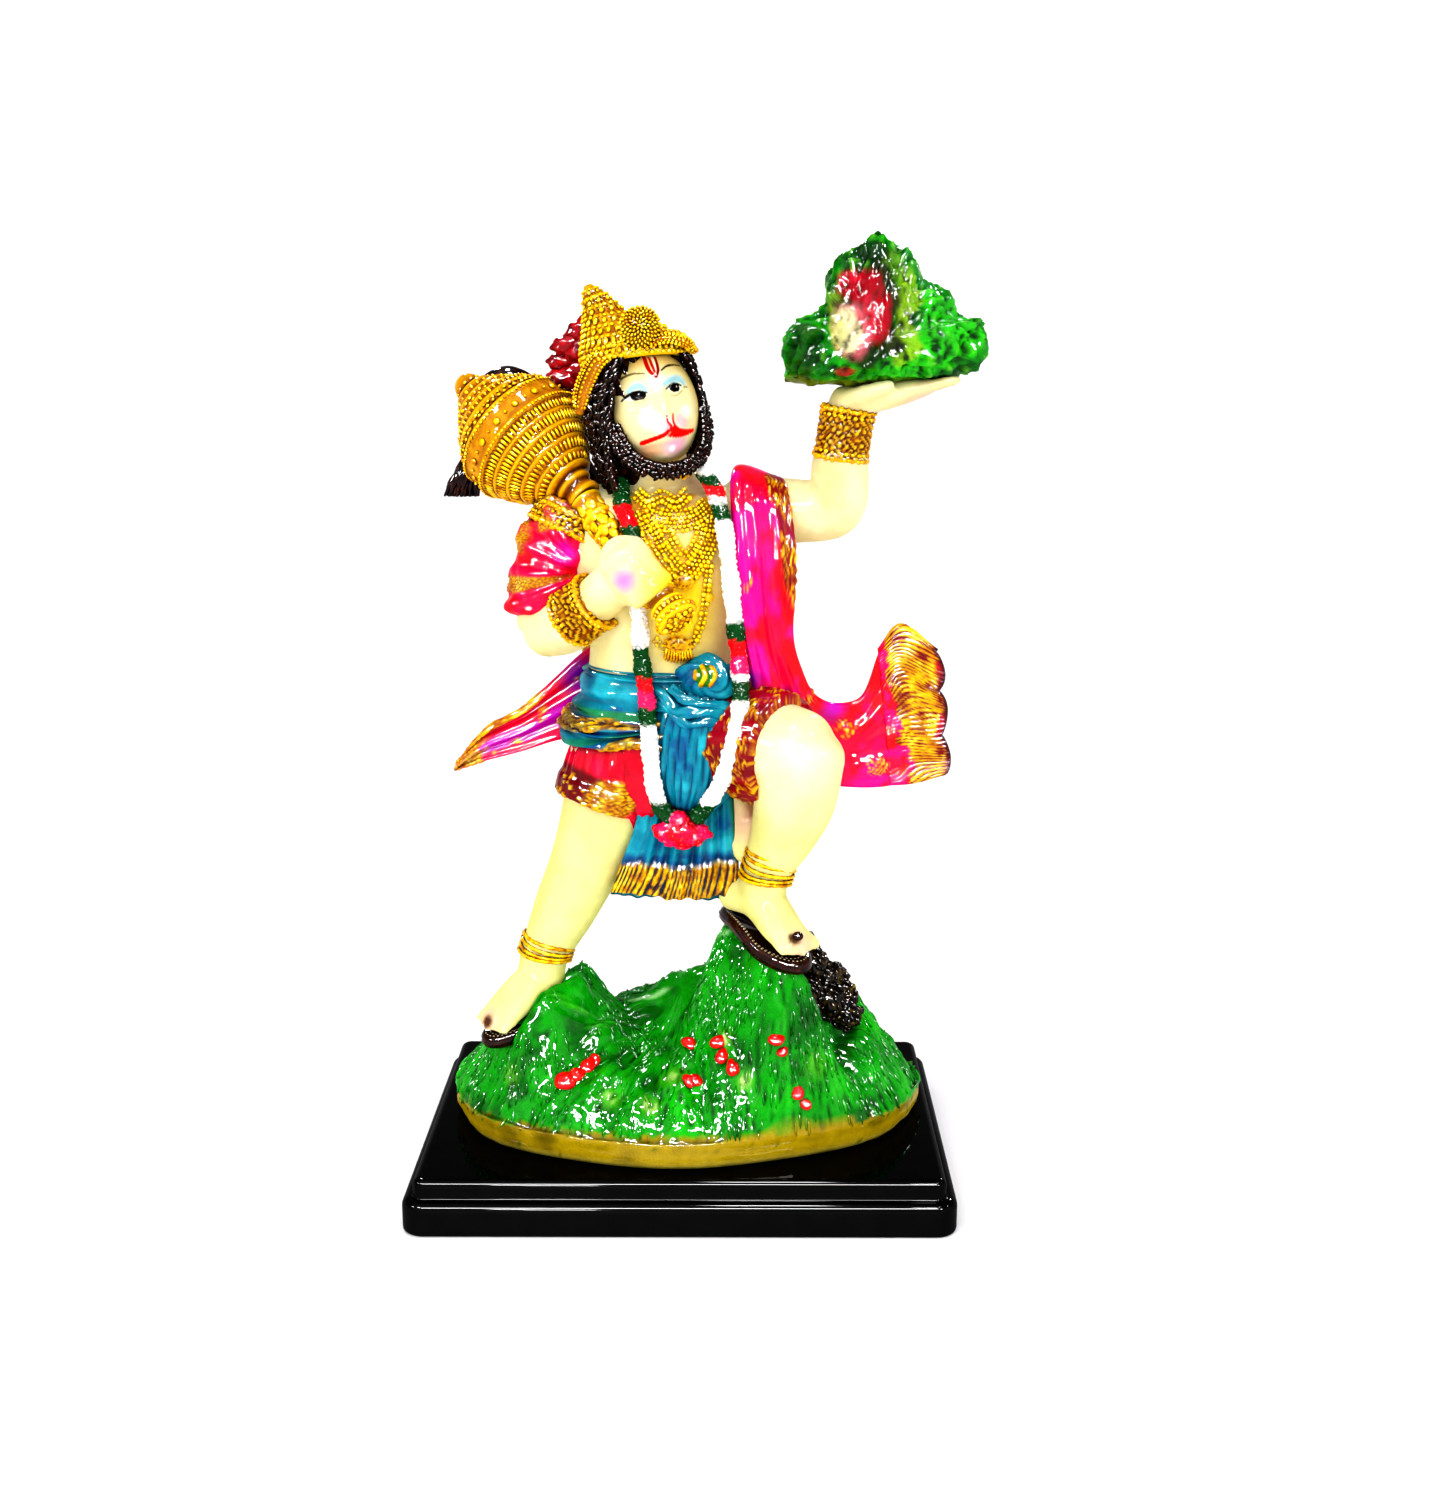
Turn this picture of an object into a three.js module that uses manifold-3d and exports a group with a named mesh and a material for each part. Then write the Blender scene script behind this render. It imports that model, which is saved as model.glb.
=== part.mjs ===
// Painted cast figure of Hanuman striding with the hill on his palm, on a two-tier plinth.
// Millimetres, +Z up, +X to the viewer's right, the viewer at -Y; origin under the plinth's middle.
import * as THREE from "three";
import { mergeVertices } from "three/addons/utils/BufferGeometryUtils.js";
import Module from "manifold-3d";

const wasm = await Module();
wasm.setup();

// Driving dimensions.
const figureHeight = 164; // plinth top to the top of the carried hill
const plinthHeight = 10;
const lowerTierHeight = 6.4;
const tierStep = 2; // the upper tier stands in by this much all round
const sideLedge = 2; // bare plinth top beside the mound
const frontLedge = 4; // bare plinth top before and behind the mound
const cornerRadius = 4;
const edgeRound = 0.9; // rounding of the plinth's long edges
const footRound = 0.8; // rounding of its bottom edge
const sandalThickness = 2.4;
const clothThickness = 2.6;
const garlandRadius = 1.75;
const tailRadius = 2.1;
const shaftRadius = 2.3;
const maceRadius = 11.9;

const mostFacets = 9200; // on the whole casting

// Every place on the figure is written for a figure 164 mm tall, and grows with the real height.
const drawnHeight = 164;
const grow = figureHeight / drawnHeight;
const moundHalfWidth = 46 * grow;
const moundHalfDepth = 29 * grow;
const plinthWidth = 2 * (moundHalfWidth + sideLedge + tierStep);
const plinthDepth = 2 * (moundHalfDepth + frontLedge + tierStep);

const X = new THREE.Vector3(1, 0, 0);
const Y = new THREE.Vector3(0, 1, 0);
const Z = new THREE.Vector3(0, 0, 1);

function spot(x, y, z) {
  return new THREE.Vector3(x, y, z).multiplyScalar(grow);
}

function between(from, to, share) {
  return from + (to - from) * share;
}

function volumeOf(points, faces) {
  let sum = 0;
  for (let f = 0; f < faces.length; f += 3) {
    const [a, b, c] = [points[faces[f]], points[faces[f + 1]], points[faces[f + 2]]];
    sum += a.dot(b.clone().cross(c));
  }
  return sum;
}

// Turns points and faces into a geometry whose faces point outwards.
function shell(points, faces) {
  if (volumeOf(points, faces) < 0) faces.reverse();
  const geometry = new THREE.BufferGeometry();
  const flat = points.flatMap((p) => p.toArray());
  geometry.setAttribute("position", new THREE.Float32BufferAttribute(flat, 3));
  geometry.setIndex(faces);
  return geometry;
}

// A closed skin over rings of equally many points, with a fan over each end.
function skinOver(rings) {
  const sides = rings[0].length;
  const points = rings.flat();
  const faces = [];
  for (let ring = 0; ring + 1 < rings.length; ring++)
    for (let side = 0; side < sides; side++) {
      const a = ring * sides + side;
      const b = ring * sides + ((side + 1) % sides);
      faces.push(a, b, b + sides, a, b + sides, a + sides);
    }
  const lastRing = (rings.length - 1) * sides;
  const middle = (ring) =>
    ring.reduce((sum, p) => sum.add(p), new THREE.Vector3()).divideScalar(sides);
  const firstMiddle = points.push(middle(rings[0])) - 1;
  const lastMiddle = points.push(middle(rings.at(-1))) - 1;
  for (let side = 0; side < sides; side++) {
    const next = (side + 1) % sides;
    faces.push(firstMiddle, next, side, lastMiddle, lastRing + side, lastRing + next);
  }
  return shell(points, faces);
}

// A rounded body along a bent line. Each station is [x, y, z, half-width, half-depth];
// relief(turn, along) scales the radius, and blunt closes each end with a smaller ring.
function limb(stations, { sides = 12, steps = 10, across = X, relief, blunt = 0.6 } = {}) {
  const line = new THREE.CatmullRomCurve3(stations.map(([x, y, z]) => spot(x, y, z)));
  const sizes = new THREE.CatmullRomCurve3(
    stations.map(([, , , width, depth = width]) => spot(width, depth, 0)),
  );
  const rings = [];
  let side = across.clone();
  const ringAt = (along, shrink, push) => {
    const tangent = line.getTangent(along).normalize();
    side = side.clone().addScaledVector(tangent, -side.dot(tangent)).normalize();
    const depth = tangent.clone().cross(side);
    const size = sizes.getPoint(along);
    const centre = line.getPoint(along).addScaledVector(tangent, push * size.y);
    const ring = [];
    for (let i = 0; i < sides; i++) {
      const turn = (2 * Math.PI * i) / sides;
      const swell = shrink * (relief ? relief(turn, along) : 1);
      ring.push(
        centre.clone()
          .addScaledVector(side, size.x * swell * Math.cos(turn))
          .addScaledVector(depth, size.y * swell * Math.sin(turn)),
      );
    }
    rings.push(ring);
  };
  if (blunt) ringAt(0, blunt, -0.45);
  for (let i = 0; i <= steps; i++) ringAt(i / steps, 1, 0);
  if (blunt) ringAt(1, blunt, 0.45);
  return skinOver(rings);
}

// Cloth hung between two edges: each row is [edge a, edge b], and the folds run along the cloth.
function drape(rows, { folds = 3, depth = 1, points = 10, steps = 12, thick = clothThickness } = {}) {
  const [edgeA, edgeB] = [0, 1].map(
    (e) => new THREE.CatmullRomCurve3(rows.map((row) => spot(...row[e]))),
  );
  const rings = [];
  for (let i = 0; i <= steps; i++) {
    const along = i / steps;
    const [a, b] = [edgeA.getPoint(along), edgeB.getPoint(along)];
    const tangent = edgeA.getTangent(along).add(edgeB.getTangent(along));
    const normal = tangent.cross(b.clone().sub(a)).normalize();
    const front = [];
    const back = [];
    for (let j = 0; j < points; j++) {
      const share = j / (points - 1);
      const rim = Math.sin(Math.PI * share) ** 0.4;
      const wave = Math.cos(2 * Math.PI * folds * share + 0.6 * along) * depth * grow;
      const half = (thick * grow * (0.45 + 0.55 * rim)) / 2;
      const p = a.clone().lerp(b, share).addScaledVector(normal, wave * rim);
      front.push(p.clone().addScaledVector(normal, half));
      back.unshift(p.clone().addScaledVector(normal, -half));
    }
    rings.push([...front, ...back]);
  }
  return skinOver(rings);
}

// A turned form: profile is [radius, height] pairs from the axis back to the axis.
// swell(turn, height) scales the radius for flutes and beads.
function turned(profile, { sides = 20, from, towards, swell } = {}) {
  const outline = profile.map(([r, h]) => new THREE.Vector2(r * grow, h * grow));
  const lathe = new THREE.LatheGeometry(outline, sides);
  if (swell) {
    const place = lathe.getAttribute("position");
    for (let i = 0; i < place.count; i++) {
      const turn = Math.atan2(place.getZ(i), place.getX(i));
      const scale = swell(turn, place.getY(i) / grow);
      place.setX(i, place.getX(i) * scale);
      place.setZ(i, place.getZ(i) * scale);
    }
  }
  const start = spot(...from);
  const axis = spot(...towards).sub(start).normalize();
  lathe.applyQuaternion(new THREE.Quaternion().setFromUnitVectors(Y, axis));
  lathe.translate(...start.toArray());
  return lathe;
}

// A lump with its own half-sizes, turned by [about X, about Y, about Z] degrees.
function lump(place, sizes, { turn = [0, 0, 0], sides = 10, bulge } = {}) {
  const ball = new THREE.SphereGeometry(1, sides, Math.ceil(sides * 0.6));
  if (bulge) {
    const p = ball.getAttribute("position");
    for (let i = 0; i < p.count; i++) {
      const scale = bulge(p.getX(i), p.getY(i), p.getZ(i));
      p.setXYZ(i, p.getX(i) * scale, p.getY(i) * scale, p.getZ(i) * scale);
    }
  }
  const angles = turn.map(THREE.MathUtils.degToRad);
  const placing = new THREE.Matrix4().compose(
    spot(...place),
    new THREE.Quaternion().setFromEuler(new THREE.Euler(...angles)),
    spot(...sizes),
  );
  return ball.applyMatrix4(placing);
}

function solidOf(geometry) {
  const bare = geometry.clone();
  bare.deleteAttribute("normal");
  bare.deleteAttribute("uv");
  const merged = mergeVertices(bare, 1e-4);
  const kept = [];
  const index = merged.index.array;
  for (let i = 0; i < index.length; i += 3) {
    const [a, b, c] = index.slice(i, i + 3);
    if (a !== b && b !== c && a !== c) kept.push(a, b, c);
  }
  return new wasm.Manifold(
    new wasm.Mesh({
      numProp: 3,
      vertProperties: new Float32Array(merged.attributes.position.array),
      triVerts: new Uint32Array(kept),
    }),
  );
}

function geometryOf(solid) {
  const mesh = solid.getMesh();
  const geometry = new THREE.BufferGeometry();
  geometry.setAttribute("position", new THREE.BufferAttribute(mesh.vertProperties, 3));
  geometry.setIndex(new THREE.BufferAttribute(mesh.triVerts, 1));
  return geometry;
}

// One solid out of many. The casting is solid, so pockets shut in between its forms are
// filled: only the outer skin, the body of most volume, is kept.
function joined(geometries) {
  const bodies = geometries.map(solidOf).reduce((sum, next) => sum.add(next)).decompose();
  bodies.sort((a, b) => b.volume() - a.volume());
  return thinned(geometryOf(bodies[0]), mostFacets);
}

// How far p lies from the planes gathered in a quadric, squared and weighed by their areas.
function strayOf(q, p) {
  const { x, y, z } = p;
  return (
    q[0] * x * x + 2 * q[1] * x * y + 2 * q[2] * x * z + 2 * q[3] * x +
    q[4] * y * y + 2 * q[5] * y * z + 2 * q[6] * y + q[7] * z * z + 2 * q[8] * z + q[9]
  );
}

// Thins a closed skin to about a number of facets. The joins leave slivers along every seam:
// edges are drawn together to a point, those first whose loss moves the surface least.
function thinned(geometry, most) {
  const place = geometry.getAttribute("position");
  const index = geometry.index.array;
  const points = [];
  for (let i = 0; i < place.count; i++)
    points.push(new THREE.Vector3().fromBufferAttribute(place, i));
  let faces = [];
  for (let i = 0; i < index.length; i += 3) faces.push([...index.slice(i, i + 3)]);
  const normalOf = (a, b, c) => b.clone().sub(a).cross(c.clone().sub(a));
  const quadrics = points.map(() => new Float64Array(10));
  for (const face of faces) {
    const n = normalOf(...face.map((v) => points[v]));
    const area = n.length();
    if (area === 0) continue;
    n.divideScalar(area);
    const d = -n.dot(points[face[0]]);
    const plane = [n.x, n.y, n.z, d];
    let entry = 0;
    for (let i = 0; i < 4; i++)
      for (let j = i; j < 4; j++) {
        for (const v of face) quadrics[v][entry] += area * plane[i] * plane[j];
        entry++;
      }
  }
  for (let lastCount = Infinity; faces.length > most && faces.length < lastCount; ) {
    lastCount = faces.length;
    const around = points.map(() => []);
    faces.forEach((face, f) => face.forEach((v) => around[v].push(f)));
    const edges = [];
    for (const face of faces)
      for (let i = 0; i < 3; i++) {
        const [a, b] = [face[i], face[(i + 1) % 3]];
        if (a > b) continue;
        const q = quadrics[a].map((value, k) => value + quadrics[b][k]);
        const middle = points[a].clone().lerp(points[b], 0.5);
        const spots = [points[a], points[b], middle];
        const strays = spots.map((p) => strayOf(q, p));
        const least = Math.min(...strays);
        const to = spots[strays.indexOf(least)].clone();
        edges.push({ a, b, q, to, cost: least + 1e-4 * points[a].distanceToSquared(points[b]) });
      }
    edges.sort((one, other) => one.cost - other.cost);
    const busy = new Set();
    const gone = new Set();
    for (const { a, b, q, to } of edges.slice(0, Math.ceil(edges.length / 4))) {
      if (faces.length - gone.size <= most) break;
      const touching = [...new Set([...around[a], ...around[b]])];
      const ring = new Set(touching.flatMap((f) => faces[f]));
      if ([...ring].some((v) => busy.has(v))) continue;
      const nextTo = (v) => new Set(around[v].flatMap((f) => faces[f]));
      const shared = [...nextTo(a)].filter((v) => v !== a && v !== b && nextTo(b).has(v));
      if (shared.length !== 2) continue;
      const kept = touching.filter((f) => !(faces[f].includes(a) && faces[f].includes(b)));
      const turnsOver = kept.some((f) => {
        const before = normalOf(...faces[f].map((v) => points[v]));
        const after = normalOf(...faces[f].map((v) => (v === a || v === b ? to : points[v])));
        return after.length() < 1e-5 || before.dot(after) < 0.3 * before.length() * after.length();
      });
      if (turnsOver) continue;
      touching.filter((f) => !kept.includes(f)).forEach((f) => gone.add(f));
      for (const f of kept) faces[f] = faces[f].map((v) => (v === b ? a : v));
      points[a].copy(to);
      quadrics[a] = q;
      ring.forEach((v) => busy.add(v));
    }
    faces = faces.filter((face, f) => !gone.has(f));
  }
  return shell(points, faces.flat());
}

// Uneven surface, the same every time: a few waves that never line up.
function rough(x, y, z = 0) {
  const waves = [
    [0.61, 0.23, 0.37, 1.3],
    [-0.29, 0.67, 0.41, 4.1],
    [0.97, -0.71, -0.53, 2.2],
  ];
  return waves.reduce((sum, [i, j, k, l]) => sum + Math.sin(i * x + j * y + k * z + l), 0) / 3;
}

// The mound: a low green rise with a spur under each foot. Each spur is [from, to, width],
// its ends [x, y, height].
const spurs = [
  [[-19, 1, 28.5], [-21, -1, 28], 6],
  [[-21, -2, 27], [-35, -13, 19.5], 9],
  [[9.5, -7, 42.2], [20.5, -19.5, 37.6], 7.2],
  [[4, 3, 28], [-6, 5, 23], 8],
  [[24, -1, 31], [31, 2, 25], 8],
  [[33, -4, 17.5], [38, 1, 14.5], 9],
];
const rimHeight = 4.6;

function moundHeight(x, y, edge) {
  const dome = rimHeight + 12.5 * Math.sqrt(Math.max(0, 1 - edge * edge));
  let height = dome;
  for (const [[ax, ay, az], [bx, by, bz], width] of spurs) {
    const [dx, dy] = [bx - ax, by - ay];
    const share = ((x - ax) * dx + (y - ay) * dy) / (dx * dx + dy * dy);
    const along = THREE.MathUtils.clamp(share, 0, 1);
    const away = Math.hypot(x - ax - dx * along, y - ay - dy * along);
    const top = between(az, bz, along) - dome;
    height = Math.max(height, dome + top * Math.exp(-((away / width) ** 2)));
  }
  const furrows = 0.6 * edge * Math.sin(19 * Math.atan2(y, x));
  return height + furrows + 1.1 * rough(x, y) * (1 - edge);
}

function mound() {
  const sides = 44;
  const rings = [];
  const ringAt = (edge, heightOf) => {
    const ring = [];
    for (let i = 0; i < sides; i++) {
      const turn = (2 * Math.PI * i) / sides;
      const wobble = 1 + 0.018 * Math.sin(3 * turn + 1) + 0.012 * Math.sin(7 * turn);
      const [w, d] = [moundHalfWidth / grow, moundHalfDepth / grow];
      const [x, y] = [w * edge * wobble * Math.cos(turn), d * edge * wobble * Math.sin(turn)];
      ring.push(spot(x, y, heightOf(x, y)));
    }
    rings.push(ring);
  };
  const rimRings = [[0.95, 0], [0.985, 1.6], [0.97, rimHeight]];
  rimRings.forEach(([edge, height]) => ringAt(edge, () => height));
  const slopeRings = 12;
  for (let i = 1; i < slopeRings; i++) {
    const edge = 0.95 * (1 - i / slopeRings);
    ringAt(edge, (x, y) => moundHeight(x, y, edge));
  }
  return skinOver(rings);
}

// Flower heads half sunk in the front slope.
function flowers() {
  const blooms = [[-25, -19], [-20, -20], [-1, -17], [7, -19], [13, -18], [2, -22], [24, -19]];
  return blooms.map(([x, y]) => {
    const edge = Math.hypot((x * grow) / moundHalfWidth, (y * grow) / moundHalfDepth);
    return lump([x, y, moundHeight(x, y, edge) + 0.2], [2.4, 2.2, 1.7], { sides: 6 });
  });
}

// Scrub and rock beside the raised foot.
function scrub() {
  const clumps = [[27.4, -2, 29, 4.4], [31.4, 0, 26, 4.2], [31, -4, 22, 4.6], [25.4, 2, 32, 3.2]];
  const spiky = (x, y, z) => 1 + 0.25 * rough(9 * x, 9 * y, 9 * z);
  return clumps.map(([x, y, z, r]) => lump([x, y, z], [r, r, r], { sides: 8, bulge: spiky }));
}

// Body and limbs.
const torsoStations = [
  [-3, 0.5, 62, 14, 10.5],
  [-3, 0.5, 72, 16.5, 12],
  [-3.2, 0, 84, 14.5, 11],
  [-3.3, -0.5, 92, 13.5, 10.6],
  [-3.5, 0, 100, 14.8, 10.6],
  [-3.6, 0.5, 108, 17, 11],
  [-4, 1.5, 115, 17, 10],
  [-4.2, 2.2, 119.5, 12, 7.5],
  [-4.4, 1.2, 123.5, 6.4, 6.2],
  [-4.8, 0, 130, 6, 6],
];

function torso() {
  // A shallow furrow runs down the front between breastbone and navel.
  const furrow = (turn, along) =>
    1 - 0.05 * Math.exp(-(((turn - 1.5 * Math.PI) / 0.25) ** 2)) * Math.sin(Math.PI * along);
  return limb(torsoStations, { sides: 20, steps: 14, relief: furrow });
}

const leftKnee = [-18.2, -3, 50, 6.8, 6.9];
const leftAnkle = [-26.2, -4.6, 32.5, 4.5, 4.6];

function standingLeg() {
  const leg = [
    [-11, 0, 69, 10.5, 10.5], [-14.3, -1.4, 59, 8.6, 8.8], leftKnee,
    [-22.4, -3.2, 41, 5.9, 6.3], leftAnkle, [-26.8, -4.8, 28, 4.4, 4.4],
  ];
  return limb(leg, { sides: 14, steps: 11 });
}

const rightKnee = [21, -15.5, 74.6, 8.8, 8.4];
const rightAnkle = [15.6, -12.4, 51.2, 4.3, 4.5];

function raisedLeg() {
  const thigh = [[4, -1, 73, 10.5, 10.5], [12, -8, 76, 10, 10], rightKnee];
  const shin = [
    rightKnee, [20.6, -14.8, 66, 7.5, 7.6], [18.8, -13.2, 59.5, 6.2, 6.4],
    rightAnkle, [15, -12, 46.5, 4.2, 4.4],
  ];
  // The casting is left solid between the apron and the inside of the calf.
  const web = [[7, -3, 70, 5.5, 4.5], [10, -6.4, 62, 4.2, 3.6], [12.4, -8.6, 54, 3, 3]];
  return [
    limb(thigh, { sides: 14, steps: 6, across: Z, blunt: 0.7 }),
    limb(shin, { sides: 14, steps: 9, blunt: 0.7 }),
    limb(web, { sides: 8, steps: 3 }),
  ];
}

// A foot is [heel, instep, ball, toes]; the sandal is a slab under it.
function footOn(stations, toeSpread) {
  const [heel, , ball, tip] = stations.map(([x, y, z]) => new THREE.Vector3(x, y, z));
  const forward = tip.clone().sub(heel).normalize();
  const sideways = forward.clone().cross(Z).normalize();
  const up = sideways.clone().cross(forward);
  const pieces = [limb(stations, { sides: 12, steps: 6, across: sideways })];
  for (let toe = -2; toe <= 2; toe++) {
    const place = tip.clone().addScaledVector(sideways, toe * toeSpread)
      .addScaledVector(forward, -0.35 * Math.abs(toe) * toeSpread + 0.8);
    const size = toe === -2 ? 1.25 : 1;
    pieces.push(lump(place.toArray(), [size, size, size], { sides: 6 }));
  }
  const sole = [heel, heel.clone().lerp(ball, 0.5), ball, tip.clone().addScaledVector(forward, 2)];
  const halfWidths = [3.6, 3.4, 4.6, 3.6];
  const rows = sole.map((p, i) => {
    const low = p.clone().addScaledVector(up, -stations[i][4] - sandalThickness / 3);
    return [-1, 1].map((s) =>
      low.clone().addScaledVector(sideways, s * halfWidths[i]).toArray(),
    );
  });
  const slab = { folds: 0, depth: 0, points: 4, steps: 6, thick: sandalThickness };
  pieces.push(drape(rows, slab));
  return pieces;
}

const leftFoot = [
  [-25.3, -3.2, 27.6, 4, 3.4], [-28.6, -6.6, 27.2, 4.1, 3.8],
  [-32.6, -10.6, 24.4, 4.4, 2.7], [-35.2, -13.2, 22.6, 3.9, 1.7],
];
const rightFoot = [
  [9.8, -7.2, 46, 3.9, 3.4], [14.4, -11.6, 46.2, 4, 4],
  [18.6, -16.6, 42, 4.3, 2.8], [21.4, -20, 39.8, 3.8, 1.8],
];

function raisedArm() {
  const upper = [
    [11, 2.5, 115.5, 7.5, 7], [20, 1.5, 115.8, 6, 5.9], [28.6, -1, 116, 5.2, 5.2],
    [30, -2, 118.2, 5.2, 5.2], [29.2, -2.6, 124, 5.3, 5.3],
    [29.6, -3, 130.5, 4.3, 4.2], [30.5, -3, 135.5, 4, 4],
  ];
  const palm = [
    [28.4, -3, 135.6, 4.2, 2.6], [33.5, -3, 136.4, 5.6, 2.9],
    [40, -3, 137.6, 5.4, 2.3], [44, -3, 138.5, 4.8, 1.6],
  ];
  const pieces = [
    limb(upper, { sides: 12, steps: 14, across: Y }),
    limb(palm, { sides: 12, steps: 6, across: Y }),
  ];
  for (let finger = 0; finger < 4; finger++) {
    const y = -6.9 + 2.5 * finger;
    const reach = 5.6 - 0.9 * Math.abs(finger - 1.6);
    const bones = [[42, y, 138, 1.25, 1.2], [44 + reach * 0.5, y, 139, 1.15, 1.1],
      [44 + reach, y - 0.3, 139.5, 0.8, 0.8]];
    pieces.push(limb(bones, { sides: 6, steps: 3, across: Y }));
  }
  return pieces;
}

const fist = [-8.6, -12.6, 106.8];

function bentArm() {
  const upper = [
    [-14, 2.5, 114, 7.4, 7], [-19.6, 2, 112, 6.6, 6.6], [-23.4, 0, 103, 5.7, 5.7],
    [-25, -1.8, 95, 5.2, 5.2],
  ];
  const fore = [
    [-24.8, -1.8, 94.6, 5.2, 5.2], [-20, -6, 96.4, 5.2, 5.2],
    [-15, -9.8, 101, 4.3, 4.3], [-11, -12, 105, 4.1, 4.1],
  ];
  const pieces = [
    limb(upper, { sides: 12, steps: 7, across: Y }),
    limb(fore, { sides: 12, steps: 6, across: Y }),
    lump(fist, [5.6, 5, 6.6], { sides: 12, turn: [0, -35, 0] }),
  ];
  // The back of the hand is to the viewer; the knuckles close round the shaft on its right.
  for (let finger = 0; finger < 4; finger++) {
    const along = -3.6 + 2.4 * finger;
    const [x, z] = [fist[0] - 0.62 * along, fist[2] + 0.78 * along];
    const bones = [[x + 1.4, -15.4, z + 1.2, 1.7], [x + 4.4, -13.8, z + 3.4, 1.7], [x + 4.6, -10.4, z + 3.8, 1.5]];
    pieces.push(limb(bones, { sides: 6, steps: 3, across: Y }));
  }
  return pieces;
}

// The head has a frame of its own: turned to the viewer's right and leaning to the left.
const headPlace = [-5.3, -0.8, 134.4];
const headTurn = new THREE.Quaternion().setFromEuler(
  new THREE.Euler(0, THREE.MathUtils.degToRad(-10.5), THREE.MathUtils.degToRad(20), "YZX"),
);

function inHead(x, y, z) {
  const turned = new THREE.Vector3(x, y, z).applyQuaternion(headTurn);
  return turned.add(new THREE.Vector3(...headPlace)).toArray();
}

function head() {
  const ball = new THREE.SphereGeometry(1, 20, 14);
  ball.rotateX(Math.PI / 2);
  const p = ball.getAttribute("position");
  const hump = (x, z, cx, cz, wide, high) =>
    Math.exp(-(((x - cx) / wide) ** 2) - ((z - cz) / high) ** 2);
  for (let i = 0; i < p.count; i++) {
    let [x, y, z] = [p.getX(i) * 8.4, p.getY(i) * 9.8, p.getZ(i) * 10.8];
    if (y < -2) {
      y -= 3.4 * hump(x, z, 0, -4.6, 4.2, 3.4); // muzzle
      y -= 1.2 * hump(x, z, 0, 2.2, 6.5, 1.3); // brow
      y += 1.3 * (hump(x, z, -3.4, 0, 2, 1.6) + hump(x, z, 3.4, 0, 2, 1.6)); // eyes
      y -= 0.9 * hump(x, z, 0, -1.6, 1.6, 2.2); // nose
      y -= 1.6 * hump(x, z, 0, -8.6, 2.6, 1.6); // chin
    }
    p.setXYZ(i, x, y, z);
  }
  ball.scale(grow, grow, grow);
  ball.applyQuaternion(headTurn);
  ball.translate(...spot(...headPlace).toArray());
  const beard = [[-8.6, -2, -2], [-7.6, -4.6, -7.4], [-3, -7.6, -10.6], [2, -8, -10.8],
    [6.8, -5, -8], [8.4, -2.4, -2.4]];
  const strands = (turn, along) => 1 + 0.12 * Math.cos(3 * turn + 26 * along);
  const line = beard.map((q) => [...inHead(...q), 1.9, 2]);
  return [ball, limb(line, { sides: 8, steps: 12, across: Z, relief: strands })];
}

function hair() {
  const waves = (turn, along) => 1 + 0.045 * Math.cos(11 * turn + 3.5 * Math.sin(7 * along));
  const mass = [
    [...inHead(-1.4, 4, -17), 6, 4], [...inHead(-1, 3.8, -12), 8.4, 6.4],
    [...inHead(-0.6, 2.8, -5), 9.6, 8.4], [...inHead(-0.4, 2, 3), 9.8, 9.2],
    [...inHead(-0.4, 1, 8), 8.8, 8.8],
  ];
  const locks = [
    [[-9.4, 0.5, 4], [-10.4, 0, -5], [-10, -0.6, -12], [-8.4, -1.4, -17.5]],
    [[-8.6, -3, 6], [-9.2, -3.2, -1], [-9, -3, -8], [-8.6, -2.6, -14]],
    [[7.6, -3, 6.4], [8.6, -3, 0], [8.4, -3, -6], [7, -2.6, -10.6]],
    [[8.6, 0, 4], [9.2, 0, -4], [8.2, 0.4, -11], [6.4, 1, -15]],
  ];
  const twist = (turn, along) => 1 + 0.16 * Math.cos(3 * turn + 12 * along);
  const lockOf = (points) =>
    limb(points.map((q, i) => [...inHead(...q), 2.3 - 0.35 * i]), {
      sides: 7, steps: 7, relief: twist,
    });
  return [limb(mass, { sides: 22, steps: 9, relief: waves }), ...locks.map(lockOf)];
}

// Crown: a band, three fluted tiers and a finial, leaning back to the left.
const crownBase = [-6.9, -0.2, 140];
const crownTip = [-15.6, 3.6, 154.8];

function crown() {
  const profile = [
    [0, -2.4], [9, -2.4], [10.4, -1], [10.4, 0.8], [9.4, 1.4], [9.7, 3], [8.6, 4],
    [7.7, 4.6], [8, 6], [6.6, 7.6], [5.6, 8.1], [5.8, 9.4], [4.4, 11],
    [3, 11.6], [3.3, 12.8], [1.9, 14.6], [2, 15.4], [0, 17.6],
  ];
  const flutes = (turn, height) => 1 + (height > 1 && height < 11.2 ? 0.05 : 0) * Math.cos(10 * turn);
  const tiers = turned(profile, { sides: 20, from: crownBase, towards: crownTip, swell: flutes });
  const petals = (turn) => 1 + 0.12 * Math.cos(6 * turn);
  const rosette = turned([[0, -3], [3, -3], [3, 0.4], [2, 1.1], [1.2, 0.9], [0, 1.9]], {
    sides: 12, from: [-6.9, -6.4, 148.6], towards: [-6.3, -12, 151.4], swell: petals,
  });
  const earFlap = limb(
    [[...inHead(-9, -2.4, 6.4), 2.4, 1.6], [...inHead(-9.8, -1.6, 2), 2, 1.6],
      [...inHead(-10.2, -1.2, -2.4), 1.2, 1.2]],
    { sides: 7, steps: 4, across: Y },
  );
  return [tiers, rosette, earFlap];
}

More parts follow.
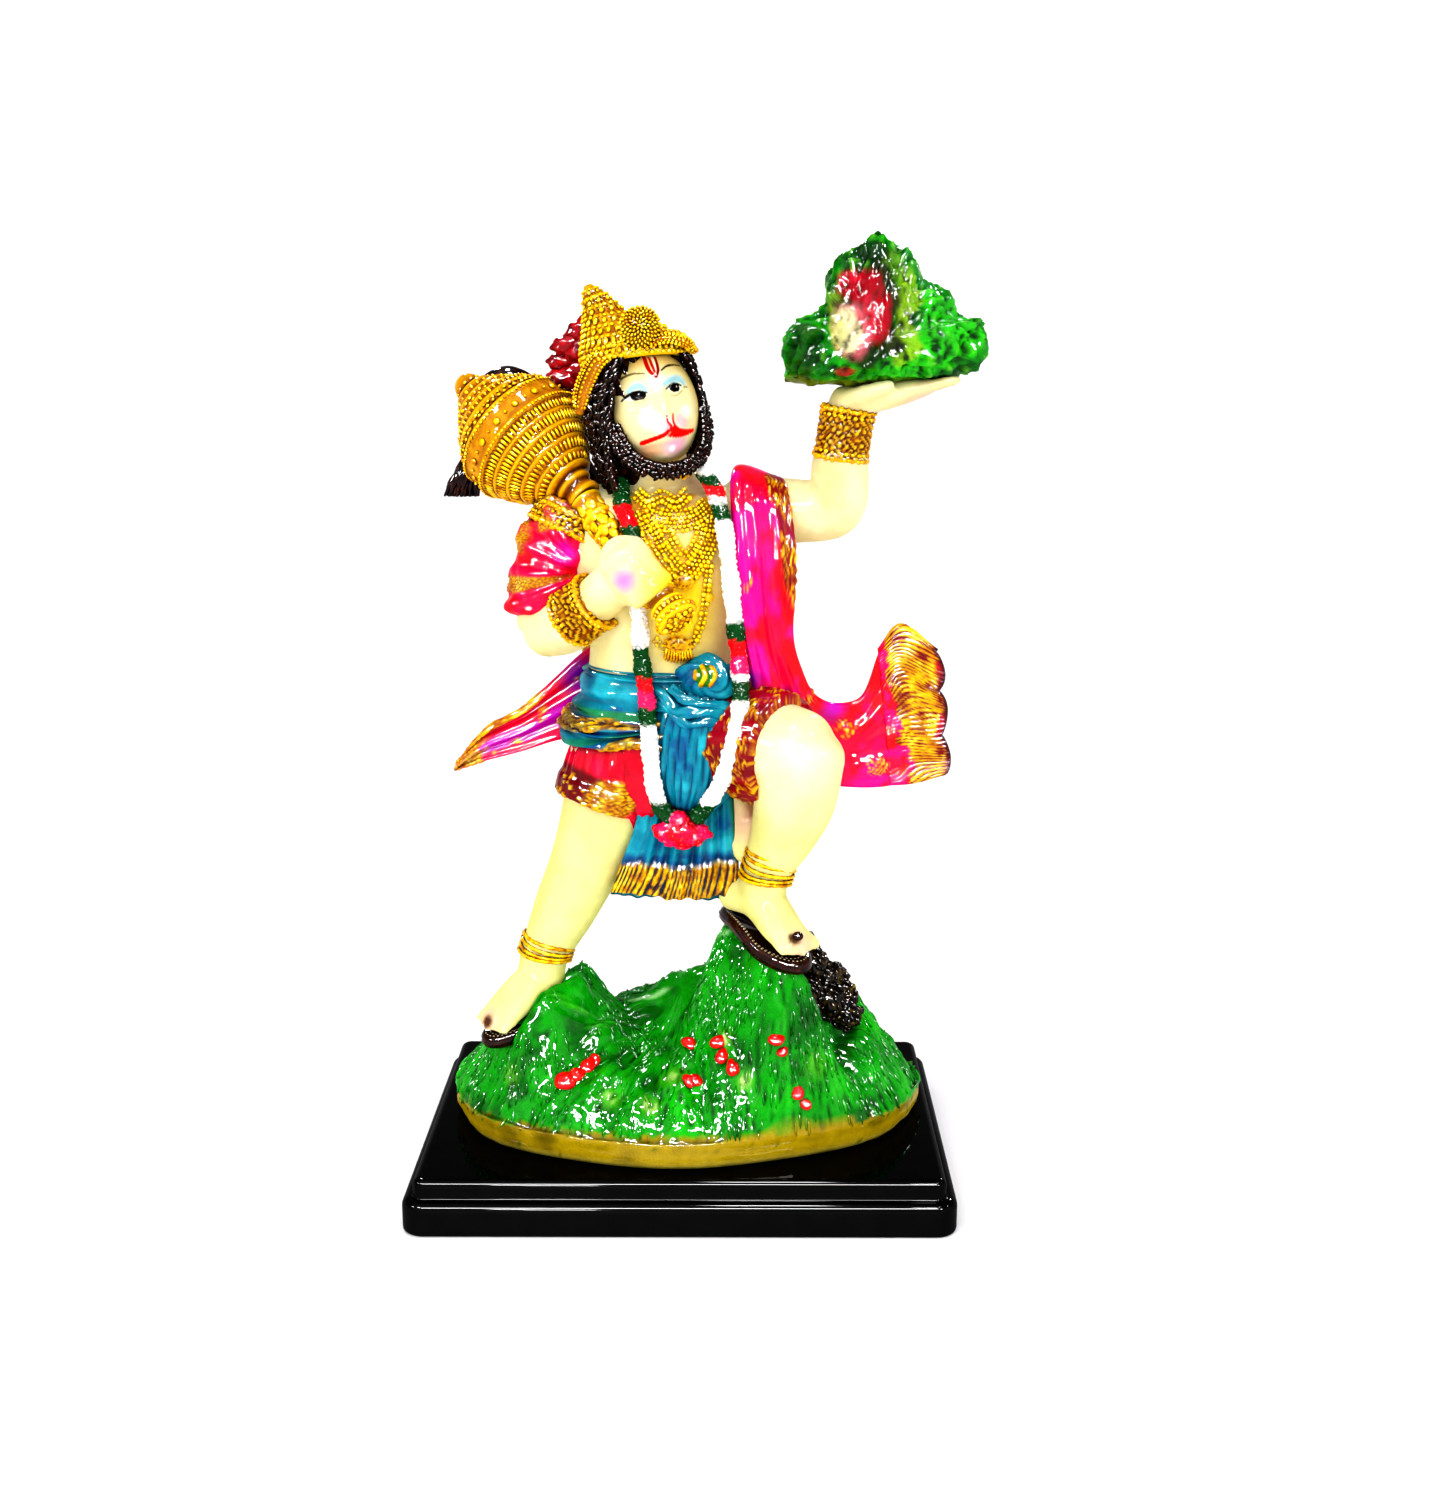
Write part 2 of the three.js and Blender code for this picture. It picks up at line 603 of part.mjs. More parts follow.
// Wavy red plume behind the crown.
function plume() {
  const rows = [
    [[-14, 6, 148.6], [-17.5, 6, 150.2]], [[-15, 6.5, 145.5], [-21.6, 6.5, 147.4]],
    [[-15, 7, 141.5], [-22.2, 7, 142]], [[-14.5, 7, 137.5], [-22.6, 7, 137]],
    [[-13, 7, 133], [-20, 7, 132]],
  ];
  return drape(rows, { folds: 2.5, depth: 0.7, points: 8, steps: 8, thick: 3 });
}

// Mace laid back over the shoulder: shaft, banded head, small cone at the tip.
const pommel = [-0.6, -17.6, 99.6];
const maceNeck = [-19.6, -0.6, 120.8];
const maceTip = [-40.6, 12, 138.6];

function mace() {
  const r = maceRadius;
  const profile = [
    [0, -4], [3.4, -4], [3.6, 0], [5.2, 0.8], [5, 2.2], [7.4, 3], [7.2, 4.6],
    [9.6, 5.6], [9.5, 7.4], [r - 0.6, 8.8], [r - 0.5, 11], [r, 11.6], [r, 13.6],
    [r - 0.9, 14.4], [r - 0.9, 16.6], [r - 1.6, 17.4], [8.9, 19.8], [8.4, 20.4],
    [6.4, 23], [5.4, 23.4], [4.2, 25.8], [2.4, 26.4], [2.5, 27.8], [0, 31],
  ];
  const studs = (turn, height) => {
    const banded = (height > 5 && height < 11.2) || (height > 14 && height < 23.2);
    return 1 + (banded ? 0.03 : 0) * Math.cos(12 * turn);
  };
  const headPiece = turned(profile, { sides: 24, from: maceNeck, towards: maceTip, swell: studs });
  const s = shaftRadius;
  const gripLength = 29;
  const grip = [[0, -1.5], [s + 1.2, -1.2], [s + 1.6, 0.6], [s, 1.8], [s, 4], [s + 0.9, 4.6],
    [s + 0.9, 5.6], [s, 6.2], [s, gripLength - 5], [s + 0.8, gripLength - 4],
    [s, gripLength - 3], [s + 1, gripLength], [0, gripLength]];
  const shaft = turned(grip, { sides: 10, from: pommel, towards: maceNeck });
  return [headPiece, shaft];
}

// The tail comes up behind the back, over the mace and down to its tuft.
function tail() {
  const r = tailRadius;
  const route = [
    [-3, 10, 71, r, r], [-3.4, 14.6, 82, r, r], [-7, 15, 100, r, r], [-14, 14.6, 114, r, r],
    [-22.6, 16.2, 128, r, r], [-27.4, 16.6, 136, r, r], [-32, 15.6, 139.4, r, r],
    [-37, 14.6, 138.6, r, r], [-40.4, 12.6, 131, r, r], [-41, 10.6, 124.4, 3, 2.6],
    [-44, 10, 118.6, 0.7, 0.7],
  ];
  return limb(route, { sides: 8, steps: 26 });
}

// Cloth.
function sash() {
  const wraps = [
    [-3, 0.4, 67, 18.2, 13.2], [-3, 0.4, 73, 18.4, 13.4], [-3.2, 0.2, 80, 16.8, 12.8],
    [-3.3, 0, 86.5, 14.9, 11.8], [-3.3, 0, 88, 14, 11],
  ];
  const rolls = (turn, along) => 1 + 0.03 * Math.cos(34 * along + 1.6 * Math.cos(turn));
  const belt = limb(wraps, { sides: 24, steps: 15, relief: rolls, blunt: 0 });
  const pleats = (turn) => 1 + 0.045 * Math.cos(11 * turn);
  const pouch = [
    [4.4, -9.5, 86, 4.4, 3.2], [3.8, -11, 82, 6.4, 4], [2.8, -11.4, 76, 7, 4.2],
    [2.4, -10.8, 69, 6.8, 4], [2.2, -9.6, 63.5, 4.6, 3],
  ];
  const knot = turned([[0, -2], [2.6, -2], [2.4, 1], [1.2, 1.6], [0, 1.2]], {
    sides: 10, from: [4.2, -12, 88.2], towards: [4.4, -16, 89.4],
  });
  const panel = [
    [[-7.4, -8.5, 66], [9.6, -8.5, 67]], [[-8.6, -9.5, 59], [10, -9.5, 60.5]],
    [[-11, -9.4, 52.5], [10.6, -9.4, 53]], [[-13.2, -8.6, 46.6], [10.6, -8.6, 45.6]],
  ];
  return [
    belt,
    limb(pouch, { sides: 22, steps: 9, relief: pleats }),
    knot,
    drape(panel, { folds: 5, depth: 0.75, points: 16, steps: 6, thick: 3.4 }),
  ];
}

function shorts() {
  const gathers = (count) => (turn, along) =>
    1 + 0.03 * Math.cos(count * turn) * (1 - along) + (along > 0.8 ? 0.05 : 0);
  const left = [[-10.4, 0, 72, 11.6, 12], [-12.6, -0.8, 66, 11, 11.4], [-14.6, -1.6, 59.4, 9.6, 9.8]];
  const right = [[4, -1, 73, 12, 12], [9, -5.6, 75.4, 11.6, 11.6], [13.4, -9.4, 76.4, 10.6, 10.6]];
  return [
    limb(left, { sides: 16, steps: 6, relief: gathers(8), blunt: 0 }),
    limb(right, { sides: 16, steps: 6, across: Z, relief: gathers(8), blunt: 0 }),
  ];
}

function scarf() {
  const front = [
    [[10.6, 6, 117], [19.5, 5, 115]], [[9.6, 1.6, 123], [18.8, 1.4, 121]],
    [[9, -6.4, 121.5], [19.6, -5, 118]], [[9.4, -10, 113], [20.6, -7, 111]],
    [[10, -11.2, 103], [20.6, -8, 103]], [[11.4, -11.4, 94], [20.4, -8, 94]],
    [[13.4, -10, 84], [22, -5.6, 88]], [[16.6, -5, 73], [24.6, -1.4, 82.5]],
    [[22.6, 1, 65.6], [29, 3, 79.8]], [[31, 4.4, 63.2], [33.6, 5, 80.6]],
    [[38.4, 5.4, 63], [37, 6, 89.2]], [[42.4, 5.4, 64], [39.4, 6, 93]],
  ];
  const fringe = [
    [[40.6, 5.4, 63.4], [37.6, 6, 90.6]], [[44.6, 5.2, 64], [41, 6, 93.6]],
    [[50.4, 5, 66.6], [46.6, 5.6, 90.6]],
  ];
  const leftEnd = [
    [[-10, 9, 92], [-10, 10, 74]], [[-17.4, 7.6, 89.6], [-17.6, 7.6, 72]],
    [[-24, 6.4, 84], [-23, 6.4, 72]], [[-30, 5.4, 78.6], [-31, 5.4, 69.8]],
    [[-37, 5, 74.6], [-38, 5, 68]], [[-43, 5, 67.8], [-43.2, 5, 66.4]],
  ];
  const back = [
    [[18.5, 4, 120], [-22, 4, 118]], [[18.5, 10.4, 113], [-24, 9.4, 111]],
    [[17, 12, 102], [-21, 11, 101]], [[15, 12, 92], [-19, 11.6, 91]],
    [[16, 12.6, 82], [-20, 12.6, 82]], [[17, 12, 72], [-19, 12, 71]],
  ];
  const sleeve = [
    [-18.5, 1.6, 115.6, 6.4, 7], [-21.6, 1, 110.6, 7, 7.2], [-24.2, -0.2, 104, 6.6, 7],
    [-25.2, -1.4, 97.4, 6, 6.2],
  ];
  const creases = (turn, along) => 1 + 0.05 * Math.cos(4 * turn + 16 * along);
  return [
    drape(front, { folds: 3, depth: 0.9, points: 9, steps: 30 }),
    drape(fringe, { folds: 6, depth: 0.9, points: 19, steps: 3 }),
    drape(leftEnd, { folds: 2, depth: 0.7, points: 7, steps: 10 }),
    drape(back, { folds: 5, depth: 0.7, points: 16, steps: 9, thick: 3 }),
    limb(sleeve, { sides: 14, steps: 8, across: Y, relief: creases }),
  ];
}

// Flower garland, necklaces and bangles.
function strand(points, radius, { step = 2.4, sides = 6, bead = 0.16 } = {}) {
  const line = new THREE.CatmullRomCurve3(points.map((p) => spot(...p)));
  const steps = Math.round(line.getLength() / (step * grow));
  const beads = (turn, along) => 1 + bead * Math.cos(Math.PI * steps * along);
  return limb(points.map((p) => [...p, radius, radius]), { sides, steps, relief: beads });
}

function garland() {
  const left = [
    [-10.6, -4.5, 121.4], [-9.9, -8.6, 117.4], [-8.4, -11, 113.6], [-7.4, -12, 105.5],
    [-7.1, -12, 98.4], [-6.8, -12.2, 91.6], [-6, -13.6, 85], [-5.4, -14.4, 77],
    [-4.8, -14.4, 69], [-2.8, -13.4, 62], [0.6, -13, 58.8],
  ];
  const right = [
    [4.4, -5, 123.6], [6.4, -8.6, 120], [8, -11, 114], [9, -12, 106], [9.8, -12.4, 98],
    [10.6, -12.8, 91], [11, -13.8, 84.6], [10.4, -14.4, 76], [8.6, -14.4, 68],
    [5.6, -13.6, 62], [0.6, -13, 58.8],
  ];
  const pendant = lump([0.6, -13, 58.2], [5.8, 2.6, 2.9], {
    sides: 12, bulge: (x, y, z) => 1 + 0.12 * (1 - y * y) * Math.cos(7 * Math.atan2(z, x)),
  });
  return [strand(left, garlandRadius), strand(right, garlandRadius), pendant];
}

function jewellery() {
  const collar = [[-10.4, -5.6, 119], [-8.4, -8.6, 116.6], [-3.4, -10.4, 115.6],
    [1.6, -9, 117], [3.6, -6, 119.6]];
  const chain = [[-7.6, -9.4, 115], [-4.6, -11.4, 108], [-0.6, -11.8, 102.6],
    [4.4, -11.6, 108], [6.6, -9.6, 115]];
  const longChain = [[6.8, -9.6, 115], [7, -11, 105], [5.2, -11.4, 95], [0.8, -11.6, 88.6]];
  const bangle = (from, towards, r, wide) =>
    turned([[0, -wide / 2], [r, -wide / 2], [r + 1, -wide / 3], [r + 0.6, 0],
      [r + 1, wide / 3], [r, wide / 2], [0, wide / 2]], { sides: 12, from, towards });
  return [
    strand(collar, 1.5, { step: 2.6 }),
    strand(chain, 1.1, { step: 2.4 }),
    strand(longChain, 1.1, { step: 3 }),
    lump([-0.6, -11.6, 102], [2.6, 1.6, 2.4], { sides: 8 }),
    lump([0.8, -11.4, 88.6], [1.8, 1.6, 2.6], { sides: 8 }),
    bangle([29.5, -2.9, 129.2], [30, -3, 134], 4.7, 8),
    bangle([-17.2, -8.4, 99.2], [-12.6, -11.2, 102.8], 4.9, 7),
    bangle([-19.4, 1.6, 114.6], [-21.6, 0.8, 110], 7.4, 4),
    bangle([-25.6, -4.4, 34], [-24.6, -4.2, 37], 4.9, 4),
    bangle([16, -12.6, 52.4], [17, -12.8, 56], 4.8, 5),
  ];
}

// The hill on the palm: its outline seen from the front, puffed out before and behind.
const hillMiddle = [36, -2.4, 147];
const hillOutline = [
  [19.4, 139.6], [18.8, 146.3], [20.7, 149.4], [25.1, 151.4], [26.2, 157.2], [29.9, 160.9],
  [34.7, 163.9], [37.5, 162.3], [40.9, 160], [42.6, 156.5], [47, 154.1], [49, 150.4],
  [52.6, 149.5], [53, 143], [49.3, 140.4], [43.1, 139.2], [35, 138.4], [27.4, 138.6],
];

function hill() {
  const [cx, cy, cz] = hillMiddle;
  const outline = new THREE.CatmullRomCurve3(
    hillOutline.map(([x, z]) => new THREE.Vector3(x, cy, z)), true, "catmullrom", 0.3,
  );
  const around = 40;
  const rings = [];
  const slices = [
    [-10, 0.16], [-10, 0.4], [-9, 0.62], [-7, 0.8], [-4, 0.93], [0, 1],
    [3.4, 0.95], [6.4, 0.82], [8.6, 0.6], [9.4, 0.38], [9.6, 0.16],
  ];
  for (const [y, share] of slices) {
    const ring = [];
    for (let i = 0; i < around; i++) {
      const p = outline.getPoint(i / around);
      const crag = 1 + 0.1 * rough(1.7 * p.x, 3.1 * y, 1.9 * p.z) * (share < 1 ? 1 : 0.3);
      const [dx, dz] = [(p.x - cx) * share * crag, (p.z - cz) * share * crag];
      const low = Math.max(cz + dz, 138.4);
      ring.push(spot(cx + dx, cy + y + 1.3 * rough(dx, 4 * share, dz), low));
    }
    rings.push(ring);
  }
  return skinOver(rings);
}

// Plinth: one moulded piece, its rounded rectangle growing and stepping in as it rises.
function plinthForm() {
  const perCorner = 5;
  const profile = [
    [footRound, 0], [0, footRound], [0, lowerTierHeight - edgeRound],
    [0.3 * edgeRound, lowerTierHeight - 0.3 * edgeRound], [edgeRound, lowerTierHeight],
    [tierStep, lowerTierHeight + 0.3], [tierStep, plinthHeight - edgeRound],
    [tierStep + 0.3 * edgeRound, plinthHeight - 0.3 * edgeRound],
    [tierStep + edgeRound, plinthHeight],
  ];
  const rings = profile.map(([inset, height]) => {
    const [w, d] = [plinthWidth / 2 - inset, plinthDepth / 2 - inset];
    const r = Math.max(cornerRadius - inset, 0.5);
    const ring = [];
    for (let corner = 0; corner < 4; corner++) {
      const [sx, sy] = [[1, 1], [-1, 1], [-1, -1], [1, -1]][corner];
      for (let i = 0; i < perCorner; i++) {
        const turn = (Math.PI / 2) * (corner + i / (perCorner - 1));
        ring.push(new THREE.Vector3(
          sx * (w - r) + r * Math.cos(turn), sy * (d - r) + r * Math.sin(turn), height,
        ));
      }
    }
    return ring;
  });
  return skinOver(rings);
}

const paintedResin = new THREE.MeshStandardMaterial({ color: 0xe9dfae, roughness: 0.3 });
const blackGloss = new THREE.MeshStandardMaterial({ color: 0x0c0c0e, roughness: 0.2 });

const casting = new THREE.Mesh(
  joined([
    mound(), ...flowers(), ...scrub(),
    torso(), standingLeg(), ...raisedLeg(), ...footOn(leftFoot, 1.7), ...footOn(rightFoot, 1.7),
    ...raisedArm(), ...bentArm(), ...head(), ...hair(), ...crown(), plume(),
    ...mace(), tail(), ...sash(), ...shorts(), ...scarf(), ...garland(), ...jewellery(), hill(),
  ]),
  paintedResin,
);
casting.name = "figure_casting";
casting.position.z = plinthHeight;

const plinth = new THREE.Mesh(plinthForm(), blackGloss);
plinth.name = "plinth";

const statue = new THREE.Group();
statue.add(casting, plinth);

export default statue;
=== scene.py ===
# %% [markdown]
# # Hanuman carrying the hill, on a black plinth
# The real object is one casting in resin, a little over 17 cm tall with its plinth. It was
# painted by hand, with an airbrush for the soft changes of colour and a fine brush for the
# face. The gold was washed with brown, so that its hollows are dark, and the whole figure
# was dipped in clear varnish. The measured solids load first and stay where they are. Every
# dressed piece is then made in the same place, with the fine relief that the solids leave
# out. Plain mesh code makes the forms that flow, and Geometry Nodes make what repeats.

# %% Load the measured solids
import math

import bpy
import numpy as np
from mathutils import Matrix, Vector


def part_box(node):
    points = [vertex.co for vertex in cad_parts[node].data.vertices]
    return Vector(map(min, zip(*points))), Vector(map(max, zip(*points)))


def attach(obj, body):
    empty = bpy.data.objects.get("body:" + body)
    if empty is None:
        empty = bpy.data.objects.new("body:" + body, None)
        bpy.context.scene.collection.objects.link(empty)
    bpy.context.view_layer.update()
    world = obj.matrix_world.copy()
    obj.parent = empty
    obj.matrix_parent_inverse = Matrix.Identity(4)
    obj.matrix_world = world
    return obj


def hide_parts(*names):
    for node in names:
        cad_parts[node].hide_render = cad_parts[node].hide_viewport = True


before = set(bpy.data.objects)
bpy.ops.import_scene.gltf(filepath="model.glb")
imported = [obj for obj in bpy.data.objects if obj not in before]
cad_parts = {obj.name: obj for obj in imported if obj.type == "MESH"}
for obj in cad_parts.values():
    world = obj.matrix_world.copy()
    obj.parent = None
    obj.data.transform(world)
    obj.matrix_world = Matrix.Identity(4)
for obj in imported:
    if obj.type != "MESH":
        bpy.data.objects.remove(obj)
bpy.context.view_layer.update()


print("solids:", sorted(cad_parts))

# %% [markdown]
# ## Millimetres on the figure
# A sculptor would measure this figure upwards from the plinth's top, so every place below is
# in millimetres from there, with X to the viewer's right and Y away from the viewer. One
# function turns such places into metres in the frame. It takes its scale from the height of
# the measured casting, so the dressed figure grows and shrinks with the solid.

# %% One scale for the whole figure
DRAWN_HEIGHT = 164.1
casting_low, casting_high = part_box("figure_casting")
MM = (casting_high.z - casting_low.z) / DRAWN_HEIGHT


def metres(points):
    """Places in figure millimetres as metres in the frame."""
    return np.asarray(points, float) * MM + (0, 0, casting_low.z)


print(f"one figure millimetre is {MM:.6f} m")

# %% [markdown]
# ## Camera, light and floor
# The photograph looks slightly down on the figure from straight in front, with an ordinary
# lens. The camera stands where the lines of the plinth say it stood. White paper surrounds
# the figure. One broad soft lamp gives the light, and a weaker one fills the shadows on the
# right. Small lamps all round, and one long strip in front, give nothing but the white
# glints in the varnish. A pale floor and a white surround do the rest.

# %% The camera
PHOTO_SIZE = (1453, 1500)
CAMERA_PLACE = (0.00978, -0.33634, 0.16237)
CAMERA_DOWN = math.radians(13.53)
CAMERA_LEFT = math.radians(0.25)
camera_data = bpy.data.cameras.new("camera")
camera_data.sensor_width = 36.0
camera_data.lens = 44.44
camera_data.clip_start = 0.01
camera = bpy.data.objects.new("camera", camera_data)
camera.location = CAMERA_PLACE
camera.rotation_euler = (math.pi / 2 - CAMERA_DOWN, 0, CAMERA_LEFT)
bpy.context.collection.objects.link(camera)
bpy.context.scene.camera = camera
bpy.context.scene.view_settings.view_transform = "Standard"
bpy.context.scene.view_settings.look = "High Contrast"
print("frame shape:", round(PHOTO_SIZE[0] / PHOTO_SIZE[1], 3))


# %% [markdown]
# ## Colour and shader helpers
# A shader wants linear light, and a paint is easiest to name by its screen colour. One
# function turns hex values into linear ones. A second adds a node with its settings and its
# links, so that a material reads as a list of what it is made of.

# %% Helpers for shaders
def linear(code):
    """A colour written as sRGB hex, as linear red, green and blue."""
    parts = np.array([int(code[start:start + 2], 16) for start in (1, 3, 5)]) / 255
    return np.where(parts <= 0.04045, parts / 12.92, ((parts + 0.055) / 1.055) ** 2.4)


def fill(tree, made, inputs):
    """Gives a node's sockets a value or a link each."""
    for key, value in inputs.items():
        if isinstance(value, bpy.types.NodeSocket):
            tree.links.new(value, made.inputs[key])
        else:
            made.inputs[key].default_value = value


def node(tree, kind, inputs=None, stops=None, **settings):
    """Adds a node. inputs gives sockets a value or a link, and stops fills a colour ramp."""
    made = tree.nodes.new(kind)
    for key, value in settings.items():
        setattr(made, key, value)
    fill(tree, made, inputs or {})
    if stops:
        elements = made.color_ramp.elements
        elements.remove(elements[-1])
        elements[0].position = stops[0][0]
        elements[0].color = (*linear(stops[0][1]), 1)
        for place, code in stops[1:]:
            elements.new(place).color = (*linear(code), 1)
    return made


# %% The lamps
AIM = Vector((0.0, 0.0, 0.10))


def lamp(name, kind, place, power, **settings):
    """A lamp at a place in metres that faces the figure's chest."""
    data = bpy.data.lights.new(name, kind)
    data.energy = power
    for key, value in settings.items():
        setattr(data, key, value)
    made = bpy.data.objects.new(name, data)
    made.location = place
    made.rotation_euler = (AIM - Vector(place)).to_track_quat("-Z", "Y").to_euler()
    bpy.context.collection.objects.link(made)
    return made


lamp("broad_front", "SUN", (-0.20, -0.66, 0.90), 1.85, angle=math.radians(85))
lamp("side_fill", "SUN", (0.70, -0.50, 0.22), 0.5, angle=math.radians(60))
# Each small lamp: its place and its power, and its width in metres.
GLINTS = [
    ((-0.30, -0.48, 0.52), 7.5, 0.10), ((0.34, -0.52, 0.36), 5.0, 0.08), ((0.04, -0.14, 0.75), 6.0, 0.085),
    ((-0.10, -0.62, 0.22), 2.2, 0.05), ((0.26, -0.34, 0.66), 2.4, 0.05), ((-0.46, -0.26, 0.36), 2.4, 0.05),
    ((-0.14, -0.62, 0.28), 1.0, 0.025), ((0.16, -0.44, 0.56), 1.2, 0.025), ((-0.48, -0.20, 0.34), 1.2, 0.025),
    ((0.50, -0.10, 0.42), 1.2, 0.025), ((-0.20, 0.52, 0.46), 2.4, 0.05), ((0.28, 0.46, 0.34), 1.8, 0.04),
]
for number, (place, power, size) in enumerate(GLINTS):
    lamp(f"glint_{number}", "AREA", place, power, size=size).visible_diffuse = False
strip = lamp("long_strip", "AREA", (0.0, -0.52, 0.44), 22.0, shape="RECTANGLE", size=0.42, size_y=0.07)
strip.visible_diffuse = False

# %% The white surround
# It is white paper up to the height that the camera sees and grey above it, so that dark
# varnish doesn't turn milky with reflections.
surround = bpy.data.worlds.new("white_surround")
bpy.context.scene.world = surround
surround.use_nodes = True
sky = surround.node_tree
sky_height = node(sky, "ShaderNodeSeparateXYZ", {
    "Vector": node(sky, "ShaderNodeTexCoord").outputs["Generated"]}).outputs["Z"]
sky_tone = node(sky, "ShaderNodeValToRGB", {"Fac": sky_height}, stops=[(0.16, "#FDFCFD"), (0.45, "#909094")])
fill(sky, sky.nodes["Background"], {"Color": sky_tone.outputs["Color"], "Strength": 1.0})
print("world:", surround.name)

# %% The floor
FLOOR_REACH = 12.0
floor_mesh = bpy.data.meshes.new("floor")
floor_corners = [(-1, -1), (1, -1), (1, 1), (-1, 1)]
floor_places = [(FLOOR_REACH * x, FLOOR_REACH * y, 0) for x, y in floor_corners]
floor_mesh.from_pydata(floor_places, [], [(0, 1, 2, 3)])
floor = bpy.data.objects.new("floor", floor_mesh)
bpy.context.collection.objects.link(floor)
# Matt white paper, faintly mottled, so that the floor doesn't look like a blank.
paper = bpy.data.materials.new("matt_white_paper")
paper.use_nodes = True
paper_tree = paper.node_tree
paper_mottle = node(paper_tree, "ShaderNodeTexNoise", {"Scale": 18.0, "Detail": 3.0}).outputs["Fac"]
paper_tone = node(paper_tree, "ShaderNodeValToRGB", {"Fac": paper_mottle},
                  stops=[(0.3, "#F8F6F8"), (0.7, "#FDFCFC")]).outputs["Color"]
fill(paper_tree, paper_tree.nodes["Principled BSDF"], {"Base Color": paper_tone, "Roughness": 0.75})
floor_mesh.materials.append(paper)
print("floor reaches", FLOOR_REACH, "m each way")

# %% [markdown]
# ## Paint under clear varnish
# All the paints here are one family: an opaque colour, a darker tone in the
# hollows, and a hard clear coat over it. One function builds that family, and each paint
# below gives it its own colours. The darker tone follows two things: how deep a place lies in
# its relief, which the mesh stores as the attribute hollow, and how much its neighbours shade
# it. On the gold it is partly the real brown wash; on every paint it is also painted shade.
# Pieces whose colours change from place to place store them as the attribute paint, and
# gold painted over cloth is stored as gilt.

# %% The paint family
GOLD_TONES = [(0.30, "#A86000"), (0.43, "#DC9C00"), (0.55, "#FFCC08"), (0.70, "#FFEE5C")]
GOLD_WASH_AND_SHADE = "#3C1200"
SHADE_REACH_MM = 1.3
VARNISH_IOR = 1.5
SKIN_DEPTH_MM = 2.5


def painted(name, tones, wash_and_shade, mottle_mm=2.0, depth=0.8, shade=0.8, metal=0.0, roughness=0.34,
            varnish=0.55, grain_mm=0.45, grain_height_mm=0.05, glow=0.0, gloss=0.05):
    """Varnished paint. tones are the stops of its mottling, or None for the attribute paint.
    depth and shade say how strongly wash_and_shade darkens the hollows of the relief and the
    places that neighbours hide: on gold partly a real wash, and everywhere painted shade."""
    made = bpy.data.materials.new(name)
    made.use_nodes = True
    tree = made.node_tree
    shader = tree.nodes["Principled BSDF"]
    place = node(tree, "ShaderNodeTexCoord").outputs["Object"]
    mottle = node(tree, "ShaderNodeTexNoise", {
        "Vector": place, "Scale": 1 / (mottle_mm * MM), "Detail": 4.0, "Roughness": 0.6,
    }).outputs["Fac"]
    if tones:
        colour = node(tree, "ShaderNodeValToRGB", {"Fac": mottle}, stops=tones).outputs["Color"]
    else:
        stored = node(tree, "ShaderNodeAttribute", attribute_name="paint").outputs["Color"]
        lift = node(tree, "ShaderNodeMapRange", {
            "Value": mottle, "From Min": 0.3, "From Max": 0.7, "To Min": 0.86, "To Max": 1.1,
        }).outputs["Result"]
        colour = node(tree, "ShaderNodeMix", {
            "Factor": 1.0, 6: stored, 7: lift,
        }, data_type="RGBA", blend_type="MULTIPLY").outputs[2]
    hollow = node(tree, "ShaderNodeAttribute", attribute_name="hollow").outputs["Fac"]
    # Ambient occlusion darkens the colour where neighbours hide the light: painted shade.
    open_air = node(tree, "ShaderNodeAmbientOcclusion", {
        "Distance": SHADE_REACH_MM * MM,
    }, samples=6).outputs["AO"]
    shaded = node(tree, "ShaderNodeMapRange", {
        "Value": open_air, "From Min": 0.9, "From Max": 0.35, "To Min": 0.0, "To Max": shade,
    }).outputs["Result"]
    # Deep places in the relief darken too: a real wash on the gold, and painted shade.
    sunk = node(tree, "ShaderNodeMath", {0: hollow, 1: depth}, operation="MULTIPLY").outputs[0]
    dark = node(tree, "ShaderNodeMath", {0: sunk, 1: shaded}, operation="MAXIMUM").outputs[0]
    washed_and_shaded = node(tree, "ShaderNodeMix", {
        "Factor": dark, 6: colour, 7: (*linear(wash_and_shade), 1),
    }, data_type="RGBA").outputs[2]
    gilt = node(tree, "ShaderNodeAttribute", attribute_name="gilt").outputs["Fac"]
    gold = node(tree, "ShaderNodeValToRGB", {"Fac": mottle}, stops=GOLD_TONES).outputs["Color"]
    gold_washed_and_shaded = node(tree, "ShaderNodeMix", {
        "Factor": dark, 6: gold, 7: (*linear(GOLD_WASH_AND_SHADE), 1),
    }, data_type="RGBA").outputs[2]
    final = node(tree, "ShaderNodeMix", {
        "Factor": gilt, 6: washed_and_shaded, 7: gold_washed_and_shaded,
    }, data_type="RGBA").outputs[2]
    grain = node(tree, "ShaderNodeTexNoise", {
        "Vector": place, "Scale": 1 / (grain_mm * MM), "Detail": 2.0,
    }).outputs["Fac"]
    bump = node(tree, "ShaderNodeBump", {
        "Strength": 1.0, "Distance": grain_height_mm * MM, "Height": grain,
    }).outputs["Normal"]
    fill(tree, shader, {
        "Base Color": final, "Normal": bump, "Metallic": metal, "Roughness": roughness,
        "Specular IOR Level": 0.0, "Coat Weight": varnish * 0.5, "Coat Roughness": gloss,
        "Coat IOR": VARNISH_IOR,
    })
    if glow:
        fill(tree, shader, {"Subsurface Weight": glow, "Subsurface Scale": SKIN_DEPTH_MM * MM,
                            "Subsurface Radius": (1.0, 0.85, 0.4)})
    return made


# %% [markdown]
# Each paint has its own lines, with a note of what it gives the eye. The grain of each is
# drawn a little coarser than the real one, because the real one would be too fine to show.

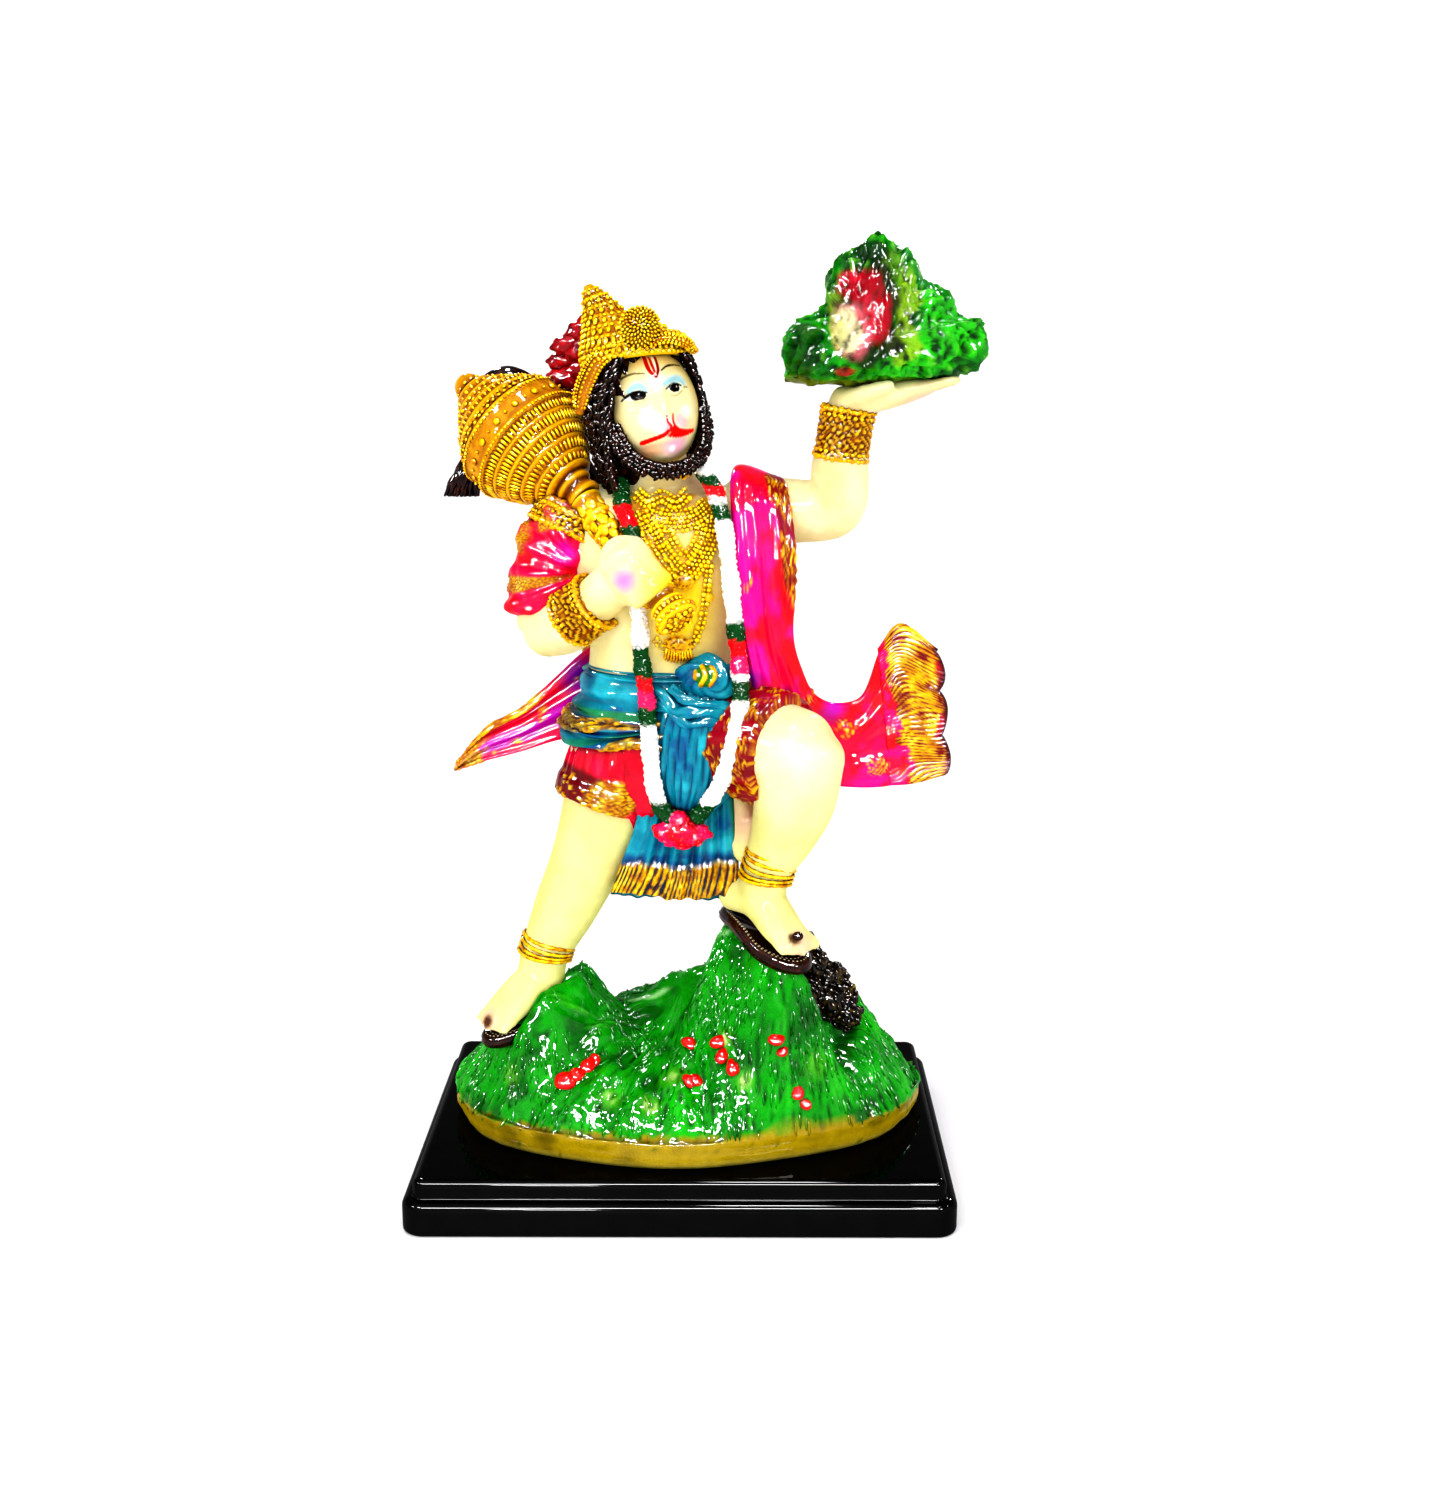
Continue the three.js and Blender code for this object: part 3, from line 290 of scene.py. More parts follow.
# %% Enamels for skin, face and petals
PAINTS = {
    # Cream enamel: a little light gets in, so the limbs look soft and warm. Its hollows are darkened a little
    # with painted shade.
    "skin": painted("cream_enamel", None, "#F0D47C", mottle_mm=6, depth=0.1, shade=0.08,
                    roughness=0.3, varnish=0.14, gloss=0.16, grain_mm=1.2, grain_height_mm=0.03, glow=0.33),
    # The same enamel laid with a fine brush: smooth, so the strokes stay crisp.
    "face": painted("brushed_face_enamel", None, "#B08A3C", mottle_mm=9, depth=0.0, shade=0.0,
                    roughness=0.3, varnish=0.16, gloss=0.12, grain_mm=1.5, grain_height_mm=0.01, glow=0.12),
    # Petal enamel: a rougher paint, so the flowers look dry beside the gold, with painted shade in its
    # hollows.
    "petals": painted("petal_enamel", None, "#2A2A10", mottle_mm=1.5, depth=0.3, shade=0.35,
                      roughness=0.4, grain_mm=0.5, grain_height_mm=0.05),
}
print(len(PAINTS), "enamels mixed")

# %% Golds
GOLD_LOOK = {"mottle_mm": 1.6, "depth": 1.0, "roughness": 0.42, "grain_mm": 0.5, "grain_height_mm": 0.07}
LEAF_TONES = [(0.30, "#C88200"), (0.43, "#F2BC00"), (0.55, "#FFDE10"), (0.70, "#FFF27A")]
PAINTS |= {
    # Bronze powder in varnish: hardly metallic, so it glows yellow over brown hollows, a real wash deepened
    # with painted shade.
    "gold": painted("bronze_powder_gold", GOLD_TONES, GOLD_WASH_AND_SHADE, shade=0.95, metal=0.12, **GOLD_LOOK),
    # Brighter gold on crown and necklaces: the beads stand out from a darker ground, with a brown wash and
    # painted shade in the hollows.
    "leaf": painted("bright_leaf_gold", LEAF_TONES, "#6A2E00", shade=0.8, metal=0.08, **GOLD_LOOK),
    # Gold brushed over a brown ground: each form stores which parts are bright or dark, and painted shade
    # darkens it where neighbours close in.
    "gilded": painted("gilded_by_zone", None, "#2E0E00", mottle_mm=1.2, depth=0.9, shade=0.95,
                      grain_mm=0.5, grain_height_mm=0.08),
}
print(len(PAINTS), "paints mixed so far")

# %% Candy colours, greens and browns
CANDY_LOOK = {"varnish": 0.9, "roughness": 0.28}
PAINTS |= {
    # Candy magenta: a clear pink whose folds are painted darker, to wine, as painted shade.
    "cloth": painted("candy_magenta", None, "#A00040", mottle_mm=4, depth=0.55, shade=0.5,
                     grain_mm=0.8, grain_height_mm=0.08, **CANDY_LOOK),
    # Candy teal: its pleats are painted nearly navy as painted shade, so that the crests look bright.
    "teal": painted("candy_teal", None, "#033058", mottle_mm=1.6, depth=0.85, shade=0.75,
                    grain_mm=0.5, grain_height_mm=0.12, **CANDY_LOOK),
    # Candy crimson: a deeper red whose creases are painted almost black as painted shade.
    "crimson": painted("candy_crimson", None, "#45000A", mottle_mm=2.5, depth=0.8, shade=0.6,
                       grain_mm=0.6, grain_height_mm=0.1, **CANDY_LOOK),
    # Meadow green: grass that looks wet, painted darker at the roots as painted shade.
    "meadow": painted("meadow_green", None, "#012A08", mottle_mm=1.6, depth=0.85, shade=0.6,
                      varnish=0.8, roughness=0.3, grain_mm=0.5, grain_height_mm=0.16),
    # Plume red under full varnish: it catches the light behind the crown.
    "plume": painted("plume_red", [(0.35, "#5E000A"), (0.55, "#B00414"), (0.7, "#DC1422")],
                     "#38000A", varnish=1.0, grain_mm=0.6, grain_height_mm=0.08),
    # Umber scrub: dark glossy knobs with olive tips.
    "rock": painted("umber_scrub", [(0.42, "#080300"), (0.54, "#241204"), (0.64, "#54400A"),
                                    (0.74, "#8E8424")],
                    "#030100", mottle_mm=1.4, varnish=1.0, grain_height_mm=0.14),
    # Scarlet gloss: a small smooth flower that shines like a berry.
    "scarlet": painted("scarlet_gloss", [(0.35, "#B80404"), (0.55, "#F01208"), (0.75, "#FF3A20")],
                       "#5A0000", mottle_mm=1.2, varnish=1.0, roughness=0.2),
    # Black-brown gloss: hair nearly black, with white glints on its strands.
    "hair": painted("black_brown_gloss", [(0.36, "#0A0200"), (0.54, "#280C04"), (0.74, "#642410")],
                    "#020000", mottle_mm=1.2, varnish=1.0, roughness=0.3, grain_mm=0.35,
                    grain_height_mm=0.12),
    # Sandal brown: leather that looks oiled.
    "leather": painted("sandal_brown", [(0.35, "#120300"), (0.6, "#341004"), (0.75, "#5A220A")],
                       "#0A0200", mottle_mm=1.5, varnish=1.0, grain_height_mm=0.05),
    # Pale thread: cream stitches that read as dots on the dark sole.
    "thread": painted("pale_thread", [(0.4, "#D8C8A0"), (0.6, "#F4ECD0")], "#4A2A10", varnish=0.5,
                      grain_height_mm=0.02),
}
print(len(PAINTS), "paints mixed")

# %% [markdown]
# ## Form helpers
# Modelling tools could push these forms by hand, but a script repeats them better as a few
# kinds of form: a limb lofted along a bent line, a cloth hung between two edges, a turned
# form and a rounded lump. Each returns its points, its faces and some marks, which are one
# number or colour a point, such as how far along the limb a point lies. A few small
# functions for lines and for uneven surfaces come first.

# %% Lines through points
def unit(vectors):
    """The same directions with a length of one."""
    vectors = np.asarray(vectors, float)
    return vectors / np.maximum(np.linalg.norm(vectors, axis=-1, keepdims=True), 1e-12)


def turns_round(count):
    """Angles spaced evenly round a circle."""
    return np.linspace(0, 2 * np.pi, count, endpoint=False)


def shares_close_at_ends(count, pull):
    """Shares from 0 to 1 that lie closer together at both ends."""
    even = np.linspace(0, 1, count)
    return even - pull * np.sin(2 * np.pi * even) / (2 * np.pi)


def line_through(points, shares, closed=False):
    """Places at the given shares of a smooth line through the points, which bends evenly
    however far apart they lie."""
    points = np.asarray(points, float)
    count = len(points)
    spans = count if closed else count - 1
    place = np.clip(np.asarray(shares, float), 0, 1) * spans
    span = np.minimum(place.astype(int), spans - 1)
    along = (place - span)[:, None]
    if closed:
        near = [points[(span + k) % count] for k in (-1, 0, 1, 2)]
    else:
        ends = np.vstack([2 * points[0] - points[1], points, 2 * points[-1] - points[-2]])
        near = [ends[span + k] for k in (0, 1, 2, 3)]
    gaps = [np.linalg.norm(b - a, axis=1)[:, None] ** 0.5 for a, b in zip(near, near[1:])]
    middle_gap = np.where(gaps[1] < 1e-4, 1.0, gaps[1])
    first_gap = np.where(gaps[0] < 1e-4, middle_gap, gaps[0])
    last_gap = np.where(gaps[2] < 1e-4, middle_gap, gaps[2])
    p0, p1, p2, p3 = near
    leave = ((p1 - p0) / first_gap - (p2 - p0) / (first_gap + middle_gap)) * middle_gap + p2 - p1
    arrive = (p3 - p2) / last_gap - (p3 - p1) / (middle_gap + last_gap)
    arrive = arrive * middle_gap + p2 - p1
    bend = 3 * (p2 - p1) - 2 * leave - arrive
    ease = 2 * (p1 - p2) + leave + arrive
    return p1 + along * (leave + along * (bend + along * ease))


def smoothstep(value, low, high):
    """0 below low, 1 above high and an S-shaped rise between them."""
    share = np.clip((np.asarray(value, float) - low) / (high - low), 0, 1)
    return share * share * (3 - 2 * share)


# %% Uneven surfaces, the same in every run
CELL_KEYS = np.array([73856093, 19349663, 83492791])
SEED_KEY = 2654435761
STIR_KEY = 1274126177


def lattice(points, size, seed=0):
    """Smooth random bumps about `size` mm apart, from -1 to 1."""
    spread = np.asarray(points, float) / size
    cell = np.floor(spread).astype(np.int64)
    within = spread - cell
    within = within * within * (3 - 2 * within)
    total = 0.0
    for corner in range(8):
        step = np.array([corner & 1, (corner >> 1) & 1, corner >> 2])
        mixed = (cell + step) @ CELL_KEYS + seed * SEED_KEY
        mixed = (mixed ^ (mixed >> 13)) * STIR_KEY
        value = ((mixed ^ (mixed >> 16)) & 0xFFFF) / 32767.5 - 1
        total = total + value * np.prod(np.where(step, within, 1 - within), axis=-1)
    return total


def crumble(points, size, seed=0, layers=3):
    """Bumps on bumps: each layer is half as large and half as high as the one before."""
    return sum(lattice(points, size / 2**k, seed + k) / 2**k for k in range(layers))


def rough(x, y, z=0.0):
    """The same few slow waves that the solids have."""
    waves = [(0.61, 0.23, 0.37, 1.3), (-0.29, 0.67, 0.41, 4.1), (0.97, -0.71, -0.53, 2.2)]
    return sum(np.sin(i * x + j * y + k * z + shift) for i, j, k, shift in waves) / 3


# %% Closed skins
def facing_out(points, faces):
    """Turns the faces round if they enclose a negative volume."""
    total = 0.0
    for block in faces:
        first = points[block[:, 0]]
        for corner in range(1, block.shape[1] - 1):
            others = np.cross(points[block[:, corner]], points[block[:, corner + 1]])
            total += np.sum(first * others)
    return [block[:, ::-1] for block in faces] if total < 0 else faces


def form(points, faces, **marks):
    """A form whose faces point outwards."""
    return {"points": points, "faces": facing_out(points, faces), "marks": marks}


def ring_quads(rings, sides):
    """The faces between closed rings of points."""
    first = np.arange(rings - 1)[:, None] * sides + np.arange(sides)
    second = np.arange(rings - 1)[:, None] * sides + (np.arange(sides) + 1) % sides
    return np.stack([first, second, second + sides, first + sides], -1).reshape(-1, 4)


def skin_over(rings, poles=None, **marks):
    """A closed skin over rings of points, with a fan to a pole at each end."""
    count, sides, _ = rings.shape
    poles = rings[[0, -1]].mean(1) if poles is None else np.asarray(poles, float)
    points = np.vstack([rings.reshape(-1, 3), poles])
    side = np.arange(sides)
    following = (side + 1) % sides
    last = (count - 1) * sides
    first_pole = count * sides
    fans = [
        np.stack([np.full(sides, first_pole), following, side], -1),
        np.stack([np.full(sides, first_pole + 1), last + side, last + following], -1),
    ]
    full = {}
    for key, value in marks.items():
        value = np.broadcast_to(value, (count, sides))
        full[key] = np.concatenate([value.ravel(), value[[0, -1]].mean(1)])
    return form(points, [ring_quads(count, sides), *fans], **full)


def merged(forms):
    """Several forms as one, with each mark that any of them has."""
    names = {key for one in forms for key in one["marks"]}
    points = np.vstack([one["points"] for one in forms])
    faces = []
    start = 0
    marks = {key: [] for key in names}
    for one in forms:
        faces += [block + start for block in one["faces"]]
        start += len(one["points"])
        for key in names:
            marks[key].append(one["marks"].get(key, np.zeros(len(one["points"]))))
    return {"points": points, "faces": faces,
            "marks": {key: np.concatenate(value) for key, value in marks.items()}}


# %% Limbs
def travelling_frames(centres, across):
    """Tangent, side and depth at each centre, carried along without twisting."""
    tangents = unit(np.gradient(centres, axis=0))
    side = np.array(across, float)
    sides = []
    for tangent in tangents:
        side = unit(side - np.dot(side, tangent) * tangent)
        sides.append(side)
    sides = np.array(sides)
    return tangents, sides, np.cross(tangents, sides)


def loft(stations, sides=40, steps=48, across=(1, 0, 0), relief=None, caps=5, reach=0.5):
    """A rounded body along a bent line. A station is [x, y, z, half-width, half-depth], and
    relief(turn, along) scales the radius."""
    rows = np.array([(list(s) + [s[3]])[:5] for s in stations], float)
    along = np.linspace(0, 1, steps + 1)
    centres = line_through(rows[:, :3], along)
    sizes = line_through(rows[:, 3:], along)
    tangents, side_ways, depth_ways = travelling_frames(centres, across)
    dome = np.linspace(0, math.radians(80), caps + 1)[1:] if caps else np.array([])
    picks = np.concatenate([np.zeros(caps, int), np.arange(steps + 1), np.full(caps, steps)])
    angles = np.concatenate([-dome[::-1], np.zeros(steps + 1), dome])
    turn = turns_round(sides)[None]
    place = along[picks][:, None]
    swell = np.cos(angles)[:, None] * (relief(turn, place) if relief else 1.0)
    width = (sizes[picks, 0:1] * swell * np.cos(turn))[..., None]
    depth = (sizes[picks, 1:2] * swell * np.sin(turn))[..., None]
    push = (reach * sizes[picks, 1] * np.sin(angles))[:, None] * tangents[picks]
    rings = (centres[picks] + push)[:, None] + side_ways[picks][:, None] * width
    rings = rings + depth_ways[picks][:, None] * depth
    poles = None
    if caps:
        ends = np.array([0, -1])
        push = reach * sizes[ends, 1:2] * np.array([[-1], [1]])
        poles = centres[ends] + tangents[ends] * push
    return skin_over(rings, poles, turn=turn + 0 * place, along=place + 0 * turn)


def rippled(*waves):
    """A relief of waves round and along a limb. Each is (height, how many round, angle along)."""
    return lambda turn, along: sum(
        (height * np.cos(rounds * turn + lengths * along) for height, rounds, lengths in waves), 1)


# %% Cloth
def drape(rows, folds=3, depth=1.0, thick=2.6, points=48, steps=120, lift=None, emboss=None):
    """Cloth hung between two edges. A row is [edge a, edge b]. lift(share, along) bends the
    cloth out, and emboss(share, along) raises its front alone, both in mm."""
    along = shares_close_at_ends(steps + 1, 0.6)
    edges = [line_through([row[e] for row in rows], along) for e in (0, 1)]
    share = shares_close_at_ends(points, 0.75)[None]
    along = along[:, None]
    tangents = np.gradient(edges[0], axis=0) + np.gradient(edges[1], axis=0)
    normals = unit(np.cross(tangents, edges[1] - edges[0]))[:, None]
    rim = np.sin(np.pi * np.clip(share, 0, 1)) ** 0.4
    wave = np.cos(2 * np.pi * folds * share + 0.6 * along) * depth
    if lift:
        wave = wave + lift(share, along)
    round_edge = np.sqrt(np.maximum(1 - (2 * share - 1) ** 20, 0.002))
    round_end = np.sqrt(np.maximum(1 - (2 * along - 1) ** 80, 0.01))
    half = thick * (0.45 + 0.55 * rim) / 2 * round_edge * round_end
    raised = emboss(share, along) * round_edge if emboss else 0.0
    middle = edges[0][:, None] * (1 - share[..., None]) + edges[1][:, None] * share[..., None]
    middle = middle + normals * (wave * rim)[..., None]
    front = middle + normals * (half + raised)[..., None]
    back = (middle - normals * half[..., None])[:, ::-1]
    rings = np.concatenate([front, back], axis=1)
    count, sides, _ = rings.shape
    side = np.arange(points - 1)
    near = np.stack([side, side + 1, sides - 2 - side, sides - 1 - side], -1)
    far = near[:, ::-1] + (count - 1) * sides
    shares = np.concatenate([share, share[:, ::-1]], 1) + 0 * along
    fronts = np.concatenate([np.ones(points), -np.ones(points)])[None] + 0 * along
    return form(rings.reshape(-1, 3), [ring_quads(count, sides)[:, ::-1], near, far],
                share=shares.ravel(), along=(along + 0 * shares).ravel(), front=fronts.ravel())


# %% Turned forms and lumps
def axis_of(start, towards):
    """The frame of a turned form: its foot, its axis and two directions across it."""
    start = np.array(start, float)
    axis = unit(np.array(towards, float) - start)
    side = unit(np.cross(axis, (0, 0, 1)))
    return start, axis, side, np.cross(axis, side)


def around(frame_of, turn, height, radius):
    """Places round an axis, and the way out from the axis at each."""
    start, axis, side, depth = frame_of
    turn, height, radius = np.broadcast_arrays(turn, height, radius)
    out = np.cos(turn)[..., None] * side + np.sin(turn)[..., None] * depth
    return start + height[..., None] * axis + radius[..., None] * out, out


def rounded_profile(profile, rounds=2, step=0.35):
    """A profile with its corners cut to curves and points close enough together."""
    line = np.array(profile, float)
    for _ in range(rounds):
        cut = np.empty((2 * len(line) - 2, 2))
        cut[0::2] = 0.75 * line[:-1] + 0.25 * line[1:]
        cut[1::2] = 0.25 * line[:-1] + 0.75 * line[1:]
        line = np.vstack([line[:1], cut, line[-1:]])
    gaps = np.concatenate([[0], np.cumsum(np.linalg.norm(np.diff(line, axis=0), axis=1))])
    even = np.linspace(0, gaps[-1], int(gaps[-1] / step) + 2)
    return np.stack([np.interp(even, gaps, line[:, k]) for k in (0, 1)], -1)


def turned(profile, start, towards, sides=96, step=0.35, rounds=2, lift=None):
    """A turned form from [radius, height] pairs. lift(turn, height) adds to the radius."""
    line = rounded_profile(profile, rounds, step)
    radius, height = line[1:-1, 0:1], line[1:-1, 1:2]
    turn = turns_round(sides)[None]
    inner = np.minimum(radius, 1.0)
    swell = radius + (lift(turn, height) * inner if lift else 0.0) + 0 * turn
    frame_of = axis_of(start, towards)
    rings, _ = around(frame_of, turn, height, swell)
    poles, _ = around(frame_of, 0.0, line[[0, -1], 1], 0.0)
    return skin_over(rings, poles, turn=turn + 0 * height, height=height + 0 * turn)


def turned_by(degrees):
    """The turn about X, then Y, then Z axes of the moved body, as a matrix."""
    a, b, c = (math.radians(angle) for angle in degrees)
    about_x = np.array([[1, 0, 0], [0, math.cos(a), -math.sin(a)], [0, math.sin(a), math.cos(a)]])
    about_y = np.array([[math.cos(b), 0, math.sin(b)], [0, 1, 0], [-math.sin(b), 0, math.cos(b)]])
    about_z = np.array([[math.cos(c), -math.sin(c), 0], [math.sin(c), math.cos(c), 0], [0, 0, 1]])
    return about_x @ about_y @ about_z


def lump(place, sizes, turn=(0, 0, 0), sides=36, bulge=None):
    """A rounded lump with its own half-sizes. bulge(x, y, z) scales it point by point."""
    rows = sides // 2
    angle = np.linspace(0, np.pi, rows + 2)[1:-1, None]
    round_ = turns_round(sides)[None]
    ball = np.stack([np.sin(angle) * np.cos(round_), np.sin(angle) * np.sin(round_),
                     np.cos(angle) + 0 * round_], -1)
    poles = np.array([[0, 0, 1.0], [0, 0, -1.0]])
    if bulge:
        ball = ball * bulge(ball[..., 0], ball[..., 1], ball[..., 2])[..., None]
        poles = poles * bulge(poles[:, 0], poles[:, 1], poles[:, 2])[:, None]
    spin = turned_by(turn)
    set_down = lambda p: (p * sizes) @ spin.T + place
    return skin_over(set_down(ball), set_down(poles))


# %% [markdown]
# ## From forms to pieces
# A piece is one mesh in the frame, with its paint, that rides on the part's one body and
# stands for the measured casting. Before that, the hollows of its relief are found: each
# point is compared with a smoothed copy of the surface, and what lies below that copy is a
# hollow, which the paint darkens. On the gold this is the wash that stayed when the painter
# wiped the high places clean; on skin, cloth and grass it is painted shade.

# %% Hollows
def edges_of(faces):
    """Each edge of the faces once."""
    pairs = [np.stack([block, np.roll(block, -1, 1)], -1).reshape(-1, 2) for block in faces]
    return np.unique(np.sort(np.vstack(pairs), 1), axis=0)


def normals_of(points, faces):
    """The way out of the surface at each point."""
    total = np.zeros_like(points)
    for block in faces:
        a = points[block[:, 2]] - points[block[:, 0]]
        b = points[block[:, -1]] - points[block[:, 1]]
        face_normals = np.cross(points[block[:, 1]] - points[block[:, 0]], a)
        if block.shape[1] == 4:
            face_normals = np.cross(a, b)
        for corner in range(block.shape[1]):
            for axis in range(3):
                total[:, axis] += np.bincount(block[:, corner], face_normals[:, axis], len(points))
    return unit(total)


def neighbour_means(points, edges):
    """The middle of the places that each point shares an edge with."""
    sums = np.stack([
        np.bincount(edges[:, 0], points[edges[:, 1], axis], len(points))
        + np.bincount(edges[:, 1], points[edges[:, 0], axis], len(points))
        for axis in range(3)
    ], -1)
    return sums / np.maximum(np.bincount(edges.ravel(), minlength=len(points)), 1)[:, None]


def hollows(one, reach_mm=0.9, full_depth_mm=0.16):
    """How deep each point lies in its relief, from 0 on the heights to 1 in the grooves, or
    with a depth below zero how high it stands."""
    points, faces = one["points"], one["faces"]
    edges = edges_of(faces)
    spacing = np.median(np.linalg.norm(points[edges[:, 0]] - points[edges[:, 1]], axis=1))
    rounds = int(np.clip((reach_mm / spacing) ** 2, 3, 40))
    smooth = points.copy()
    for _ in range(rounds):
        smooth = 0.5 * smooth + 0.5 * neighbour_means(smooth, edges)
    sunk = np.sum((smooth - points) * normals_of(points, faces), axis=1)
    return smoothstep(np.sign(full_depth_mm) * sunk, 0.0, abs(full_depth_mm))


# %% Pieces
STORED_KINDS = {1: ("FLOAT", "value"), 3: ("FLOAT_VECTOR", "vector"), 4: ("FLOAT_COLOR", "color")}
made_triangles = {}


def store(mesh, label, values):
    """Stores a number, a way or a colour for each point of a mesh."""
    kind, field = STORED_KINDS[np.size(values) // len(values)]
    stored = mesh.attributes.new(label, kind, "POINT")
    stored.data.foreach_set(field, np.asarray(values).astype(np.float32).ravel())


def mesh_of(name, places, faces):
    """A mesh from its places and its blocks of faces."""
    mesh = bpy.data.meshes.new(name)
    mesh.from_pydata(places.tolist(), [], [face for block in faces for face in block.tolist()])
    return mesh


def piece(name, forms, paint, hollow=None, stands_for="figure_casting"):
    """One dressed piece out of forms. hollow is (reach, full depth) in mm for the darkening of its hollows,
    partly a real wash and partly painted shade.
    """
    one = merged(forms)
    marks = one["marks"]
    if hollow:
        marks["hollow"] = hollows(one, *hollow)
    mesh = mesh_of(name, metres(one["points"]), one["faces"])
    for key in ("hollow", "gilt"):
        if key in marks:
            store(mesh, key, marks[key])
    if "paint" in marks:
        store(mesh, "paint", np.column_stack([marks["paint"], np.ones(len(one["points"]))]))
    mesh.shade_smooth()
    mesh.materials.append(PAINTS[paint])
    return placed(bpy.data.objects.new(name, mesh), stands_for)


def placed(made, stands_for="figure_casting"):
    """Puts a finished object in the scene, on its body and in its solid's place."""
    if not made.users_collection:
        bpy.context.collection.objects.link(made)
    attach(made, "root")
    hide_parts(stands_for)
    triangles = sum(len(face.vertices) - 2 for face in made.data.polygons)
    made_triangles[made.name] = triangles
    print(f"{made.name}: {triangles} triangles")
    return made


def painted_over(base, *layers):
    """A colour a point: the base, then each (mask, hex colour) over it in turn."""
    count = max([len(np.atleast_1d(mask)) for mask, _ in layers] or [1])
    colour = np.tile(linear(base), (count, 1))
    for mask, code in layers:
        share = np.clip(mask, 0, 1)[:, None]
        colour = colour * (1 - share) + linear(code) * share
    return colour


def spot_on(points, centre, reach, soft=0.5):
    """A soft round mask about a place, 1 inside and 0 past its reach in mm."""
    away = np.linalg.norm(np.asarray(points) - centre, axis=-1)
    return 1 - smoothstep(away, reach * (1 - soft), reach)


def spots_on(points, spots, soft):
    """The soft masks of several (place, reach) spots as one."""
    mask = np.zeros(len(points))
    for centre, reach in spots:
        mask = np.maximum(mask, spot_on(points, centre, reach, soft))
    return mask


# %% [markdown]
# ## Beads and studs by Geometry Nodes
# Gold work repeats: bead rows, studs, reeds, granules. The object starts as bare points that
# know which way is out, which way lies along, and how large their stud is. The tree puts a
# ball on each point, turned and stretched to suit, makes the balls real and paints them.
# One tree makes round beads, flat studs and long reeds, because they differ in size alone.

# %% How every tree starts and ends
def new_tree(name, sockets):
    """A Geometry Nodes tree with a mesh in and out and the named inputs."""
    tree = bpy.data.node_groups.new(name, "GeometryNodeTree")
    tree.interface.new_socket("Geometry", in_out="INPUT", socket_type="NodeSocketGeometry")
    tree.interface.new_socket("Geometry", in_out="OUTPUT", socket_type="NodeSocketGeometry")
    for label, kind in sockets:
        tree.interface.new_socket(label, in_out="INPUT", socket_type=kind)
    return tree, node(tree, "NodeGroupInput").outputs


def close_tree(tree, made, material):
    """Makes the instances real and paints them, as every tree here ends."""
    real = node(tree, "GeometryNodeRealizeInstances", {"Geometry": made}).outputs[0]
    smooth = node(tree, "GeometryNodeSetShadeSmooth", {"Geometry": real}).outputs[0]
    coated = node(tree, "GeometryNodeSetMaterial", {"Geometry": smooth, "Material": material})
    node(tree, "NodeGroupOutput", {"Geometry": coated.outputs[0]})


def balls_on(tree, points, out, along, size, roundness, material):
    """Sets a ball on each point, turned by its ways out and along and stretched to its size."""
    turn = node(tree, "FunctionNodeAxesToRotation", {
        "Primary Axis": out, "Secondary Axis": along,
    }, primary_axis="Z", secondary_axis="X").outputs["Rotation"]
    ball = node(tree, "GeometryNodeMeshIcoSphere", {
        "Radius": 1.0, "Subdivisions": roundness,
    }).outputs["Mesh"]
    close_tree(tree, node(tree, "GeometryNodeInstanceOnPoints", {
        "Points": points, "Instance": ball, "Rotation": turn, "Scale": size,
    }).outputs["Instances"], material)


def scattered(tree, given, density, along_of, size, least, most):
    """Scatters small balls over a surface, by the seed that the tree is given. along_of makes
    each one's way along out of its way out, and least and most are the limits of its scale."""
    sown = node(tree, "GeometryNodeDistributePointsOnFaces", {
        "Mesh": given["Geometry"], "Density": density, "Seed": given["Seed"],
    }, distribute_method="RANDOM").outputs
    luck = node(tree, "FunctionNodeRandomValue", {
        2: least, 3: most, "Seed": given["Seed"],
    }, data_type="FLOAT").outputs[1]
    scaled = node(tree, "ShaderNodeVectorMath", {0: size, "Scale": luck}, operation="SCALE").outputs["Vector"]
    out = sown["Normal"]
    balls_on(tree, sown["Points"], out, along_of(out), scaled, 1, given["Paint"])


# %% The stud tree
stud_tree, given = new_tree("studs", [
    ("Size", "NodeSocketFloat"), ("Roundness", "NodeSocketInt"),
    ("Unevenness", "NodeSocketFloat"), ("Seed", "NodeSocketInt"), ("Paint", "NodeSocketMaterial"),
])
out_way, along_way, stud_size = (
    node(stud_tree, "GeometryNodeInputNamedAttribute", {"Name": label}, data_type="FLOAT_VECTOR")
    .outputs["Attribute"] for label in ("out", "along", "size")
)
least_scale, most_scale = (
    node(stud_tree, "ShaderNodeMath", {0: 1.0, 1: given["Unevenness"]}, operation=operation)
    .outputs[0] for operation in ("SUBTRACT", "ADD")
)
stud_luck = node(stud_tree, "FunctionNodeRandomValue", {
    2: least_scale, 3: most_scale, "Seed": given["Seed"],
}, data_type="FLOAT").outputs[1]
stud_scale = node(stud_tree, "ShaderNodeMath", {0: stud_luck, 1: given["Size"]},
                  operation="MULTIPLY").outputs[0]
stud_stretch = node(stud_tree, "ShaderNodeVectorMath", {0: stud_size, "Scale": stud_scale},
                    operation="SCALE").outputs["Vector"]
balls_on(stud_tree, given["Geometry"], out_way, along_way, stud_stretch, given["Roundness"], given["Paint"])
print("stud tree:", len(stud_tree.nodes), "nodes")


# %% Growing a tree on points
def evaluated_mesh(made):
    """The mesh that an object's modifiers make."""
    bpy.context.view_layer.update()
    evaluated = made.evaluated_get(bpy.context.evaluated_depsgraph_get())
    return bpy.data.meshes.new_from_object(evaluated)


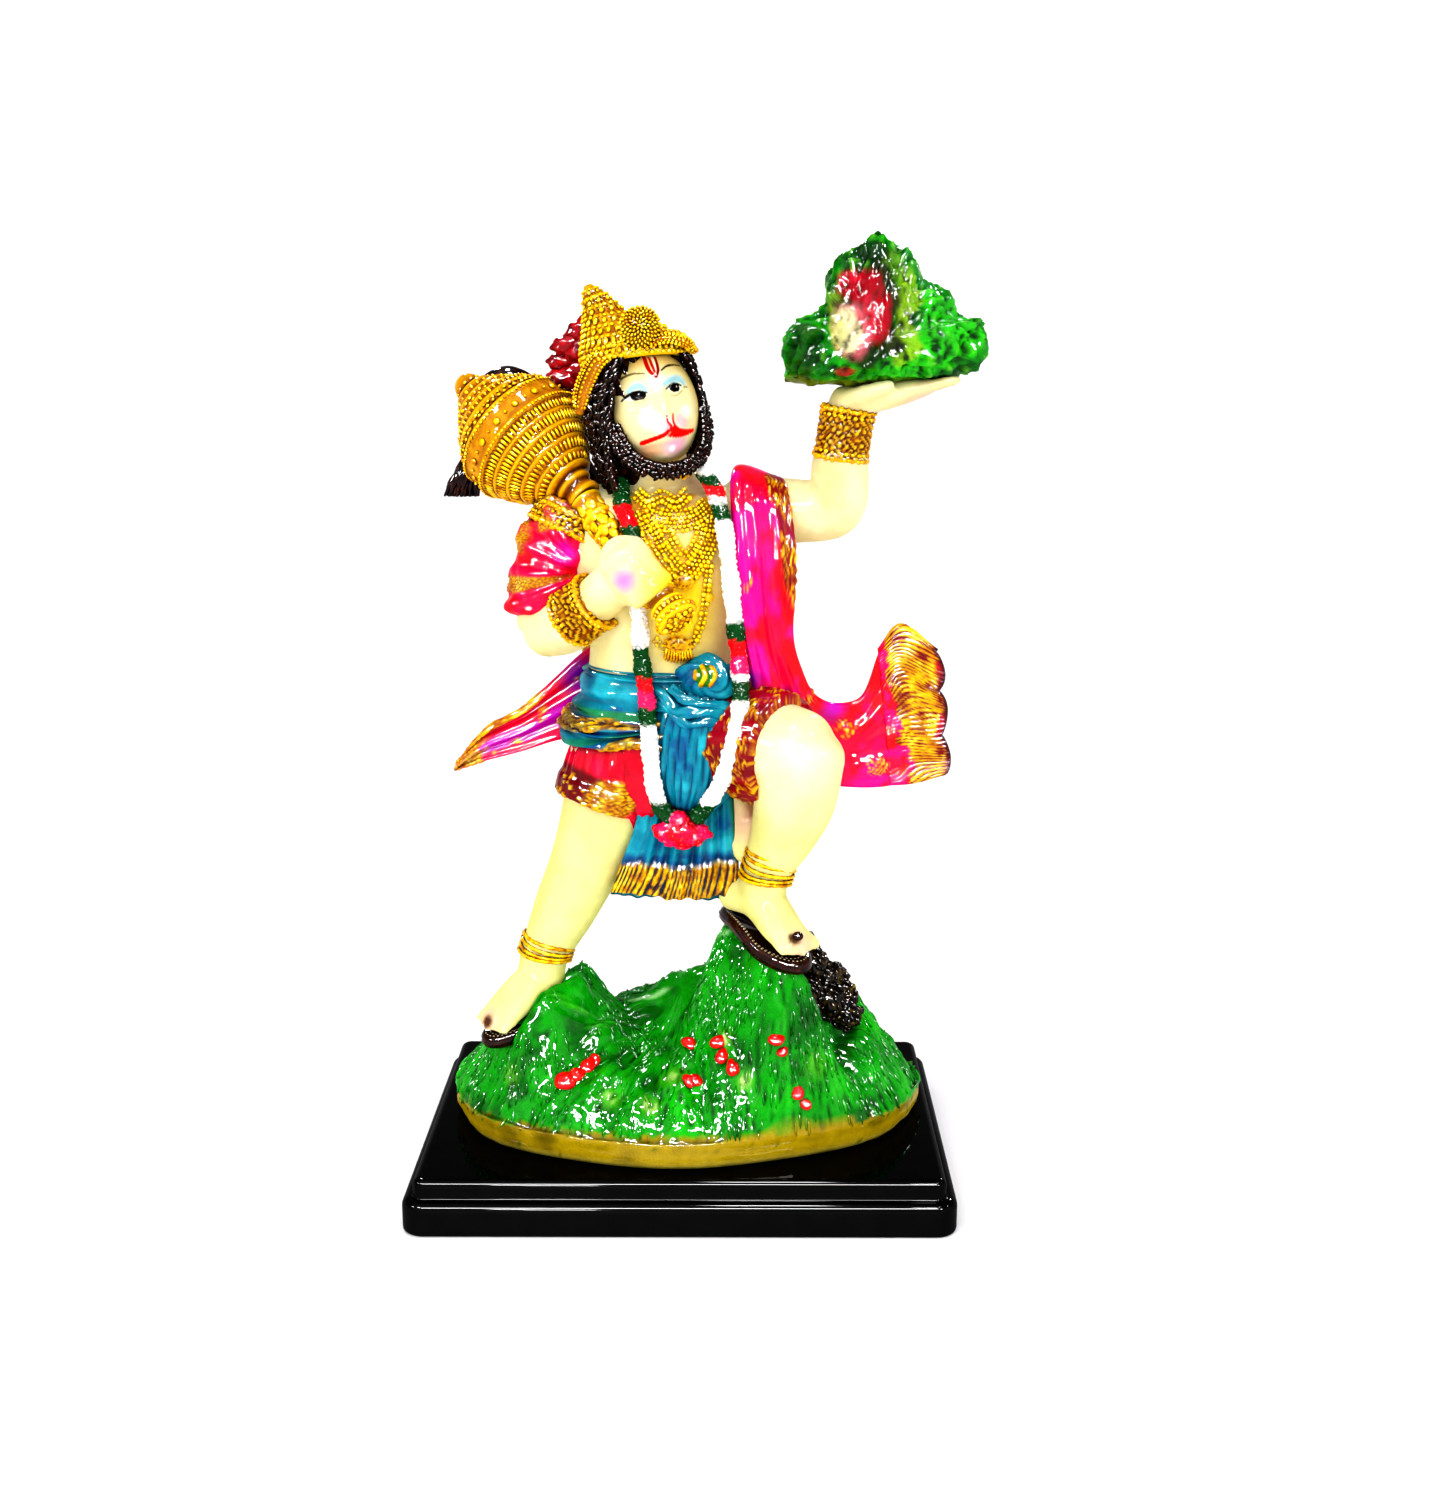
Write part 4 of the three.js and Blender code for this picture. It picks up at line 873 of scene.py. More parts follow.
def grown(name, tree, seed_mesh, settings):
    """Runs a tree on a mesh and keeps the result as a plain mesh object."""
    made = bpy.data.objects.new(name, seed_mesh)
    bpy.context.collection.objects.link(made)
    modifier = made.modifiers.new(tree.name, "NODES")
    modifier.node_group = tree
    names = {item.name: item.identifier for item in tree.interface.items_tree
             if item.in_out == "INPUT"}
    for label, value in settings.items():
        modifier[names[label]] = value
    result = evaluated_mesh(made)
    made.modifiers.remove(modifier)
    made.data = result
    result.name = name
    return made


# %% Rows of studs
def studs(name, rows, paint, roundness=2, unevenness=0.08, seed=1):
    """Studs on points. A row is (places, ways out, ways along, (long, wide, high) in mm)."""
    places, outs, alongs, sizes = [], [], [], []
    for place, out, along, size in rows:
        place = np.atleast_2d(place)
        places.append(place)
        outs.append(np.broadcast_to(out, place.shape))
        alongs.append(np.broadcast_to(along, place.shape))
        sizes.append(np.broadcast_to(size, place.shape))
    mesh = bpy.data.meshes.new(name)
    mesh.from_pydata(metres(np.vstack(places)).tolist(), [], [])
    for label, values in (("out", outs), ("along", alongs), ("size", sizes)):
        store(mesh, label, np.vstack(values))
    made = grown(name, stud_tree, mesh, {
        "Size": MM, "Roundness": roundness, "Unevenness": unevenness, "Seed": seed,
        "Paint": PAINTS[paint],
    })
    return placed(made)


def along_line(points, spacing, closed=False):
    """Evenly spaced places on a smooth line, and the way along it at each."""
    fine = line_through(points, np.linspace(0, 1, 400), closed)
    gaps = np.concatenate([[0], np.cumsum(np.linalg.norm(np.diff(fine, axis=0), axis=1))])
    count = max(int(round(gaps[-1] / spacing)), 2)
    marks = (np.arange(count) + 0.5) / count * gaps[-1]
    places = np.stack([np.interp(marks, gaps, fine[:, k]) for k in range(3)], -1)
    ways = unit(np.stack([np.interp(marks, gaps, np.gradient(fine[:, k])) for k in range(3)], -1))
    return places, ways


def ring_row(frame_of, height, radius, count, size, shift=0.0, lengthwise=False, slope=0.0):
    """A row of studs round an axis, lying round it or lengthwise up its slope."""
    turn = (np.arange(count) + shift) / count * 2 * np.pi
    places, outs = around(frame_of, turn, height, radius)
    along = frame_of[1] + slope * outs if lengthwise else np.cross(frame_of[1], outs)
    return places, outs - slope * frame_of[1], along, size


print("tools are ready")

# %% [markdown]
# ## The plinth
# A real plinth of this kind is moulded in resin and dipped in black lacquer, which runs a
# little and sags at the edges. Its profile steps in once on the way up and every edge is
# rounded, so the form is a rounded rectangle that changes size ring by ring. A bump texture
# alone gives the orange peel of the lacquer, since that is too fine for mesh.

# %% Black lacquer
# Dipped lacquer is a thick black gloss: the eye sees long soft runs in its reflections, and
# specks of dust under them.
RUN_MM, DUST_MM = 3.5, 0.5
lacquer = bpy.data.materials.new("black_dipped_lacquer")
lacquer.use_nodes = True
lacquer_tree = lacquer.node_tree
lacquer_place = node(lacquer_tree, "ShaderNodeTexCoord").outputs["Object"]
lacquer_runs, lacquer_dust = (
    node(lacquer_tree, "ShaderNodeTexNoise", {
        "Vector": lacquer_place, "Scale": 1 / (size * MM), "Detail": detail,
    }).outputs["Fac"] for size, detail in ((RUN_MM, 3.0), (DUST_MM, 2.0))
)
lacquer_tone = node(lacquer_tree, "ShaderNodeValToRGB", {"Fac": lacquer_runs},
                    stops=[(0.4, "#010102"), (0.75, "#060607")]).outputs["Color"]
lacquer_shine = node(lacquer_tree, "ShaderNodeMapRange", {
    "Value": lacquer_runs, "From Min": 0.3, "From Max": 0.7, "To Min": 0.3, "To Max": 0.5,
}).outputs["Result"]
lacquer_height = node(lacquer_tree, "ShaderNodeMath", {
    0: lacquer_runs, 1: lacquer_dust}, operation="ADD").outputs[0]
lacquer_bump = node(lacquer_tree, "ShaderNodeBump", {
    "Strength": 0.8, "Distance": 0.22 * MM, "Height": lacquer_height,
}).outputs["Normal"]
fill(lacquer_tree, lacquer_tree.nodes["Principled BSDF"], {
    "Base Color": lacquer_tone, "Roughness": lacquer_shine, "Normal": lacquer_bump,
    "Specular IOR Level": 0.0, "Coat Weight": 0.16, "Coat Roughness": 0.05,
})
PAINTS["lacquer"] = lacquer
print("lacquer mixed")

# %% The plinth
plinth_low, plinth_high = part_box("plinth")
plinth_wide = (plinth_high.x - plinth_low.x) / MM
plinth_deep = (plinth_high.y - plinth_low.y) / MM
plinth_tall = (plinth_high.z - plinth_low.z) / MM
LOWER_TIER = 6.4
TIER_STEP = 2.0
LOWER_ROUND = 1.5
UPPER_ROUND = 1.3
FOOT_ROUND = 0.8
CORNER_RADIUS = 4.0


def quarter(centre_in, centre_up, radius, start, end, count=8):
    """Points of an arc as [inset, height], between two angles in degrees."""
    angles = np.radians(np.linspace(start, end, count))
    return [[centre_in - radius * math.cos(a), centre_up + radius * math.sin(a)] for a in angles]


def rounded_rectangle(inset, per_corner=10):
    """The plinth's outline at an inset from its foot, as (x, y) points."""
    half_wide, half_deep = plinth_wide / 2 - inset, plinth_deep / 2 - inset
    radius = max(CORNER_RADIUS - inset, 0.5)
    ring = []
    for corner, (sx, sy) in enumerate([(1, 1), (-1, 1), (-1, -1), (1, -1)]):
        for turn in np.linspace(corner, corner + 1, per_corner) * math.pi / 2:
            ring.append((sx * (half_wide - radius) + radius * math.cos(turn),
                         sy * (half_deep - radius) + radius * math.sin(turn)))
    return np.array(ring)


plinth_profile = [
    [FOOT_ROUND + 0.6, 0], *quarter(FOOT_ROUND, FOOT_ROUND, FOOT_ROUND, -90, 0),
    [0, FOOT_ROUND + 0.4], [0, LOWER_TIER - LOWER_ROUND - 0.4],
    *quarter(LOWER_ROUND, LOWER_TIER - LOWER_ROUND, LOWER_ROUND, 0, 90),
    [TIER_STEP - 0.44, LOWER_TIER + 0.02], *quarter(TIER_STEP - 0.4, LOWER_TIER + 0.4, -0.4, 90, 0),
    [TIER_STEP, LOWER_TIER + 0.9], [TIER_STEP, plinth_tall - UPPER_ROUND - 0.4],
    *quarter(TIER_STEP + UPPER_ROUND, plinth_tall - UPPER_ROUND, UPPER_ROUND, 0, 90),
    [TIER_STEP + UPPER_ROUND + 0.6, plinth_tall],
]
plinth_rings = np.array([
    [(x, y, height - plinth_tall) for x, y in rounded_rectangle(inset)]
    for inset, height in plinth_profile
])
sag = 0.12 * lattice(plinth_rings, 9.0, 5) * (np.abs(plinth_rings[..., 2:3] + 5)[..., 0] < 4.6)
plinth_rings[..., :2] += 0.6 * sag[..., None] * np.sign(plinth_rings[..., :2])
piece("plinth_lacquered", [skin_over(plinth_rings)], "lacquer", stands_for="plinth")

# %% [markdown]
# ## The mound
# The mound could be sculpted with brushes. Here it is a round grid whose height comes from a
# low dome and a spur under each foot, with grass combed down every slope: noise that is fine
# round the mound and long down it. The grass ends in a ragged edge above a bare rim of tan
# resin, as if a mat of turf lay over a slab.

# %% The mound's shape
MOUND_WIDE, MOUND_DEEP = 46.0, 29.0
RIM_HEIGHT = 4.6
SPURS = [
    ((-19, 1, 28.5), (-21, -1, 28), 6), ((-21, -2, 27), (-35, -13, 19.5), 9),
    ((9.5, -7, 40.8), (20.5, -19.5, 36.2), 7.2), ((4, 3, 28), (-6, 5, 23), 8),
    ((-20, -6, 29.5), (-25.4, -11.2, 28.0), 4.6), ((-25.4, -11.2, 28.0), (-30.4, -15.6, 22.0), 4.2),
    ((23, 0, 30), (30, 2, 24), 7.4), ((33, -4, 17.5), (38, 1, 14.5), 9),
]


def mound_height(x, y):
    """Height of the grass over the plinth's top, without its finest combing."""
    edge = np.hypot(x / MOUND_WIDE, y / MOUND_DEEP)
    dome = RIM_HEIGHT + 12.5 * np.sqrt(np.maximum(0, 1 - (edge / 0.975) ** 2))
    height = dome
    for (ax, ay, az), (bx, by, bz), width in SPURS:
        dx, dy = bx - ax, by - ay
        share = np.clip(((x - ax) * dx + (y - ay) * dy) / (dx * dx + dy * dy), 0, 1)
        away = np.hypot(x - ax - dx * share, y - ay - dy * share)
        top = az + (bz - az) * share - dome
        rim_fall = smoothstep(0.97 - edge, 0.0, 0.17)
        height = np.maximum(height, dome + top * rim_fall * np.exp(-((away / width) ** 2)))
    furrows = 0.6 * edge * np.sin(19 * np.arctan2(y, x))
    return height + furrows + 1.1 * rough(x, y) * (1 - edge)


AROUND_MOUND = 380
mound_turn = turns_round(AROUND_MOUND)[None]
slope_edges = 0.97 * np.linspace(1, 0.02, 92) ** 0.8
RIM_STEPS = [(0.5, 0.0), (0.94, 0.0), (0.958, 0.4), (0.972, 1.1), (0.98, 2.0), (0.98, 2.9),
             (0.978, 3.7), (0.982, 4.4), (0.984, 5.0), (0.98, 5.5)]
mound_edges = np.concatenate([[edge for edge, _ in RIM_STEPS], slope_edges])[:, None]
wobble = 1 + 0.018 * np.sin(3 * mound_turn + 1) + 0.012 * np.sin(7 * mound_turn)
mound_x = MOUND_WIDE * mound_edges * wobble * np.cos(mound_turn)
mound_y = MOUND_DEEP * mound_edges * wobble * np.sin(mound_turn)
mound_z = mound_height(mound_x, mound_y)
mound_z[:len(RIM_STEPS)] = np.array([height for _, height in RIM_STEPS])[:, None]

# %% The combed grass
on_slope = smoothstep(mound_z, 3.6, 6.2)
comb_place = np.stack([
    46 * np.cos(mound_turn) + 0 * mound_edges, 46 * np.sin(mound_turn) + 0 * mound_edges,
    mound_edges * 7 - mound_z * 0.16], -1)
combing = (0.55 * lattice(comb_place, 0.9, 11) + 0.45 * lattice(comb_place, 0.45, 12)
           + 0.5 * lattice(comb_place, 2.1, 13))
mound_places = np.stack([mound_x, mound_y, mound_z], -1)
clods = crumble(mound_places, 4.5, 21)
open_ground = smoothstep(mound_edges, 0.12, 0.3)
relief = on_slope * open_ground * (0.56 * combing + 0.34 * clods)
outward = unit(np.stack([
    mound_x / MOUND_WIDE**2, mound_y / MOUND_DEEP**2, 0.02 * on_slope], -1))
mound_places = mound_places + outward * relief[..., None] * (0.35 + 0.65 * on_slope[..., None])
mound_places[..., 2] += 0.25 * relief
rim_part = (mound_z > 0.2) * (1 - on_slope)
mound_places[..., :2] *= 1 + (0.006 * rim_part * lattice(mound_places, 3.0, 31))[..., None]

# %% Where the mound is which colour
flat_mound = mound_places.reshape(-1, 3)
grass_noise = crumble(flat_mound, 6.0, 41).ravel()
comb_relief = combing.ravel()
front = np.clip(-np.sin(mound_turn) + 0 * mound_edges, -1, 1).ravel()
turf_edge = 4.2 + 2.0 * np.maximum(front, 0) + 0.5 * lattice(comb_place * (1, 1, 0), 1.3, 51).ravel()
bare_rim = 1 - smoothstep(flat_mound[:, 2], turf_edge - 0.35, turf_edge + 0.35)
PALE_SPOTS = [((26.1, -22.5, 17.5), 4.6), ((-12.9, -22.3, 11.6), 3.4), ((-5.5, -24.2, 10.8), 3.0),
              ((-1.0, -18.8, 13.6), 3.6), ((20.5, -26.2, 13.6), 3.4), ((8.2, -17.5, 20.6), 3.0),
              ((-31.0, -16.0, 13.0), 3.0), ((11.6, -23.5, 15.2), 2.8)]
pale = spots_on(flat_mound, PALE_SPOTS, 0.9) * np.clip(0.75 + 0.5 * comb_relief, 0, 1)
# A pale line is painted along the crest of the spur: a painted highlight.
RIDGE_LINE = [(-18.5, 3, 26.5), (-13.5, 2.5, 21.8), (-6.5, 1, 21.8), (-3.4, 1.4, 23.6), (1, -2, 29.5),
              (5.4, -6, 35), (9, -9.4, 39.6)]
ridge_places = line_through(RIDGE_LINE, np.linspace(0, 1, 60))
ridge_highlight = spots_on(flat_mound, [(place, 0.9) for place in ridge_places], 0.9)
# The ground round the foot of the scrub is painted nearly black: painted shade.
shade_under_scrub = spot_on(flat_mound, (27.5, -3, 27), 9.5, 0.6)
under_foot = spot_on(flat_mound, (-35, -13.5, 21), 4.0, 0.7)
mound_paint = painted_over(
    "#089A0C",
    (0.9 * smoothstep(grass_noise, 0.15, 0.8), "#00600A"),
    (0.8 * smoothstep(-grass_noise, 0.1, 0.9), "#1CC014"),
    # The crests of the combing are painted lighter and its grooves darker: painted highlight and painted
    # shade.
    (0.6 * smoothstep(comb_relief, 0.4, 1.2), "#5AD236"),
    (0.85 * smoothstep(-comb_relief, 0.3, 1.1), "#00360A"),
    (0.8 * pale, "#74C834"), (0.9 * smoothstep(pale, 0.45, 0.95), "#C8E08C"),
    (0.8 * ridge_highlight, "#B4F0A8"), (0.75 * under_foot, "#8AE03C"), (0.85 * shade_under_scrub, "#141C04"),
    (bare_rim, "#A8900E"),
    (bare_rim * smoothstep(lattice(flat_mound, 5.0, 61), 0.1, 0.9), "#7C6A0C"),
    (bare_rim * (1 - smoothstep(flat_mound[:, 2], 0.5, 1.5)), "#D6C45A"),
    (0.8 * bare_rim * smoothstep(lattice(flat_mound, 1.1, 62), 0.62, 0.9), "#2E5A0A"),
)


def with_poles(colour):
    """The colours of a skin's rings, with one more for the pole at each end."""
    return np.vstack([colour, colour[:1], colour[-1:]])


mound_form = skin_over(mound_places, [(0, 0, 0), (0, 0, float(mound_z[-1].mean()))])
mound_form["marks"] = {"paint": with_poles(mound_paint)}
turf_share = (1 - bare_rim) * on_slope.ravel() * open_ground.repeat(AROUND_MOUND, 1).ravel()
turf_share *= np.clip(0.55 + 0.9 * crumble(flat_mound, 9.0, 71), 0, 1)
mound = piece("mound", [mound_form], "meadow", hollow=(0.9, 0.24))

# %% [markdown]
# ## Grass strokes, flowers and scrub
# The sculptor stroked the turf with a tool, which leaves short ridges that catch the light.
# Geometry Nodes scatter them over the finished mound with a fixed seed: each one lies down
# the slope, half sunk, and takes the colour of the ground under it. They are thickest where
# the mound stores the most turf. Flowers and scrub are heaps of small rounded lumps.

# %% The turf tree
store(mound.data, "turf", np.append(turf_share, [0, 0]))
turf_tree, given = new_tree("turf", [
    ("Density", "NodeSocketFloat"), ("Stroke", "NodeSocketVector"), ("Seed", "NodeSocketInt"),
    ("Paint", "NodeSocketMaterial"),
])
turf_here = node(turf_tree, "GeometryNodeInputNamedAttribute", {"Name": "turf"},
                 data_type="FLOAT").outputs["Attribute"]
turf_density = node(turf_tree, "ShaderNodeMath", {0: turf_here, 1: given["Density"]},
                    operation="MULTIPLY").outputs[0]


def down_slope(out):
    """The way down the mound, from the way out of it."""
    level = node(turf_tree, "ShaderNodeVectorMath", {0: out, 1: (0.0, 0.0, 1.0)},
                 operation="CROSS_PRODUCT").outputs[0]
    return node(turf_tree, "ShaderNodeVectorMath", {0: out, 1: level},
                operation="CROSS_PRODUCT").outputs[0]


scattered(turf_tree, given, turf_density, down_slope, given["Stroke"], 0.5, 1.35)
placed(grown("turf", turf_tree, mound.data.copy(), {
    "Density": 0.75 / MM**2, "Stroke": (1.3 * MM, 0.22 * MM, 0.24 * MM), "Seed": 4,
    "Paint": PAINTS["meadow"],
}))
mound.data.attributes.remove(mound.data.attributes["turf"])

# %% Flowers
BLOOMS = [((-21.4, -18.6), 1.9), ((-19.4, -17.4), 1.5), ((-17.4, -15.6), 1.5), ((-16.2, -14.6), 1.1),
          ((1.4, -13.9), 1.3), ((7.0, -17.6), 1.5), ((7.8, -19.4), 1.5), ((9.6, -21.4), 1.5),
          ((1.4, -20.2), 1.2), ((2.6, -20.0), 1.2), ((17.4, -22.6), 1.3), ((18.6, -22.8), 1.0),
          ((21.4, -23.1), 1.3), ((22.8, -22.9), 1.1)]
bloom_forms = []
for number, ((x, y), size) in enumerate(BLOOMS):
    high = float(mound_height(x, y))
    bloom_forms.append(lump((x, y - 0.2, high + 0.3), (size * 1.15, size * 0.9, size * 0.5),
                            (42, 0, 37 * number), sides=26,
                            bulge=lambda px, py, pz: 1 + 0.2 * rough(3 * px + number, 3 * py, 3 * pz)))
piece("flowers", bloom_forms, "scarlet")

# %% Scrub beside the raised foot
GOLDEN_ANGLE = 2.39996
CLUMPS = [
    (24.6, -2.6, 29.8, 3.4), (28.0, -1.4, 26.8, 3.5), (27.6, -5.2, 23.6, 3.5), (22.8, 1.0, 32.0, 2.8),
    (31.0, -5.0, 20.8, 2.9), (23.8, -7.2, 25.6, 2.8), (30.6, -2.4, 23.8, 2.8),
]
knob_rows = []
for number, (x, y, z, r) in enumerate(CLUMPS):
    count = int(26 * r)
    ranks = np.arange(count) + 0.5
    height = 1 - 2 * ranks / count
    swing = ranks * GOLDEN_ANGLE + number
    ways = np.stack([np.sqrt(1 - height**2) * np.cos(swing),
                     np.sqrt(1 - height**2) * np.sin(swing), height], -1)
    far = r * (0.88 + 0.3 * lattice(ways * 7, 1.0, 80 + number))[:, None]
    knob_rows.append((ways * far + (x, y, z), ways, np.cross(ways, (0.3, 1, 0.2)), (0.8, 0.38, 0.6)))
studs("scrub_knobs", knob_rows, "rock", roundness=1, unevenness=0.5, seed=3)
piece("scrub_heart", [
    lump((x, y, z), (r, r, r), sides=26, bulge=lambda a, b, c: 0.93 + 0.1 * rough(9 * a, 9 * b, 9 * c))
    for x, y, z, r in CLUMPS
], "rock", hollow=(0.8, 0.3))

# %% [markdown]
# ## The carried hill
# The hill is a torn lump seen mostly from the front, so it is built from slices: its outline
# in front view, drawn smaller towards the front and the back. Rough noise makes the crags.
# The painter laid greens wet over one another, with a crimson hollow and a cream patch, and
# an olive underside where the palm holds it.

# %% The hill
HILL_MIDDLE = (36.0, -2.4, 147.0)
HILL_OUTLINE = [
    (19.4, 139.6), (18.8, 146.3), (20.7, 149.4), (25.1, 151.4), (26.2, 157.2), (29.9, 160.9),
    (34.7, 163.9), (37.5, 162.3), (40.9, 160), (42.6, 156.5), (47, 154.1), (49, 150.4),
    (52.6, 149.5), (53, 143), (49.3, 140.4), (43.1, 139.2), (35, 138.4), (27.4, 138.6),
]
HILL_SLICES = [(-10, 0.04), (-10, 0.4), (-9, 0.62), (-7, 0.8), (-4, 0.93), (0, 1),
               (3.4, 0.95), (6.4, 0.82), (8.6, 0.6), (9.4, 0.38), (9.6, 0.04)]
HILL_UNDERSIDE = 138.4
hill_cx, hill_cy, hill_cz = HILL_MIDDLE
hill_ring = line_through([(x, 0, z) for x, z in HILL_OUTLINE], np.linspace(0, 1, 241)[:-1], closed=True)
hill_slices = line_through([(y, share, 0) for y, share in HILL_SLICES], np.linspace(0, 1, 96))
hill_y, hill_share = hill_slices[:, 0:1], np.clip(hill_slices[:, 1:2], 0.03, 1)
crag = 1 + 0.1 * rough(1.7 * hill_ring[:, 0], 3.1 * hill_y, 1.9 * hill_ring[:, 2]) * (
    1 - 0.7 * (hill_share > 0.97))
hill_dx = (hill_ring[:, 0] - hill_cx) * hill_share * crag
hill_dz = (hill_ring[:, 2] - hill_cz) * hill_share * crag
hill_places = np.stack([
    hill_cx + hill_dx, hill_cy + hill_y + 1.3 * rough(hill_dx, 4 * hill_share, hill_dz),
    np.maximum(hill_cz + hill_dz, HILL_UNDERSIDE)], -1)
hill_ways = unit(np.stack([hill_dx / 17**2, hill_y / 9**2 + 0 * hill_dx, hill_dz / 12**2], -1))
torn = 1 - np.abs(crumble(hill_places * (1, 1, 0.6), 2.3, 91))
fine = crumble(hill_places * (1, 1, 0.6), 1.0, 95, 2)
hill_upper = smoothstep(hill_places[..., 2], HILL_UNDERSIDE + 0.3, HILL_UNDERSIDE + 2)
hill_places = hill_places + hill_ways * ((0.8 * (torn - 0.55) + 0.55 * fine) * hill_upper)[..., None]
flat_hill = hill_places.reshape(-1, 3)
hill_front = smoothstep(-flat_hill[:, 1], 0.5, 4.0)
hill_noise = crumble(flat_hill, 5.0, 101).ravel()
hill_fine = fine.ravel()
print("hill:", len(flat_hill), "points")


# %% The hill's colours
def hill_patch(x, z, wide, high, ragged=0.25):
    """A ragged patch on the front of the hill, seen from in front."""
    away = np.hypot((flat_hill[:, 0] - x) / wide, (flat_hill[:, 2] - z) / high)
    return hill_front * (1 - smoothstep(away + ragged * hill_noise, 0.75, 1.1))


# Each patch: strength, middle x and z, half width, half height, raggedness and colour.
HILL_PATCHES = [
    (0.75, 22.0, 144.6, 3.6, 4.6, 0.5, "#031E08"), (0.8, 33.0, 161.2, 3.4, 2.2, 0.4, "#02180A"),
    (0.92, 32.8, 151.6, 6.0, 9.6, 0.35, "#120A06"), (1, 31.0, 155.4, 4.2, 3.6, 0.25, "#A80420"),
    (1, 33.9, 150.6, 3.0, 4.8, 0.2, "#B40A26"), (0.8, 29.6, 156.6, 2.4, 1.8, 0.3, "#D41A38"),
    (0.75, 32.8, 151.4, 1.8, 3.6, 0.3, "#D43A50"), (0.95, 29.8, 148.4, 3.7, 5.2, 0.2, "#D87078"),
    (1, 29.2, 148.6, 2.7, 4.3, 0.25, "#EADFB4"), (0.6, 27.4, 148.4, 1.6, 3.4, 0.3, "#C2C866"),
    (0.9, 28.6, 141.0, 1.8, 0.9, 0.25, "#B01828"),
]
hill_paint = painted_over(
    "#0E9410",
    (0.85 * smoothstep(hill_noise, 0.1, 0.7), "#024A08"),
    (0.9 * smoothstep(-hill_noise, 0.0, 0.6), "#3AD018"),
    (0.7 * hill_patch(44.0, 147.0, 8.0, 7.0, 0.7), "#34D41A"),
    (0.8 * hill_patch(39.0, 151.0, 3.0, 8.0, 0.6), "#9CC024"),
    (0.6 * hill_patch(27.0, 152.6, 1.6, 3.4, 0.4), "#94A024"),
    (0.6 * hill_patch(36.6, 158.6, 3.0, 3.0, 0.5), "#7EA030"),
    # The crests of the fine crumb are painted lighter and its hollows nearly black: painted highlight and
    # painted shade.
    (0.6 * smoothstep(hill_fine, 0.35, 0.9), "#7ED040"),
    (0.9 * smoothstep(-hill_fine, 0.25, 0.9), "#011E04"),
    *((strength * hill_patch(*shape), code) for strength, *shape, code in HILL_PATCHES),
    (1 - smoothstep(flat_hill[:, 2] + 0.8 * hill_noise, 139.0, 140.2), "#6E7A12"),
)
hill_form = skin_over(hill_places)
hill_form["marks"] = {"paint": with_poles(hill_paint)}
piece("hill", [hill_form], "meadow", hollow=(0.8, 0.3))

# %% [markdown]
# ## Skin
# The body was modelled in clay before it was cast, so limbs run into one another without a
# seam. Lofted limbs would cross one another with hard creases. A voxel remesh melts them into
# one skin instead, and a little smoothing takes off the voxel steps. Its cream enamel blushes
# pink at the hands and feet, and gold strayed on to it round the bangles and the chest.

# %% Melting forms together
def fused(forms, voxel_mm, smoothing=4):
    """One closed skin round several forms, by voxel remesh."""
    one = merged(forms)
    mesh = mesh_of("clay", one["points"], one["faces"])
    clay = bpy.data.objects.new("clay", mesh)
    bpy.context.collection.objects.link(clay)
    remesh = clay.modifiers.new("melt", "REMESH")
    remesh.mode = "VOXEL"
    remesh.voxel_size = voxel_mm
    melted = evaluated_mesh(clay)
    points = np.empty(len(melted.vertices) * 3)
    melted.vertices.foreach_get("co", points)
    points = points.reshape(-1, 3)
    faces = []
    for sides in (4, 3):
        block = [face.vertices[:] for face in melted.polygons if len(face.vertices) == sides]
        if block:
            faces.append(np.array(block))
    bpy.data.objects.remove(clay)
    bpy.data.meshes.remove(mesh)
    bpy.data.meshes.remove(melted)
    edges = edges_of(faces)
    for step in range(2 * smoothing):
        share = 0.5 if step % 2 == 0 else -0.45
        points = points + share * (neighbour_means(points, edges) - points)
    return form(points, faces)


# %% Where the limbs lie
# Each station: its place, then half its width and half its depth.
TORSO = [
    (-3, 0.5, 62, 14, 10.5), (-3, 0.5, 72, 16.5, 12), (-3.2, 0, 84, 14.5, 11),
    (-3.3, -0.5, 92, 13.5, 10.6), (-3.5, 0, 100, 14.8, 10.6), (-3.6, 0.5, 108, 17, 11),
    (-4, 1.5, 115, 17, 10), (-4.2, 2.2, 119.5, 12, 7.5), (-4.4, 1.2, 123.5, 6.4, 6.2),
    (-4.8, 0, 130, 6, 6),
]
LEFT_KNEE, LEFT_ANKLE = (-18.2, -3, 50, 6.8, 6.9), (-26.2, -4.6, 32.5, 4.5, 4.6)
RIGHT_KNEE, RIGHT_ANKLE = (21.2, -15.2, 74.0, 8.4, 8.4), (15.6, -12.4, 51.2, 4.3, 4.5)
LEFT_FOOT = [(-25.3, -3.2, 27.6, 4, 3.4), (-28.6, -6.6, 27.2, 4.1, 3.8),
             (-32.6, -10.6, 24.4, 4.4, 2.7), (-35.2, -13.2, 22.6, 3.9, 1.7)]
RIGHT_FOOT = [(9.8, -7.2, 46, 3.9, 3.4), (14.4, -11.6, 46.2, 4, 4),
              (18.6, -16.6, 42, 4.3, 2.8), (21.4, -20, 39.8, 3.8, 1.8)]
FIST = (-8.6, -12.6, 106.8)


# %% The chest, hands and feet
def chest_furrow(turn, along):
    """A shallow groove down the middle of the chest."""
    down_front = np.exp(-(((turn - 1.5 * np.pi) / 0.25) ** 2))
    return 1 - 0.05 * down_front * np.sin(np.pi * along)


def foot_frame(stations):
    """The heel, the tip and the three directions of a foot."""
    heel, tip = np.array(stations[0][:3], float), np.array(stations[-1][:3], float)
    forward = unit(tip - heel)
    sideways = unit(np.cross(forward, (0, 0, 1)))
    return heel, tip, forward, sideways, np.cross(sideways, forward)


